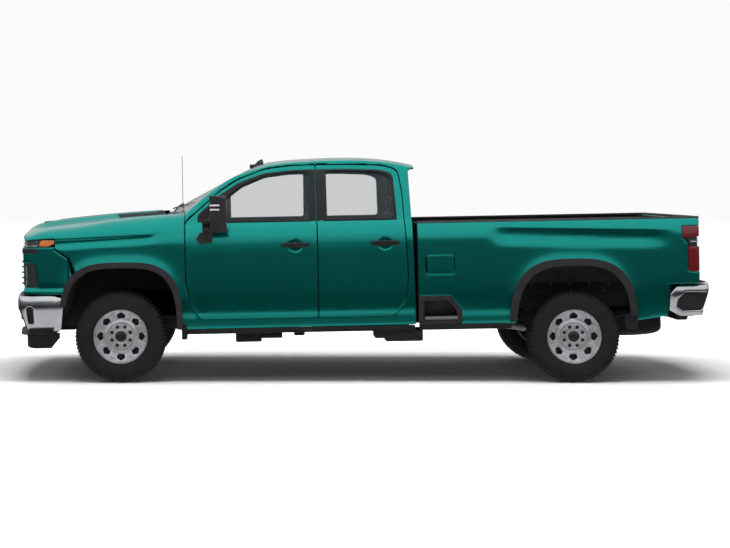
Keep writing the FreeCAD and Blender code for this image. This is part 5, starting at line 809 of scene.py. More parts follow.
class Finish:
    """A material under way: its shader and the patterns that drive it, sized in mm."""

    def __init__(self, name, values):
        self.material = bpy.data.materials.new(name)
        self.material.use_nodes = True
        self.tree = self.material.node_tree
        self.tree.nodes.clear()
        self.shader = add(self.tree, "ShaderNodeBsdfPrincipled", values)
        add(self.tree, "ShaderNodeOutputMaterial", {"Surface": self.shader.outputs["BSDF"]})
        self.spot = add(self.tree, "ShaderNodeTexCoord").outputs["Object"]

    def noise(self, size_mm, detail=2.0, roughness=0.5):
        return add(self.tree, "ShaderNodeTexNoise", {
            "Vector": self.spot, "Scale": 1000.0 / size_mm, "Detail": detail,
            "Roughness": roughness}).outputs["Fac"]

    def cells(self, size_mm):
        return add(self.tree, "ShaderNodeTexVoronoi", {
            "Vector": self.spot, "Scale": 1000.0 / size_mm}).outputs

    def bands(self, size_mm, way):
        return add(self.tree, "ShaderNodeTexWave", {
            "Vector": self.spot, "Scale": 500.0 / size_mm}, bands_direction=way).outputs["Fac"]

    def tones(self, factor, first, second, low=0.35, high=0.65):
        """Base colour that runs between two tones as a pattern goes from low to high."""
        ramp = add(self.tree, "ShaderNodeValToRGB", {"Fac": factor})
        start, end = ramp.color_ramp.elements
        start.position = low
        start.color = linear(first)
        end.position = high
        end.color = linear(second)
        self.tree.links.new(ramp.outputs["Color"], self.shader.inputs["Base Color"])

    def roughness(self, factor, low, high):
        spread = add(self.tree, "ShaderNodeMapRange", {
            "Value": factor, "To Min": low, "To Max": high})
        self.tree.links.new(spread.outputs["Result"], self.shader.inputs["Roughness"])

    def relief(self, height, distance, strength):
        bump = add(self.tree, "ShaderNodeBump", {
            "Height": height, "Distance": distance, "Strength": strength})
        self.tree.links.new(bump.outputs["Normal"], self.shader.inputs["Normal"])


def metallic_paint():
    """Two-stage metallic paint: fine flake under clear lacquer, so it shines deep teal."""
    finish = Finish("metallic_teal_lacquer", {
        "Metallic": 0.96, "Coat Weight": 0.4, "Coat Roughness": 0.04})
    finish.tones(finish.cells(2.5)["Color"], "#07938a", "#09a59a", 0.2, 0.8)
    finish.roughness(finish.noise(260.0, 3.0), 0.17, 0.22)
    return finish.material


def grained_plastic(name, first, second, roughness, grain_mm=7.0):
    """Polypropylene moulded with a leather-like grain: dull, dark and slightly dusty."""
    finish = Finish(name, {"IOR": 1.49, "Specular IOR Level": 0.28})
    dust = finish.noise(90.0, 5.0)
    finish.tones(dust, first, second)
    finish.roughness(dust, roughness - 0.06, roughness + 0.08)
    finish.relief(finish.cells(grain_mm)["Distance"], 0.0006, 0.5)
    return finish.material


def gloss_plastic(name, code):
    """Gloss-moulded ABS: black with faint polishing waves."""
    finish = Finish(name, {"IOR": 1.53})
    wave = finish.noise(60.0)
    finish.tones(wave, code, "#1b1c1e")
    finish.roughness(wave, 0.16, 0.24)
    return finish.material


def plated_steel():
    """Chrome-plated pressed steel: mirror bright, a little softer where it is wiped."""
    finish = Finish("chrome_plated_steel", {"Metallic": 1.0})
    wipe = finish.noise(220.0, 6.0)
    finish.tones(wipe, "#c9ccd0", "#dcdfe2")
    finish.roughness(wipe, 0.14, 0.22)
    return finish.material


def polished_alloy():
    """Cast aluminium wheel, turned and polished: bright and a little cloudy."""
    finish = Finish("polished_cast_aluminium", {"Metallic": 0.75})
    cloud = finish.noise(45.0, 6.0)
    finish.tones(cloud, "#b6b8bb", "#cfd1d3")
    finish.roughness(cloud, 0.3, 0.42)
    return finish.material


def rubber(name, first, second, roughness, grain_mm):
    """Carbon-black tyre rubber: matt, greyed by dust in its low places."""
    finish = Finish(name, {"IOR": 1.52, "Specular IOR Level": 0.3})
    dust = finish.noise(55.0, 6.0, 0.65)
    finish.tones(dust, first, second)
    finish.roughness(dust, roughness - 0.08, roughness + 0.08)
    finish.relief(finish.noise(grain_mm), 0.0005, 0.6)
    return finish.material


def window_glass(name, code, alpha):
    """Float or moulded clear sheet: thin, mirror smooth, with a light tint."""
    finish = Finish(name, {"IOR": 1.5, "Alpha": alpha, "Specular IOR Level": 0.8})
    film = finish.noise(300.0)
    finish.tones(film, code, code)
    finish.roughness(film, 0.02, 0.04)
    return finish.material


def lens_plastic(name, first, second):
    """Coloured polycarbonate lamp lens: clear gloss over fine optic ribs."""
    finish = Finish(name, {
        "IOR": 1.58, "Coat Weight": 0.6, "Coat Roughness": 0.03, "Roughness": 0.12,
        "Subsurface Weight": 0.15})
    ribs = finish.bands(9.0, "Z")
    finish.tones(ribs, first, second, 0.1, 0.9)
    finish.relief(ribs, 0.0004, 0.5)
    return finish.material


def bright_reflector():
    """Vapour-metallised reflector behind a lamp lens."""
    finish = Finish("metallised_reflector", {"Metallic": 1.0})
    facet = finish.cells(16.0)
    finish.tones(facet["Color"], "#b9bdc1", "#e4e7ea", 0.2, 0.8)
    finish.roughness(facet["Distance"], 0.08, 0.22)
    finish.relief(facet["Distance"], 0.001, 0.5)
    return finish.material


def coated_steel(name, first, second, roughness=0.55, patch_mm=70.0):
    """Dip-painted or wax-coated chassis steel: black, patchy and a little dusty."""
    finish = Finish(name, {"Metallic": 0.15})
    patch = finish.noise(patch_mm, 7.0, 0.6)
    finish.tones(patch, first, second)
    finish.roughness(patch, roughness - 0.12, roughness + 0.12)
    finish.relief(patch, 0.0004, 0.4)
    return finish.material


def bare_metal(name, first, second, metallic, roughness, grain_mm):
    """Cast or rolled metal left as it came: grey with the pits of its mould or mill."""
    finish = Finish(name, {"Metallic": metallic})
    pits = finish.noise(grain_mm, 8.0, 0.7)
    finish.tones(pits, first, second)
    finish.roughness(pits, roughness - 0.1, roughness + 0.12)
    finish.relief(pits, 0.0006, 0.5)
    return finish.material


def woven_cloth(name, first, second, thread_mm=6.0):
    """Flat-woven polyester: crossed threads, drawn coarser than the real 1 mm to show."""
    finish = Finish(name, {
        "Roughness": 0.9, "Sheen Weight": 0.25, "Sheen Roughness": 0.5})
    weave = add(finish.tree, "ShaderNodeMath", {
        0: finish.bands(thread_mm, "Y"), 1: finish.bands(thread_mm, "Z")},
        operation="MULTIPLY").outputs["Value"]
    finish.tones(weave, first, second, 0.0, 0.7)
    finish.relief(weave, 0.0008, 0.6)
    return finish.material


def studio_floor():
    """Pale matt studio paper with painted light: it glows from within, more strongly the farther it lies
    from the truck, so the floor looks white everywhere except in the shadow close round the truck.
    """
    finish = Finish("studio_paper_painted_glow", {"Roughness": 0.9})
    finish.tones(finish.noise(833.0, 3.0), "#ececec", "#f0f0f0")
    reach = add(finish.tree, "ShaderNodeVectorMath", {
        0: finish.spot, 1: (0.3, 0.72, 1.0)}, operation="MULTIPLY").outputs["Vector"]
    away = add(finish.tree, "ShaderNodeVectorMath", {0: reach}, operation="LENGTH")
    # Painted light: emission that rises from none near the truck to full strength farther out, an
    # elliptical glow that keeps the floor white beyond the truck's shadow.
    painted_glow = add(finish.tree, "ShaderNodeMapRange", {
        "Value": away.outputs["Value"], "From Min": 0.95, "From Max": 2.1, "To Max": 0.9},
        interpolation_type="SMOOTHSTEP")
    finish.shader.inputs["Emission Color"].default_value = linear("#fbfbfb")
    finish.tree.links.new(painted_glow.outputs["Result"], finish.shader.inputs["Emission Strength"])
    return finish.material


PAINT = metallic_paint()
FLARE_PLASTIC = grained_plastic("grained_polypropylene", "#201f21", "#292729", 0.62)
TRIM_PLASTIC = grained_plastic("satin_polypropylene", "#161617", "#1e1d1f", 0.5, 4.0)
GLOSS_BLACK = gloss_plastic("gloss_black_abs", "#1e1f22")
CHROME = plated_steel()
ALLOY = polished_alloy()
TREAD_RUBBER = rubber("tread_rubber", "#111213", "#1c1d1f", 0.75, 5.0)
WALL_RUBBER = rubber("sidewall_rubber", "#101112", "#18191b", 0.58, 3.0)
SEAL_RUBBER = rubber("extruded_seal_rubber", "#0c0c0d", "#151516", 0.6, 8.0)
SIDE_GLASS = window_glass("tempered_side_glass", "#4a5256", 0.13)
SCREEN_GLASS = window_glass("laminated_screen_glass", "#20282a", 0.3)
CLEAR_LENS = window_glass("clear_polycarbonate", "#5a6064", 0.1)
CLEAR_MARKER = lens_plastic("clear_marker_polycarbonate", "#9a9da0", "#d5d8da")
RED_LENS = lens_plastic("red_polycarbonate", "#340106", "#6c0310")
AMBER_LENS = lens_plastic("amber_polycarbonate", "#c2560c", "#e07a1a")
REFLECTOR = bright_reflector()
CHASSIS_STEEL = coated_steel("wax_coated_steel", "#121314", "#1f2022")
DARK_LINING = coated_steel("pressed_felt_liner", "#0e0e0f", "#171718", 0.85, 30.0)
CAST_IRON = bare_metal("sand_cast_iron", "#3b3b3c", "#55534f", 0.6, 0.6, 18.0)
CAST_ALLOY = bare_metal("sand_cast_aluminium", "#75777a", "#909295", 0.8, 0.5, 14.0)
ROLLED_STEEL = bare_metal("drawn_steel_tube", "#6d6a66", "#8a8782", 0.9, 0.42, 40.0)
SEAT_CLOTH = woven_cloth("woven_polyester", "#2b2c2e", "#3a3b3e")
LINING_CLOTH = woven_cloth("knitted_headlining", "#8f8e8a", "#a3a19c", 8.0)
BED_LINER = grained_plastic("sprayed_polyurethane_liner", "#1b1b1c", "#252526", 0.75, 9.0)
FLOOR_PAPER_PAINTED_GLOW = studio_floor()


# Painted panels of the cab, front and bed

def near_side(x, y, z, limit=3.0):
    """True for a corner of a CAD face that lies on the body side's outer surface."""
    return side_width(x, z) - abs(y) < limit


def groove(distance, width, depth):
    """Depth of a soft pressed groove at a distance from its middle."""
    share = min(abs(distance) / (width / 2), 1.0)
    return depth * (1.0 - share**2) ** 2


SILL_CREASE_Z = 598.0
BELT_SHADOW_Z = 1262.0


def sill_relief(z):
    return 6.0 * smooth((SILL_CREASE_Z + 22.0 - z) / 44.0)


def side_relief(z):
    """Depth of the long creases that are pressed into the body side."""
    return sill_relief(z) + 3.0 * math.exp(-(((z - BELT_SHADOW_Z) / 60.0) ** 2))


def side_point(x, z):
    return Vector((x, side_width(x, z), z))


FENDER_ARC = 175.0


def fender_spot(x, s):
    """Fender surface: s is the height, then the way over the roll to the hood."""
    roll_z = curve_through(FENDER_ROLL_LINE, x)
    if s <= roll_z:
        return Vector((x, side_width(x, s), s))
    y, z = fender_point(x, 1.0 + (s - roll_z) / FENDER_ARC / (math.pi / 2))
    return Vector((x, y, z))


def fender_edge(x, y):
    """How far up the fender's surface its top reaches a half width."""
    roll_z = curve_through(FENDER_ROLL_LINE, x)
    wide = side_width(x, roll_z)
    inner = HOOD_HALF_WIDTH - 30.0
    share = min(max((y - inner) / (wide - inner), -1.0), 1.0)
    return roll_z + FENDER_ARC * math.acos(share)


LAMP_BACK_X = -590.0
LAMP_LOW_Z = 1243.0
LAMP_HIGH_Z = 1318.0
BAND_END_X = 370.0
CHANNEL_FRONT_Z = 1312.0
CHANNEL_RISE = 28.0


def fender_relief(x, s):
    """The pressed channel that runs back from the headlamp and fades out."""
    if x > BAND_END_X + 30.0:
        return 0.0
    share = min(max((x - LAMP_BACK_X) / (BAND_END_X - LAMP_BACK_X), 0.0), 1.0)
    top = CHANNEL_FRONT_Z + CHANNEL_RISE * share
    low = top - 92.0 + 22.0 * share
    drop = min(max((top - s) / 42.0, 0.0), 1.0)
    inside = (1.0 - (1.0 - drop) ** 1.6) * smooth((s - low) / 46.0)
    fade = 1.0 - smooth((x - BAND_END_X + 160.0) / 190.0)
    return 15.0 * inside * fade


def fender_outline():
    top = [(x, fender_edge(x, HOOD_HALF_WIDTH + PANEL_GAP)) for x in steps(597.0, -868.0, 40)]
    low = rounded([
        (LAMP_BACK_X + 6.0, LAMP_HIGH_Z + 5.0, 8.0), (LAMP_BACK_X + 6.0, LAMP_LOW_Z - 12.0, 8.0),
        (-452.0, 1142.0, 10.0), (-360.0, 900.0, 0.0), (300.0, 620.0, 0.0),
        (300.0, SILL_BOTTOM_Z, 0.0), (560.0, SILL_BOTTOM_Z, 0.0),
        (560.0, DOOR_BOTTOM_Z - 4.0, 0.0), (722.0 - PANEL_GAP, DOOR_BOTTOM_Z - 4.0, 6.0),
        (650.0 - PANEL_GAP, 700.0, 120.0), (DOOR_FRONT_X - PANEL_GAP, 900.0, 300.0),
        (DOOR_FRONT_X - PANEL_GAP, 1500.0, 0.0), (-868.0, 1500.0, 0.0)])
    low = low[:-2]
    return top + [(-868.0, LAMP_HIGH_Z + 5.0)] + low


FRONT_DOOR_OUTLINE = [
    (730.0, DOOR_BOTTOM_Z, 60.0), (650.0, 700.0, 160.0), (DOOR_FRONT_X, 900.0, 300.0),
    (DOOR_FRONT_X, 1440.0, 60.0), (700.0, 1524.0, 60.0), (922.0, 1717.0, 260.0),
    (1087.0, 1821.0, 400.0), (1333.0, 1915.0, 500.0), (1581.0, 1943.0, 900.0),
    (DOOR_SPLIT_X - PANEL_GAP / 2, 1947.0, 14.0),
    (DOOR_SPLIT_X - PANEL_GAP / 2, DOOR_BOTTOM_Z, 30.0)]
REAR_DOOR_OUTLINE = [
    (DOOR_SPLIT_X + PANEL_GAP / 2, DOOR_BOTTOM_Z, 30.0),
    (DOOR_SPLIT_X + PANEL_GAP / 2, 1947.0, 14.0), (2100.0, 1944.0, 900.0),
    (2408.0, 1932.0, 500.0), (2560.0, 1890.0, 90.0), (2590.0, 1671.0, 200.0),
    (2603.0, 1345.0, 300.0), (2624.0, 900.0, 300.0), (2600.0, 700.0, 160.0),
    (2500.0, DOOR_BOTTOM_Z + 6.0, 80.0)]
FRONT_WINDOW = [
    (800.0, 1446.0, 24.0), (818.0, 1536.0, 30.0), (1108.0, 1762.0, 200.0),
    (1346.0, 1860.0, 300.0), (1590.0, 1888.0, 500.0), (1742.0, 1890.0, 20.0),
    (1742.0, 1446.0, 20.0)]
REAR_WINDOW = [
    (1902.0, 1446.0, 20.0), (1902.0, 1890.0, 20.0), (2120.0, 1888.0, 500.0),
    (2390.0, 1874.0, 300.0), (2488.0, 1836.0, 60.0), (2508.0, 1446.0, 30.0)]
FRONT_BLACK_FRAME = [
    (716.0, 1430.0, 30.0), (716.0, 1506.0, 60.0), (922.0, 1688.0, 260.0),
    (1095.0, 1797.0, 300.0), (1338.0, 1882.0, 400.0), (1581.0, 1905.0, 700.0),
    (DOOR_SPLIT_X - PANEL_GAP / 2 - 1.0, 1908.0, 4.0),
    (DOOR_SPLIT_X - PANEL_GAP / 2 - 1.0, 1430.0, 4.0)]
REAR_BLACK_FRAME = [
    (DOOR_SPLIT_X + PANEL_GAP / 2 + 1.0, 1430.0, 4.0),
    (DOOR_SPLIT_X + PANEL_GAP / 2 + 1.0, 1908.0, 4.0), (2110.0, 1906.0, 700.0),
    (2398.0, 1894.0, 300.0), (2516.0, 1858.0, 60.0), (2540.0, 1430.0, 20.0)]
DOORS = (
    ("front_door", FRONT_DOOR_OUTLINE, FRONT_WINDOW, FRONT_BLACK_FRAME),
    ("rear_door", REAR_DOOR_OUTLINE, REAR_WINDOW, REAR_BLACK_FRAME))
SILL_LINES = [
    [(x, SILL_CREASE_Z + offset) for x in steps(640.0, 2620.0, 90)]
    for offset in (-22.0, -8.0, 8.0, 22.0)]


def add_doors():
    for door, outline, window, frame_outline in DOORS:
        grip = [(x, z) for name, x, z in HANDLES if name == door][0]
        for side, sign in SIDES:
            node = f"{door}_{side}"
            shape = Outline(rounded(outline))
            glass_hole = Outline(rounded(window))
            panel(
                node + "_skin", node, PAINT, side_point, shape, holes=[glass_hole],
                hole_flange=40.0, flange=12.0, sign=sign, lines=SILL_LINES + bowl_lines(grip),
                sunk=lambda x, z: side_relief(z) + bowl_relief(x, z, grip))
            core = dress(node, PAINT, "paint", body=node, drop=near_side)
            core.data.materials.append(TRIM_PLASTIC)
            for polygon in core.data.polygons:
                if polygon.normal.y * sign < -0.4:
                    polygon.material_index = 1
            black = Outline(rounded(frame_outline))
            panel(
                node + "_black_frame", node, TRIM_PLASTIC, side_point, black,
                slot="dark_trim", holes=[glass_hole], roll=2.5, flange=2.0,
                hole_flange=6.0, proud=2.6, sign=sign)
            add_belt_seal(node, window, sign)


def add_belt_seal(node, window, sign):
    """Rubber wiper along the bottom of a side window."""
    x0 = min(point[0] for point in window) - 40.0
    x1 = max(point[0] for point in window) + 26.0
    points = [
        place(x, sign * (side_width(x, 1437.0) + 3.2), 1437.0) for x in steps(x0, x1, 24)]
    tube(node + "_belt_seal", points, 0.0075, node, SEAL_RUBBER, "dark_trim", sides=8)


def ring_y(z):
    """Half width of the inner edge of the pillars and roof rails."""
    slope = (ROOF_HALF_WIDTH - BELT_HALF_WIDTH + BELT_LEDGE) / (GLASS_TOP_Z - BELT_Z)
    return BELT_HALF_WIDTH - BELT_LEDGE - 106.0 + slope * (z - BELT_Z)


def cab_section(x):
    """The cab's outline seen along the truck: up its side and over to its middle."""
    points = []
    z = SILL_BOTTOM_Z
    while z < 2060.0:
        y = side_width(x, z)
        if z >= top_z(x, y):
            break
        points.append(Vector((y, z)))
        z += 9.0
    corner = len(points)
    y = points[-1].x - 4.0
    while y > 0.0:
        points.append(Vector((y, top_z(x, y))))
        y -= 9.0
    points.append(Vector((0.0, top_z(x, 0.0))))
    return Way(evened(points, corner - 7, corner + 7, 3), SILL_BOTTOM_Z)


CAB = Wrap(12.0, cab_section)


def cab_spot(x, s):
    """Cab surface at a station, s up its side from the sill and over the roof."""
    spot = CAB.at(x, s)
    return Vector((x, spot.x, spot.y))


def height_way(x, z):
    return CAB.reach(x, lambda point: point.y >= z)


def cab_back_x(z):
    return CAB_BACK_X - CAB_BACK_LEAN * (z - 700.0) / 1200.0


def add_cab_sides():
    """Sill, pillars and roof rail, in one pressing round the two doors."""
    inner_top = [
        (x, CAB.reach(x, lambda point: point.y > 1440.0 and point.x <= ring_y(point.y) + 3.0))
        for x in steps(2716.0, 601.0, 90)]
    back = [(cab_back_x(z) - 1.0, height_way(2676.0, z)) for z in steps(470.0, 1880.0, 30)]
    outline = [(566.0, SILL_BOTTOM_Z + 1.0)] + back
    outline += [(2716.0, height_way(2712.0, 1908.0))] + inner_top
    outline += [(601.0, height_way(612.0, 1450.0)), (566.0, height_way(564.0, 558.0))]
    shape = Outline(outline)
    holes = []
    for _, door_outline, _, _ in DOORS:
        grown = Outline(rounded(door_outline)).grown(PANEL_GAP - 1.0)
        holes.append(Outline([(x, height_way(x, z)) for x, z in grown]))
    for side, sign in SIDES:
        panel(
            f"cab_side_skin_{side}", "body", PAINT, cab_spot, shape, holes=holes,
            hole_flange=16.0, flange=14.0, sign=sign,
            sunk=lambda x, s: sill_relief(s))
    dress("cab_sides", PAINT, "paint", drop=near_cab_skin)


def near_cab_skin(x, y, z):
    return (z > 1450.0 and top_z(x, y) - z < 12.0) or near_side(x, y, z)


def roof_point(x, y):
    return Vector((x, y, top_z(x, y)))


def roof_relief(x, y):
    """Four wide shallow grooves pressed along the roof."""
    along = smooth((x - 1330.0) / 160.0) * smooth((2620.0 - x) / 160.0)
    depth = 0.0
    for middle in (-390.0, -130.0, 130.0, 390.0):
        depth += groove(y - middle, 70.0, 4.0)
    return depth * along


def add_roof():
    edge = ring_y(1960.0) - 4.0
    front = [(header_x(y) + 2.0, y) for y in steps(-edge, edge, 30)]
    shape = Outline(front + [(2724.0, edge), (2724.0, -edge)])
    panel(
        "roof_skin", "body", PAINT, roof_point, shape, sunk=roof_relief, flange=16.0,
        outward=UP)
    dress("cab_roof", LINING_CLOTH, "dark_trim", drop=lambda x, y, z: top_z(x, y) - z < 3.0)
    for side, sign in SIDES:
        points = [
            place(x, sign * (edge + 2.0), top_z(x, edge) - 3.0)
            for x in steps(1130.0, 2700.0, 40)]
        tube(f"roof_ditch_seal_{side}", points, 0.005, "body", SEAL_RUBBER, "dark_trim")


def hood_point(x, y):
    return Vector((x, y, hood_z(x, y)))


SCOOP = [(-787.0, -250.0, 30.0), (-636.0, -262.0, 20.0), (-636.0, 262.0, 20.0),
         (-787.0, 250.0, 30.0)]
HOOD_VENT = [(-113.0, 388.0, 30.0), (392.0, 396.0, 16.0), (392.0, 476.0, 20.0),
             (10.0, 470.0, 60.0)]


def add_hood():
    edge = HOOD_HALF_WIDTH - 1.0
    front = [(nose_x(y) + 7.0, y) for y in steps(-edge, edge, 40)]
    rear = [
        (HOOD_REAR_X + HOOD_REAR_SWEEP * (y / HOOD_HALF_WIDTH) ** 2 - 1.0, y)
        for y in steps(edge, -edge, 40)]
    shape = Outline(front + rear)
    vents = [Outline(rounded(HOOD_VENT))]
    vents.append(Outline([(x, -y) for x, y in rounded(HOOD_VENT)]))
    scoop = Outline(rounded(SCOOP))
    panel(
        "hood_skin", "hood", PAINT, hood_point, shape, holes=vents + [scoop], roll=7.0,
        flange=18.0, hole_flange=14.0, outward=UP)
    dress(
        "hood", PAINT, "paint", body="hood",
        drop=lambda x, y, z: hood_z(x, y) - z < 3.0 and z > 1290.0)
    panel(
        "hood_scoop_insert", "hood", TRIM_PLASTIC, lambda x, y: hood_point(x, y) - UP * 9.0,
        Outline(scoop.grown(2.0)), slot="black_plastic", roll=1.0, flange=0.0, outward=UP)
    for side, vent in (("left", vents[1]), ("right", vents[0])):
        panel(
            f"hood_vent_insert_{side}", "hood", TRIM_PLASTIC,
            lambda x, y: hood_point(x, y) - UP * 8.0, Outline(vent.grown(2.0)),
            slot="black_plastic", roll=1.0, flange=0.0, outward=UP)


# The wrapped front corner: a path from the grille round to the wheel arch

CORNER_START_Y = 606.0
CORNER_END_X = -400.0


def corner_path(z):
    """Plan view of the nose corner at one height."""
    points = []
    y = CORNER_START_Y
    while nose_x(y) < -500.0 and y < side_width(nose_x(y), z):
        points.append(Vector((nose_x(y), y)))
        y += 8.0
    corner = len(points)
    x = points[-1].x + 4.0
    while x < CORNER_END_X:
        points.append(Vector((x, side_width(x, z))))
        x += 8.0
    return Way(evened(points, corner - 8, corner + 8, 10))


CORNER = Wrap(12.0, corner_path)


def corner_spot(s, z):
    spot = CORNER.at(z, s)
    return Vector((spot.x, spot.y, z))


def corner_s(x, z):
    """How far round the corner the side reaches a station."""
    return CORNER.reach(z, lambda point: point.x >= x and point.y > 700.0)


NOSE_BOTTOM_Z = 812.0
LOWER_LAMP_LOW_Z = 874.0
LOWER_LAMP_HIGH_Z = 1100.0
LOWER_LAMP_INNER_S = 96.0
AMBER_START_X = -735.0
FORWARD = Vector((-1.0, 0.4, 0.0))


def corner_panel(name, material, slot, shape, sign, **options):
    """A panel on the surface that wraps the nose corner."""
    panel(
        name, "body", material, corner_spot, shape, slot=slot, sign=sign, outward=FORWARD,
        **options)


def corner_normal(s, z):
    normal = surface_normal(corner_spot, s, z)
    return -normal if normal.dot(FORWARD) < 0.0 else normal


def corner_relief(z):
    return 5.0 * smooth((905.0 - z) / 40.0) - 9.0 * smooth((868.0 - z) / 30.0)


def add_front_corners():
    """Painted corner that wraps from the grille to the wheel opening."""
    high = LAMP_LOW_Z - 3.0
    rear = [
        (corner_s(LAMP_BACK_X - 2.0, high), high), (corner_s(-602.0, 1223.0), 1223.0),
        (corner_s(-475.0, 1134.0), 1134.0)]
    rear += [(corner_s(-478.0, z), z) for z in steps(1080.0, NOSE_BOTTOM_Z + 2.0, 8)]
    shape = Outline([(0.0, NOSE_BOTTOM_Z + 2.0), (0.0, high)] + rear)
    lamp = Outline(rounded([
        (LOWER_LAMP_INNER_S, LOWER_LAMP_LOW_Z, 16.0),
        (corner_s(-738.0, 900.0), LOWER_LAMP_LOW_Z, 30.0),
        (corner_s(-790.0, 1096.0), LOWER_LAMP_HIGH_Z, 16.0),
        (LOWER_LAMP_INNER_S, LOWER_LAMP_HIGH_Z, 16.0)]))
    for side, sign in SIDES:
        corner_panel(
            f"front_corner_skin_{side}", PAINT, "paint", shape, sign, holes=[lamp],
            hole_flange=30.0, flange=20.0, sunk=lambda s, z: corner_relief(z), cell=18.0)
        corner_panel(
            f"lower_lamp_lens_{side}", CLEAR_LENS, "head_lens", Outline(lamp.grown(-1.0)), sign,
            roll=6.0, flange=10.0, proud=-4.0, cell=16.0)
        add_lamp_inside(f"lower_lamp_{side}", sign, lamp, "tall")
    dress("front_corners", PAINT, "paint", drop=near_nose)


def near_nose(x, y, z):
    return x - nose_x(y) < 3.0 or near_side(x, y, z)


def add_lamp_inside(name, sign, shape, lay):
    """Dark bezel with bright reflector bowls behind a lamp's lens."""
    corner_panel(
        name + "_bezel", GLOSS_BLACK, "dark_trim", shape, sign, roll=1.0, flange=0.0,
        proud=-30.0, cell=20.0)
    low = np.array(shape.points).min(axis=0)
    high = np.array(shape.points).max(axis=0)
    parts = []
    if lay == "tall":
        middle = (low[0] + high[0]) / 2 - 14.0
        spots = [(middle, z, 27.0) for z in (low[1] + 44.0, (low[1] + high[1]) / 2, high[1] - 44.0)]
    else:
        spots = [(s, (low[1] + high[1]) / 2 + 2.0, 21.0) for s in steps(low[0] + 40.0, high[0] - 175.0, 3)]
    for s, z, radius in spots:
        normal = corner_normal(s, z)
        parts.append(bowl(corner_spot(s, z) - normal * 28.0, normal, radius, 20.0))
    body_piece(
        name + "_reflectors", on_side(parts, sign), "body", REFLECTOR, "chrome_plate", 60.0)


def bowl(centre, normal, radius, depth, rings=6, sides=24):
    """Open reflector bowl with a rolled lip and a bulb dome at its middle."""
    side = normal.cross(UP).normalized()
    other = normal.cross(side).normalized()
    profile = [(radius + 2.5, 0.0), (radius + 1.5, 2.5), (radius, 1.5)]
    profile += [
        (radius * math.cos(t), -depth * 0.5 * math.sin(t) * 1.2)
        for t in steps(0.1, math.pi / 2 * 0.82, rings)]
    profile += [(radius * 0.25, 1.0), (radius * 0.16, 5.0), (0.6, 6.5)]
    vertices = []
    faces = []
    for r, h in profile:
        for step in range(sides):
            angle = 2 * math.pi * step / sides
            vertices.append(
                centre + (side * math.cos(angle) + other * math.sin(angle)) * r + normal * h)
    for row in range(len(profile) - 1):
        for step in range(sides):
            a = row * sides + step
            b = row * sides + (step + 1) % sides
            faces.append([a, b, b + sides, a + sides])
    faces.append([(len(profile) - 1) * sides + step for step in range(sides)])
    return vertices, faces


def add_headlamps():
    """Slim upper lamps that wrap the corner, with an amber end."""
    start = 20.0
    end = corner_s(LAMP_BACK_X + 2.0, 1280.0)
    shape = Outline(rounded([
        (start, LAMP_LOW_Z + 1.0, 12.0), (end - 60.0, LAMP_LOW_Z + 1.0, 30.0),
        (end, LAMP_LOW_Z + 34.0, 16.0), (end - 8.0, LAMP_HIGH_Z - 3.0, 16.0),
        (start, LAMP_HIGH_Z - 3.0, 12.0)]))
    amber_s = corner_s(AMBER_START_X, 1280.0)
    amber = Outline(rounded([
        (amber_s, LAMP_LOW_Z + 8.0, 10.0), (end - 56.0, LAMP_LOW_Z + 8.0, 24.0),
        (end - 8.0, LAMP_LOW_Z + 38.0, 12.0), (end - 14.0, LAMP_HIGH_Z - 9.0, 12.0),
        (amber_s + 20.0, LAMP_HIGH_Z - 9.0, 12.0)]))
    for side, sign in SIDES:
        corner_panel(
            f"headlamp_lens_{side}", CLEAR_LENS, "head_lens", shape, sign, roll=6.0, flange=14.0,
            proud=-1.0, cell=16.0)
        corner_panel(
            f"turn_lamp_lens_{side}", AMBER_LENS, "tail_lens", amber, sign, roll=5.0, flange=8.0,
            proud=-8.0, cell=14.0)
        add_lamp_inside(f"headlamp_{side}", sign, shape, "long")
        strip = []
        for s in steps(start + 24.0, amber_s - 10.0, 16):
            z = LAMP_LOW_Z + 12.0
            spot = corner_spot(s, z) - corner_normal(s, z) * 14.0
            strip.append(place(spot.x, spot.y * sign, spot.z))
        tube(f"running_lamp_{side}", strip, 0.005, "body", REFLECTOR, "chrome_plate", sides=8)
    dress("headlamps", GLOSS_BLACK, "dark_trim", drop=near_lamp_skin)


def near_lamp_skin(x, y, z):
    return x - nose_x(y) < 40.0 or near_side(x, y, z, 36.0)


# Bed

BED_SIDE_BOTTOM_Z = 470.0
REAR_BUMPER_TOP_Z = 790.0
REAR_BUMPER_FRONT_X = 5000.0
TAIL_LAMP_INNER_Y = 820.0
FUEL_DOOR_X = (2795.0, 3043.0)
FUEL_DOOR_Z = (937.0, 1109.0)
STEP_REAR_X = 3108.0
STEP_HIGH_Z = 736.0
TAILGATE_REAR_X = 5278.0


def bed_limit(x):
    return 955.0 + (BED_REAR_X - x) * 145.0 / 60.0


def bed_path(z):
    """Plan view of the bed's side and rear corner at one height."""
    points = []
    x = BED_FRONT_X - 20.0
    while x < BED_REAR_X and side_width(x, z) < bed_limit(x):
        points.append(Vector((x, side_width(x, z))))
        x += 8.0
    first = len(points)
    while x < BED_REAR_X:
        points.append(Vector((x, bed_limit(x))))
        x += 3.0
    second = len(points)
    y = 951.0
    while y > 780.0:
        points.append(Vector((BED_REAR_X, y)))
        y -= 6.0
    return Way(evened(points, first - 6, second + 8, 12), points[0].x)


BED = Wrap(10.0, bed_path)


def bed_spot(s, z):
    spot = BED.at(z, s)
    return Vector((spot.x, spot.y, z))


def bed_s(y, z):
    """How far round the rear corner the path comes back to a half width."""
    return BED.reach(z, lambda point: point.x > BED_REAR_X - 30.0 and point.y <= y)


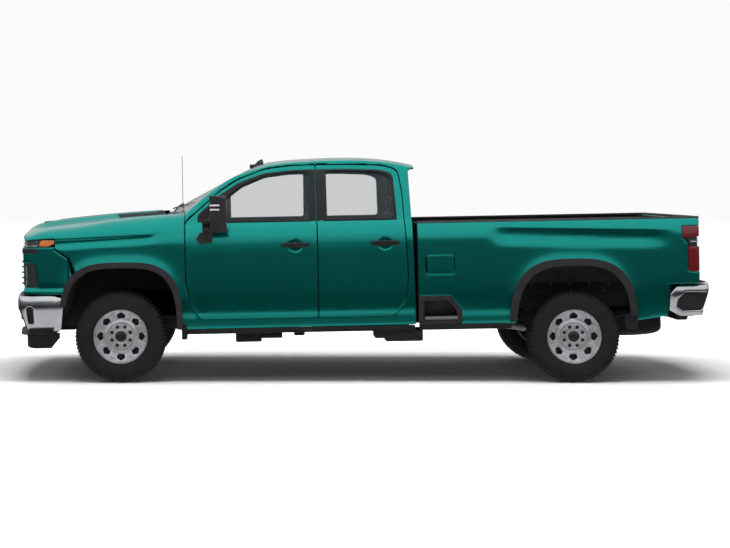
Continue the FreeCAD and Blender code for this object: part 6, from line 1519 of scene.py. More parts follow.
def bed_relief(s, z):
    """Long pressed channel under the bed rail, and the sill's crease."""
    share = (s - 3380.0) / (5113.0 - 3380.0)
    top = 1352.0 - 58.0 * max(share, 0.0)
    drop = min(max((top - z) / 66.0, 0.0), 1.0)
    inside = (1.0 - (1.0 - drop) ** 1.6) * smooth((z - top + 190.0) / 122.0)
    fade = smooth((s - 3300.0) / 240.0) * smooth((5140.0 - s) / 420.0)
    depth = 15.0 * inside * fade
    return depth + 6.0 * smooth((SILL_CREASE_Z - 4.0 - z) / 40.0) * smooth((4000.0 - s) / 300.0)


def add_bed_sides():
    rear_s = bed_s(806.0, 1200.0)
    shape = Outline(rounded([
        (BED_FRONT_X + 1.0, BED_SIDE_BOTTOM_Z + 1.0, 20.0), (BED_FRONT_X + 1.0, BED_RAIL_Z, 6.0),
        (rear_s, BED_RAIL_Z, 4.0), (rear_s, REAR_BUMPER_TOP_Z + 15.0, 10.0),
        (REAR_BUMPER_FRONT_X, REAR_BUMPER_TOP_Z + 15.0, 20.0),
        (REAR_BUMPER_FRONT_X - 14.0, 512.0, 20.0), (4700.0, 476.0, 0.0),
        (4700.0, BED_SIDE_BOTTOM_Z + 1.0, 0.0)]))
    arch = Outline(arch_outline(REAR_ARCH, 300.0))
    step = Outline([
        (BED_FRONT_X - 60.0, 300.0), (STEP_REAR_X, 300.0), (STEP_REAR_X, 604.0),
        (3012.0, STEP_HIGH_Z), (BED_FRONT_X - 60.0, STEP_HIGH_Z)])
    inner_s = bed_s(TAIL_LAMP_INNER_Y + 2.0, 1120.0)
    lamp = Outline(rounded([
        (5113.0, 1331.0, 14.0), (5113.0, 1226.0, 14.0), (5164.0, 1170.0, 30.0),
        (5168.0, 911.0, 24.0), (inner_s, 911.0, 12.0), (inner_s, 1331.0, 12.0)]))
    x0, x1 = FUEL_DOOR_X
    z0, z1 = FUEL_DOOR_Z
    flap = [(x0, z0, 30.0), (x1, z0, 30.0), (x1, z1, 30.0), (x0, z1, 30.0)]
    hinge_room = [(x0 - 9.0, z0, 30.0), (x1, z0, 30.0), (x1, z1, 30.0), (x0 - 9.0, z1, 30.0)]
    pocket = Outline(Outline(rounded(hinge_room)).grown(PANEL_GAP - 3.0))
    edge_lines = [
        [(s, 1352.0 - 58.0 * (s - 3380.0) / 1733.0 + offset) for s in steps(3360.0, 5120.0, 90)]
        for offset in (3.0, -3.0, -16.0, -34.0, -62.0, -100.0)]
    for side, sign in SIDES:
        holes = [arch, step, lamp] + ([pocket] if sign < 0 else [])
        panel(
            f"bed_side_skin_{side}", "body", PAINT, bed_spot, shape, holes=holes,
            hole_flange=18.0, flange=14.0, sunk=bed_relief, sign=sign, lines=edge_lines,
            outward=Vector((0.35, 1.0, 0.0)))
        add_tail_lamp(f"tail_lamp_{side}", lamp, inner_s, sign)
    core = dress("bed_sides", PAINT, "paint", drop=near_bed_skin)
    core.data.materials.append(BED_LINER)
    for polygon in core.data.polygons:
        if polygon.normal.y * polygon.center.y < -0.3 * abs(polygon.center.y):
            polygon.material_index = 1
    dress("tail_lamps", GLOSS_BLACK, "dark_trim", drop=lambda x, y, z: bed_gap(x, y, z) < 14.0)
    panel(
        "fuel_door_skin", "fuel_flap", PAINT, side_point, Outline(rounded(flap)), roll=4.0,
        flange=6.0, sign=-1, cell=18.0)
    dress("fuel_door", PAINT, "paint", body="fuel_flap", drop=near_side)


def bed_gap(x, y, z):
    """Depth of a point under the bed's outer surface."""
    return min(side_width(x, z) - abs(y), BED_REAR_X - x, (bed_limit(x) - abs(y)) * 0.38)


def near_bed_skin(x, y, z):
    return bed_gap(x, y, z) < 3.0 and abs(y) > 830.0


def add_tail_lamp(name, shape, inner_s, sign):
    """Red lenses above and below a clear reversing window, over a dark bezel."""
    outward = Vector((0.8, 1.0, 0.0))
    panel(
        name + "_bezel", "body", GLOSS_BLACK, bed_spot, shape, slot="dark_trim", roll=1.0,
        flange=0.0, proud=-16.0, sign=sign, outward=outward, cell=20.0)
    parts = (
        ("upper", RED_LENS, "tail_lens", 5115.0, 1229.0, 1329.0),
        ("window", CLEAR_LENS, "head_lens", 5170.0, 1150.0, 1222.0),
        ("lower", RED_LENS, "tail_lens", 5170.0, 914.0, 1142.0))
    for part, material, slot_name, front, low, high in parts:
        outline = rounded([
            (front, low, 16.0), (inner_s - 2.0, low, 10.0), (inner_s - 2.0, high, 10.0),
            (front, high, 16.0)])
        panel(
            f"{name}_{part}_lens", "body", material, bed_spot, Outline(outline),
            slot=slot_name, roll=8.0, flange=12.0, proud=1.0, sign=sign, outward=outward,
            cell=14.0)
    bars = []
    for z in (962.0, 1010.0, 1058.0, 1106.0, 1186.0, 1262.0, 1300.0):
        front = 5150.0 if z > 1220.0 else 5196.0
        line = [bed_spot(s, z) for s in steps(front, inner_s - 24.0, 14)]
        bars.append([place(p.x - 6.0, sign * (p.y - 9.0), p.z) for p in line])
    for index, line in enumerate(bars):
        tube(
            f"{name}_guide_{index}", line, 0.004, "body", REFLECTOR, "chrome_plate", sides=6)


def add_fenders():
    shape = Outline(fender_outline())
    arch = Outline(arch_outline(FRONT_ARCH, 200.0))
    lines = []
    for offset in (8.0, 2.0, -4.0, -12.0):
        lines.append([
            (x, CHANNEL_FRONT_Z + CHANNEL_RISE * (x - LAMP_BACK_X) / 960.0 + offset)
            for x in steps(-575.0, BAND_END_X, 60)])
    for side, sign in SIDES:
        panel(
            f"front_fender_skin_{side}", "body", PAINT, fender_spot, shape, holes=[arch],
            hole_flange=20.0, flange=20.0, sunk=lambda x, s: fender_relief(x, s) + sill_relief(s),
            sign=sign, lines=lines, outward=Vector((0.0, 1.0, 0.4)))
    dress("front_fenders", PAINT, "paint", drop=near_fender)


def near_fender(x, y, z):
    """True on the fender's outer surface, side or rolled top."""
    if z <= curve_through(FENDER_ROLL_LINE, x) + 1.0:
        return near_side(x, y, z)
    best = 1e9
    for t in steps(1.0, 2.0, 24):
        spot_y, spot_z = fender_point(x, t)
        best = min(best, math.hypot(abs(y) - spot_y, z - spot_z))
    return best < 9.0


# CAD pieces that keep their shape and get their real finish

NODE_FINISH = {
    "ladder_frame": (CHASSIS_STEEL, "frame_black"),
    "hitch_receiver": (CHASSIS_STEEL, "frame_black"),
    "powertrain": (CAST_ALLOY, "cast"),
    "exhaust": (ROLLED_STEEL, "steel"),
    "fuel_tank": (TRIM_PLASTIC, "black_plastic"),
    "leaf_springs": (CHASSIS_STEEL, "frame_black"),
    "cab_floor": (DARK_LINING, "dark_trim"),
    "cab_back": (PAINT, "paint"),
    "cab_glass": (SCREEN_GLASS, "glass"),
    "cowl_panel": (TRIM_PLASTIC, "black_plastic"),
    "dashboard": (TRIM_PLASTIC, "dark_trim"),
    "steering_wheel": (TRIM_PLASTIC, "dark_trim"),
    "core_support": (CHASSIS_STEEL, "frame_black"),
    "grille": (GLOSS_BLACK, "black_plastic"),
    "front_valance": (TRIM_PLASTIC, "black_plastic"),
    "arch_liners": (DARK_LINING, "black_plastic"),
    "load_bed": (BED_LINER, "paint"),
    "bed_trim": (FLARE_PLASTIC, "black_plastic"),
    "tailgate": (PAINT, "paint"),
    "arch_flares": (FLARE_PLASTIC, "black_plastic"),
    "drive_shafts": (ROLLED_STEEL, "steel"),
    "rear_axle": (CAST_IRON, "cast"),
    "front_suspension": (CAST_IRON, "cast"),
    "steering_link": (ROLLED_STEEL, "steel"),
}
GLASS_NODES = (
    "front_door_glass_left", "front_door_glass_right", "rear_door_glass_left",
    "rear_door_glass_right")
WHEELS = ("front_left", "front_right", "rear_left", "rear_right")


def body_name(node):
    return body_of(frame["nodes"][node])[0]


def add_carried_nodes():
    for node, (material, slot_name) in NODE_FINISH.items():
        dress(node, material, slot_name, body=body_name(node))
    for node in GLASS_NODES:
        dress(node, SIDE_GLASS, "glass", body=body_name(node))
    for side, _ in SIDES:
        dress(f"mirror_{side}", FLARE_PLASTIC, "black_plastic", body=body_name(f"mirror_{side}"))
        dress(f"knuckle_{side}", CAST_IRON, "cast", body=body_name(f"knuckle_{side}"))
    spare = dress("spare_wheel", WALL_RUBBER, "tyre", degrees=40.0)
    spare.data.materials.append(ROLLED_STEEL)


# Repeats, made with one Geometry Nodes tree

def add_input(tree, name, kind):
    return tree.interface.new_socket(name=name, in_out="INPUT", socket_type=kind).identifier


def repeat_tree():
    """Copies its geometry, each copy turned and moved on by one more step."""
    tree = bpy.data.node_groups.new("repeat_in_steps", "GeometryNodeTree")
    keys = {"Geometry": add_input(tree, "Geometry", "NodeSocketGeometry")}
    for name, kind in (
            ("Count", "NodeSocketInt"), ("Turn", "NodeSocketVector"),
            ("Step", "NodeSocketVector"), ("Pivot", "NodeSocketVector"),
            ("Finish", "NodeSocketMaterial")):
        keys[name] = add_input(tree, name, kind)
    tree.interface.new_socket(
        name="Geometry", in_out="OUTPUT", socket_type="NodeSocketGeometry")
    given = add(tree, "NodeGroupInput").outputs
    single = add(tree, "GeometryNodeGeometryToInstance", {"Geometry": given["Geometry"]})
    copies = add(tree, "GeometryNodeDuplicateElements", {
        "Geometry": single.outputs["Instances"], "Amount": given["Count"]}, domain="INSTANCE")
    number = copies.outputs["Duplicate Index"]
    turn = add(tree, "ShaderNodeVectorMath", {
        0: given["Turn"], "Scale": number}, operation="SCALE")
    step = add(tree, "ShaderNodeVectorMath", {
        0: given["Step"], "Scale": number}, operation="SCALE")
    turned = add(tree, "GeometryNodeRotateInstances", {
        "Instances": copies.outputs["Geometry"], "Rotation": turn.outputs["Vector"],
        "Pivot Point": given["Pivot"], "Local Space": False})
    moved = add(tree, "GeometryNodeTranslateInstances", {
        "Instances": turned.outputs["Instances"], "Translation": step.outputs["Vector"],
        "Local Space": False})
    real = add(tree, "GeometryNodeRealizeInstances", {
        "Geometry": moved.outputs["Instances"]})
    finish = add(tree, "GeometryNodeSetMaterial", {
        "Geometry": real.outputs["Geometry"], "Material": given["Finish"]})
    add(tree, "NodeGroupOutput", {"Geometry": finish.outputs["Geometry"]})
    return tree, keys


REPEAT_TREE, REPEAT_KEYS = repeat_tree()


def repeated(
        name, vertices, faces, body, material, count, turn=(0, 0, 0), step=(0, 0, 0),
        pivot=(0, 0, 0), degrees=35.0):
    """One plain mesh with count copies of a small shape given in metres."""
    unit = new_object(name + "_unit", new_mesh(name + "_unit", vertices, faces))
    make_normals_outward(unit)
    modifier = unit.modifiers.new("repeat", "NODES")
    modifier.node_group = REPEAT_TREE
    values = {"Count": count, "Turn": turn, "Step": step, "Pivot": tuple(pivot),
              "Finish": material}
    for key, value in values.items():
        modifier[REPEAT_KEYS[key]] = value
    seen = bpy.context.evaluated_depsgraph_get()
    result = bpy.data.meshes.new_from_object(unit.evaluated_get(seen))
    bpy.data.objects.remove(unit)
    piece = new_object(name, result)
    result.shade_smooth()
    sharpen(piece, degrees)
    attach(piece, body)
    return piece


def repeated_part(name, part, body, material, count, step):
    """Copies of a part given in body millimetres, each moved on by step, in metres."""
    vertices, faces = part
    return repeated(
        name, [place(*v) for v in vertices], faces, body, material, count, step=step)


# Wheels

LUG_CIRCLE_RADIUS = 90.0
LUG_POCKET_RADIUS = 17.0
WINDOW_COUNT = 8
RIM_EDGE_RADIUS = 245.0
RIM_PROFILE = [
    (0.0, 60.0), (56.0, 60.0), (60.0, 63.0), (108.0, 63.0), (112.0, 61.0), (116.0, 54.0),
    (121.0, 54.0), (125.0, 62.0), (138.0, 62.0), (146.0, 56.0), (156.0, 53.0),
    (200.0, 66.0), (224.0, 70.0), (229.0, 72.0), (234.0, 92.0), (238.0, 103.0),
    (242.0, 107.0), (246.0, 107.5)]
TREAD_PITCHES = 72
TYRE_PROFILE = [
    (-96.0, 242.0), (-102.0, 250.0), (-112.0, 259.0), (-121.0, 271.0), (-125.0, 273.0),
    (-128.0, 285.0), (-133.0, 300.0), (-137.0, 318.0), (-136.5, 330.0), (-138.5, 333.0),
    (-138.0, 340.0), (-135.0, 352.0), (-133.0, 366.0), (-127.0, 382.0), (-117.0, 395.0),
    (-104.0, 402.0), (-70.0, 405.5), (0.0, 407.0)]


def profile_at(points, value):
    """Straight-line reading of a profile."""
    for (r0, h0), (r1, h1) in zip(points, points[1:]):
        if value <= r1:
            return h0 + (h1 - h0) * (value - r0) / (r1 - r0)
    return points[-1][1]


def circle(radius, count, u=0.0, v=0.0):
    return [
        (u + radius * math.cos(2 * math.pi * k / count),
         v + radius * math.sin(2 * math.pi * k / count)) for k in range(count)]


def turned_points(points, angle):
    c = math.cos(angle)
    s = math.sin(angle)
    return [(u * c - v * s, u * s + v * c) for u, v in points]


RIB_OFFSET = 13.0


def rib_relief(u, v):
    """Negative depth of the two raised ribs on each spoke between the windows."""
    pitch = 2 * math.pi / WINDOW_COUNT
    radius = math.hypot(u, v)
    turn = (math.atan2(u, v) / pitch) % 1.0 - 0.5
    across = abs(radius * math.sin(turn * pitch))
    height = 1.0 - smooth((abs(across - RIB_OFFSET) - 2.5) / 3.5)
    return -6.0 * height * smooth((radius - 148.0) / 12.0) * smooth((226.0 - radius) / 12.0)


def wheel_centre(wheel):
    station = 0.0 if wheel.startswith("front") else WHEELBASE
    side = -1.0 if wheel.endswith("left") else 1.0
    return station, side


def revolved(profile, count, to_place):
    """Rings of points (offset, radius) about the wheel's axle."""
    vertices = []
    faces = []
    for offset, radius in profile:
        for k in range(count):
            angle = 2 * math.pi * k / count
            vertices.append(to_place(radius * math.cos(angle), offset, radius * math.sin(angle)))
    for row in range(len(profile) - 1):
        for k in range(count):
            a = row * count + k
            b = row * count + (k + 1) % count
            faces.append([a, b, b + count, a + count])
    return vertices, faces


def add_wheel(wheel):
    station, side = wheel_centre(wheel)
    body = f"wheel_{wheel}"

    def at(u, offset, v):
        return level_place(station + u, side * (WHEEL_Y + offset), TYRE_RADIUS + v)

    holes = []
    pitch = 2 * math.pi / WINDOW_COUNT
    window = rounded([
        (-27.0, 161.0, 9.0), (27.0, 161.0, 9.0), (41.0, 192.0, 10.0), (0.0, 223.0, 12.0),
        (-41.0, 192.0, 10.0)])
    lug = circle(LUG_POCKET_RADIUS, 18, 0.0, LUG_CIRCLE_RADIUS)
    for k in range(WINDOW_COUNT):
        holes.append(Outline(turned_points(window, pitch * k), 12.0))
        holes.append(Outline(turned_points(lug, pitch * (k + 0.5)), 8.0))
    rings = [
        circle(radius, 96) + [circle(radius, 96)[0]]
        for radius in (108.0, 112.0, 116.0, 121.0, 125.0, 138.0, 146.0, 229.0, 234.0, 238.0, 242.0)]
    for k in range(WINDOW_COUNT):
        for offset in (-RIB_OFFSET, RIB_OFFSET):
            for shift in (-6.0, -2.5, 2.5, 6.0):
                line = [(offset + shift, v) for v in steps(150.0, 222.0, 8)]
                rings.append(turned_points(line, pitch * (k + 0.5)))
    vertices, faces = panel_mesh(
        lambda u, v: Vector((u, profile_at(RIM_PROFILE, math.hypot(u, v)), v)),
        Outline(circle(RIM_EDGE_RADIUS, 96), 20.0), holes=holes, cell=11.0, roll=3.5,
        flange=14.0, hole_flange=16.0, proud=0.0, lines=rings, sunk=rib_relief, place_at=at, sign=1,
        mirrored=side < 0)
    face = make_piece(f"wheel_face_{wheel}", vertices, faces, body, ALLOY, "wheel_alloy")
    sharpen(face, 42.0)
    barrel = [
        (107.5, 244.0), (104.0, 247.5), (98.0, 247.5), (96.0, 241.0), (70.0, 239.0),
        (52.0, 230.0), (-52.0, 230.0), (-70.0, 239.0), (-98.0, 241.0), (-100.0, 247.5),
        (-107.5, 247.0), (-107.5, 238.0), (-92.0, 232.0), (-52.0, 221.0), (40.0, 221.0)]
    vertices, faces = revolved(barrel, 72, at)
    rim_barrel = make_piece(
        f"wheel_barrel_{wheel}", vertices, faces, body, ALLOY, "wheel_alloy")
    make_normals_outward(rim_barrel)
    sharpen(rim_barrel, 40.0)
    disc = [
        (30.0, 60.0), (22.0, 92.0), (16.0, 120.0), (-6.0, 120.0), (-6.0, 176.0), (-34.0, 176.0),
        (-34.0, 34.0)]
    vertices, faces = revolved(disc, 48, at)
    brake = make_piece(f"brake_disc_{wheel}", vertices, faces, body, CAST_IRON, "cast")
    make_normals_outward(brake)
    sharpen(brake, 30.0)
    cap = [
        (56.0, 58.0), (66.0, 57.0), (69.0, 53.0), (67.0, 49.5), (66.0, 48.0), (69.0, 44.0),
        (71.0, 26.0), (71.5, 0.5)]
    vertices, faces = revolved(cap, 48, at)
    faces.append([(len(cap) - 1) * 48 + k for k in range(48)])
    centre_cap = make_piece(f"centre_cap_{wheel}", vertices, faces, body, GLOSS_BLACK, "dark_trim")
    make_normals_outward(centre_cap)
    ring = [(56.0, 61.0), (67.5, 60.5), (70.0, 57.5), (70.0, 53.5), (67.0, 51.0)]
    vertices, faces = revolved(ring, 48, at)
    cap_ring = make_piece(f"cap_ring_{wheel}", vertices, faces, body, ALLOY, "wheel_alloy")
    make_normals_outward(cap_ring)
    nut = []
    rows = [(38.0, 11.0), (52.0, 11.0), (54.0, 9.8), (58.0, 6.5), (59.5, 3.0)]
    for offset, radius in rows:
        nut.extend(
            at(LUG_CIRCLE_RADIUS * math.sin(pitch / 2) + radius * math.cos(k * math.pi / 3),
               offset, LUG_CIRCLE_RADIUS * math.cos(pitch / 2) + radius * math.sin(k * math.pi / 3))
            for k in range(6))
    nut_faces = [
        [row * 6 + k, row * 6 + (k + 1) % 6, (row + 1) * 6 + (k + 1) % 6, (row + 1) * 6 + k]
        for row in range(len(rows) - 1) for k in range(6)]
    nut_faces.append([(len(rows) - 1) * 6 + k for k in range(6)])
    nut_faces.append(list(range(6)))
    hub = at(0.0, 0.0, 0.0)
    repeated(
        f"wheel_nuts_{wheel}", nut, nut_faces, body, CAST_IRON, WINDOW_COUNT,
        turn=(0.0, pitch, 0.0), pivot=hub)
    well = [(58.0, 220.0), (30.0, 219.0), (28.0, 60.0)]
    vertices, faces = revolved(well, 48, at)
    shade = make_piece(f"wheel_dust_shield_{wheel}", vertices, faces, body, CHASSIS_STEEL, "cast")
    make_normals_outward(shade)
    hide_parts(f"rim_{wheel}")
    add_tyre(wheel, body, at, hub)


def add_tyre(wheel, body, at, hub):
    """Tyre carcass with its wall ribs, and the tread and shoulder blocks."""
    profile = TYRE_PROFILE + [(-offset, radius) for offset, radius in reversed(TYRE_PROFILE[:-1])]
    profile += [(104.0, 262.0), (104.0, 390.0), (-104.0, 390.0), (-104.0, 262.0)]
    vertices, faces = revolved(profile, 96, at)
    last = (len(profile) - 1) * 96
    faces += [[last + k, last + (k + 1) % 96, (k + 1) % 96, k] for k in range(96)]
    carcass = make_piece(f"tyre_carcass_{wheel}", vertices, faces, body, WALL_RUBBER, "tyre")
    make_normals_outward(carcass)
    sharpen(carcass, 40.0)
    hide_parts(f"tyre_{wheel}")
    blocks = []
    turn = 2 * math.pi / TREAD_PITCHES
    for mirrored in (1, -1):
        blocks.append(shoulder_block(at, mirrored, turn))
        blocks.append(tread_block(at, mirrored * 58.0, 27.0, turn, 0.62, mirrored * 0.25))
    blocks.append(tread_block(at, 0.0, 24.0, turn, 0.62, -0.2))
    vertices, faces = joined(blocks)
    repeated(
        f"tyre_tread_{wheel}", vertices, faces, body, TREAD_RUBBER, TREAD_PITCHES,
        turn=(0.0, turn, 0.0), pivot=hub, degrees=30.0)


def tread_block(at, middle, half_width, turn, fill, slant):
    """One tread block between two grooves."""
    vertices = []
    half_turn = turn * fill / 2
    for radius, shrink in ((400.0, 1.0), (413.5, 1.0), (416.0, 0.9)):
        top = radius - 2.0 * (middle / 66.0) ** 2
        for across, along in ((-1, -1), (1, -1), (1, 1), (-1, 1)):
            offset = middle + across * half_width * shrink
            angle = along * half_turn * shrink + across * slant * half_turn
            vertices.append(at(top * math.sin(angle), offset, top * math.cos(angle)))
    faces = [[0, 1, 2, 3], [8, 9, 10, 11]]
    for row in (0, 4):
        for k in range(4):
            faces.append([row + k, row + (k + 1) % 4, row + 4 + (k + 1) % 4, row + 4 + k])
    return vertices, faces


def shoulder_block(at, mirrored, turn):
    """Block that runs off the tread and down over the tyre's shoulder."""
    path = [(88.0, 414.5), (112.0, 409.0), (126.0, 398.0), (132.5, 384.0), (135.5, 368.0)]
    under = [(88.0, 398.0), (106.0, 396.0), (118.0, 386.0), (126.0, 376.0), (130.0, 366.0)]
    vertices = []
    half_turn = turn * 0.3
    for along in (-1, 1):
        for offset, radius in path + under:
            angle = along * half_turn
            vertices.append(at(
                radius * math.sin(angle), mirrored * offset, radius * math.cos(angle)))
    count = len(path)
    faces = []
    for start in (0, 2 * count):
        for k in range(count - 1):
            faces.append([start + k, start + k + 1, start + count + k + 1, start + count + k])
    for k in range(count - 1):
        faces.append([k, k + 1, 2 * count + k + 1, 2 * count + k])
        faces.append([count + k, count + k + 1, 3 * count + k + 1, 3 * count + k])
    faces.append([0, count, 3 * count, 2 * count])
    faces.append([count - 1, 2 * count - 1, 4 * count - 1, 3 * count - 1])
    return vertices, faces


def add_wheels():
    for wheel in WHEELS:
        add_wheel(wheel)


# Bumpers

BUMPER_WAY = Way(rounded([
    (-508.0, -990.0, 0.0), (-908.0, -984.0, 190.0), (-948.0, -840.0, 120.0),
    (-1020.0, -300.0, 600.0), (-1020.0, 300.0, 600.0), (-948.0, 840.0, 120.0),
    (-908.0, 984.0, 190.0), (-508.0, 990.0, 0.0)], pieces=12))
REAR_BUMPER_WAY = Way(rounded([
    (5000.0, 985.0, 0.0), (5332.0, 985.0, 60.0), (5372.0, 925.0, 60.0), (5382.0, 640.0, 60.0),
    (5495.0, 520.0, 60.0), (5495.0, -520.0, 60.0), (5382.0, -640.0, 60.0),
    (5372.0, -925.0, 60.0), (5332.0, -985.0, 60.0), (5000.0, -985.0, 0.0)], pieces=8))


def crowned(way, low_z, high_z, tuck, top_roll=26.0):
    """A bumper's outer surface: rolled in at its top and sloped in by tuck below."""

    def point_at(s, z):
        below = max(low_z + (high_z - low_z) * 0.72 - z, 0.0)
        inset = tuck * below**2 / (below + 40.0)
        inset += top_roll * max((z - high_z + 44.0) / 44.0, 0.0) ** 2
        spot = way.at(s) - way.out(s) * inset
        return Vector((spot.x, spot.y, z))

    def outward(s, z):
        out = way.out(s)
        return Vector((out.x, out.y, 0.0))

    return point_at, outward


def add_front_bumper():
    surface, outward = crowned(BUMPER_WAY, 430.0, 806.0, 0.42)
    end = BUMPER_WAY.length
    middle = end / 2
    shape = Outline(rounded([
        (2.0, 720.0, 20.0), (39.0, 474.0, 70.0), (134.0, 434.0, 40.0), (middle - 700.0, 436.0, 90.0),
        (middle, 458.0, 600.0), (middle + 700.0, 436.0, 90.0), (end - 134.0, 434.0, 40.0),
        (end - 39.0, 474.0, 70.0), (end - 2.0, 720.0, 20.0), (end - 2.0, 774.0, 20.0),
        (end - 92.0, 804.0, 60.0), (92.0, 804.0, 60.0), (2.0, 774.0, 20.0)]))
    openings = [[
        (middle - 330.0, 520.0, 30.0), (middle + 330.0, 520.0, 30.0),
        (middle + 310.0, 650.0, 30.0), (middle - 310.0, 650.0, 30.0)]]
    for low, high in ((285.0, 346.0), (end - 346.0, end - 285.0)):
        openings.append([
            (low, 540.0, 26.0), (high, 540.0, 26.0), (high, 704.0, 26.0), (low, 704.0, 26.0)])
    for low, high in ((480.0, 590.0), (end - 590.0, end - 480.0)):
        openings.append([
            (low, 545.0, 20.0), (high, 545.0, 20.0), (high, 665.0, 20.0), (low, 665.0, 20.0)])
    holes = [Outline(rounded(corners)) for corners in openings]
    skin = panel(
        "front_bumper_skin", "body", CHROME, surface, shape, slot="chrome_plate",
        holes=holes, hole_flange=26.0, flange=30.0, roll=9.0, cell=30.0, proud=0.0,
        outward=outward)
    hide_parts("front_bumper")
    for index, hole in enumerate(holes):
        panel(
            f"front_bumper_insert_{index}", "body", TRIM_PLASTIC, surface,
            Outline(hole.grown(5.0)), slot="black_plastic", roll=1.0, flange=0.0, proud=-24.0,
            outward=outward)
    pad = [(p.x, p.y) for p in BUMPER_WAY.points if p.x < -600.0]
    pad = [(x + 26.0, y * 0.968) for x, y in pad] + [(-640.0, 930.0), (-860.0, 880.0)]
    pad += [(-860.0, -880.0), (-640.0, -930.0)]
    body_piece(
        "front_bumper_step_pad", [extruded(pad, 780.0, 800.0, top_way)],
        "body", TRIM_PLASTIC, "black_plastic")
    blocks("front_bumper_bracket", "body", CHASSIS_STEEL, "frame_black", [
        (-985.0, -800.0, 356.0, 432.0, 548.0, 634.0), (-900.0, -860.0, 500.0, 880.0, 610.0, 660.0)])
    slat = block(-968.0, -952.0, -300.0, 300.0, 532.0, 538.0, 2.0)
    repeated_part(
        "front_intake_slats", slat, "body", TRIM_PLASTIC, 4, (0.0, 0.0, 0.032))


def add_rear_bumper():
    surface, outward = crowned(REAR_BUMPER_WAY, 500.0, 790.0, 0.36, 20.0)
    end = REAR_BUMPER_WAY.length
    middle = end / 2
    shape = Outline(rounded([
        (2.0, 560.0, 30.0), (110.0, 502.0, 50.0), (end - 110.0, 502.0, 50.0),
        (end - 2.0, 560.0, 30.0), (end - 2.0, 706.0, 40.0), (end - 70.0, 788.0, 50.0),
        (70.0, 788.0, 50.0), (2.0, 706.0, 40.0)]))
    steps_out = []
    for turn in (1.0, -1.0):
        corners = [
            (70.0, 592.0, 26.0), (128.0, 550.0, 30.0), (520.0, 560.0, 24.0),
            (520.0, 716.0, 24.0), (142.0, 726.0, 34.0), (78.0, 660.0, 40.0)]
        if turn < 0:
            corners = [(end - s, z, radius) for s, z, radius in reversed(corners)]
        steps_out.append(Outline(rounded(corners)))
    plate = Outline(rounded([
        (middle - 190.0, 556.0, 14.0), (middle + 190.0, 556.0, 14.0),
        (middle + 190.0, 700.0, 14.0), (middle - 190.0, 700.0, 14.0)]))
    skin = panel(
        "rear_bumper_skin", "body", CHROME, surface, shape, slot="chrome_plate",
        holes=steps_out + [plate], hole_flange=22.0, flange=24.0, roll=9.0, cell=30.0,
        proud=0.0, outward=outward)
    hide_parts("rear_bumper")
    for index, hole in enumerate(steps_out + [plate]):
        panel(
            f"rear_bumper_insert_{index}", "body", TRIM_PLASTIC, surface,
            Outline(hole.grown(4.0)), slot="black_plastic", roll=1.0, flange=0.0,
            proud=-20.0, outward=outward)
    pad = [(p.x - 20.0, p.y * 0.975) for p in REAR_BUMPER_WAY.points if p.x > 5290.0]
    pad += [(5292.0, -940.0), (5292.0, 940.0)]
    body_piece(
        "rear_bumper_step_pad", [extruded(pad, 768.0, 789.0, top_way)],
        "body", TRIM_PLASTIC, "black_plastic")
    blocks("rear_bumper_bracket", "body", CHASSIS_STEEL, "frame_black", [
        (5290.0, 5470.0, 356.0, 432.0, 625.0, 715.0), (5292.0, 5330.0, 430.0, 900.0, 600.0, 680.0)])
    rib = block(5340.0, 5352.0, -600.0, 600.0, 789.0, 793.0, 1.5)
    repeated_part(
        "rear_step_treads", rib, "body", TRIM_PLASTIC, 4, (0.03, 0.0, 0.0006))


# Small trim, given in body millimetres on the right side and mirrored

def blocks(name, body, material, slot, rows, edge=5.0, both=True, degrees=40.0):
    parts = [block(*row, edge=edge) for row in rows]
    if both:
        parts += [mirror_part(part) for part in parts]
    return body_piece(name, parts, body, material, slot, degrees)


def hex_head(x, y, z, radius, height, axis):
    """Bolt head standing out from a surface along +Y or up."""
    vertices = []
    for rise, size in ((0.0, 1.25), (height * 0.2, 1.25), (height * 0.2, 1.0),
                       (height * 0.9, 1.0), (height, 0.85)):
        for k in range(6):
            a = size * radius * math.cos(k * math.pi / 3)
            b = size * radius * math.sin(k * math.pi / 3)
            if axis == "side":
                vertices.append(Vector((x + a, y + rise, z + b)))
            else:
                vertices.append(Vector((x + a, y + b, z + rise)))
    faces = [
        [row * 6 + k, row * 6 + (k + 1) % 6, row * 6 + 6 + (k + 1) % 6, row * 6 + 6 + k]
        for row in range(4) for k in range(6)]
    return vertices, faces + [[24 + k for k in range(6)], list(range(6))]


def bolt_row(name, body, first, count, step, radius=11.0, axis="side"):
    for side, sign in SIDES:
        part = hex_head(*first, radius, radius * 0.9, axis)
        if sign < 0:
            part = mirror_part(part)
        repeated(
            f"{name}_{side}", [place(*v) for v in part[0]], part[1], body, CAST_IRON, count,
            step=place(*step) - place(0.0, 0.0, 0.0))


HANDLES = (("front_door", 1603.0, 1222.0), ("rear_door", 2421.0, 1226.0))


def bowl_relief(x, z, middle):
    """Finger room pressed into a door behind its handle."""
    away = math.hypot((x - middle[0]) / 66.0, (z - middle[1] + 8.0) / 54.0)
    return 24.0 * (1.0 - min(away, 1.0) ** 2) ** 1.5


def bowl_lines(middle):
    lines = []
    for share in (0.25, 0.5, 0.75, 0.92, 1.04):
        ring = [
            (middle[0] + 66.0 * share * math.cos(t), middle[1] - 8.0 + 54.0 * share * math.sin(t))
            for t in steps(0.0, 2 * math.pi, 28)]
        lines.append(ring)
    return lines


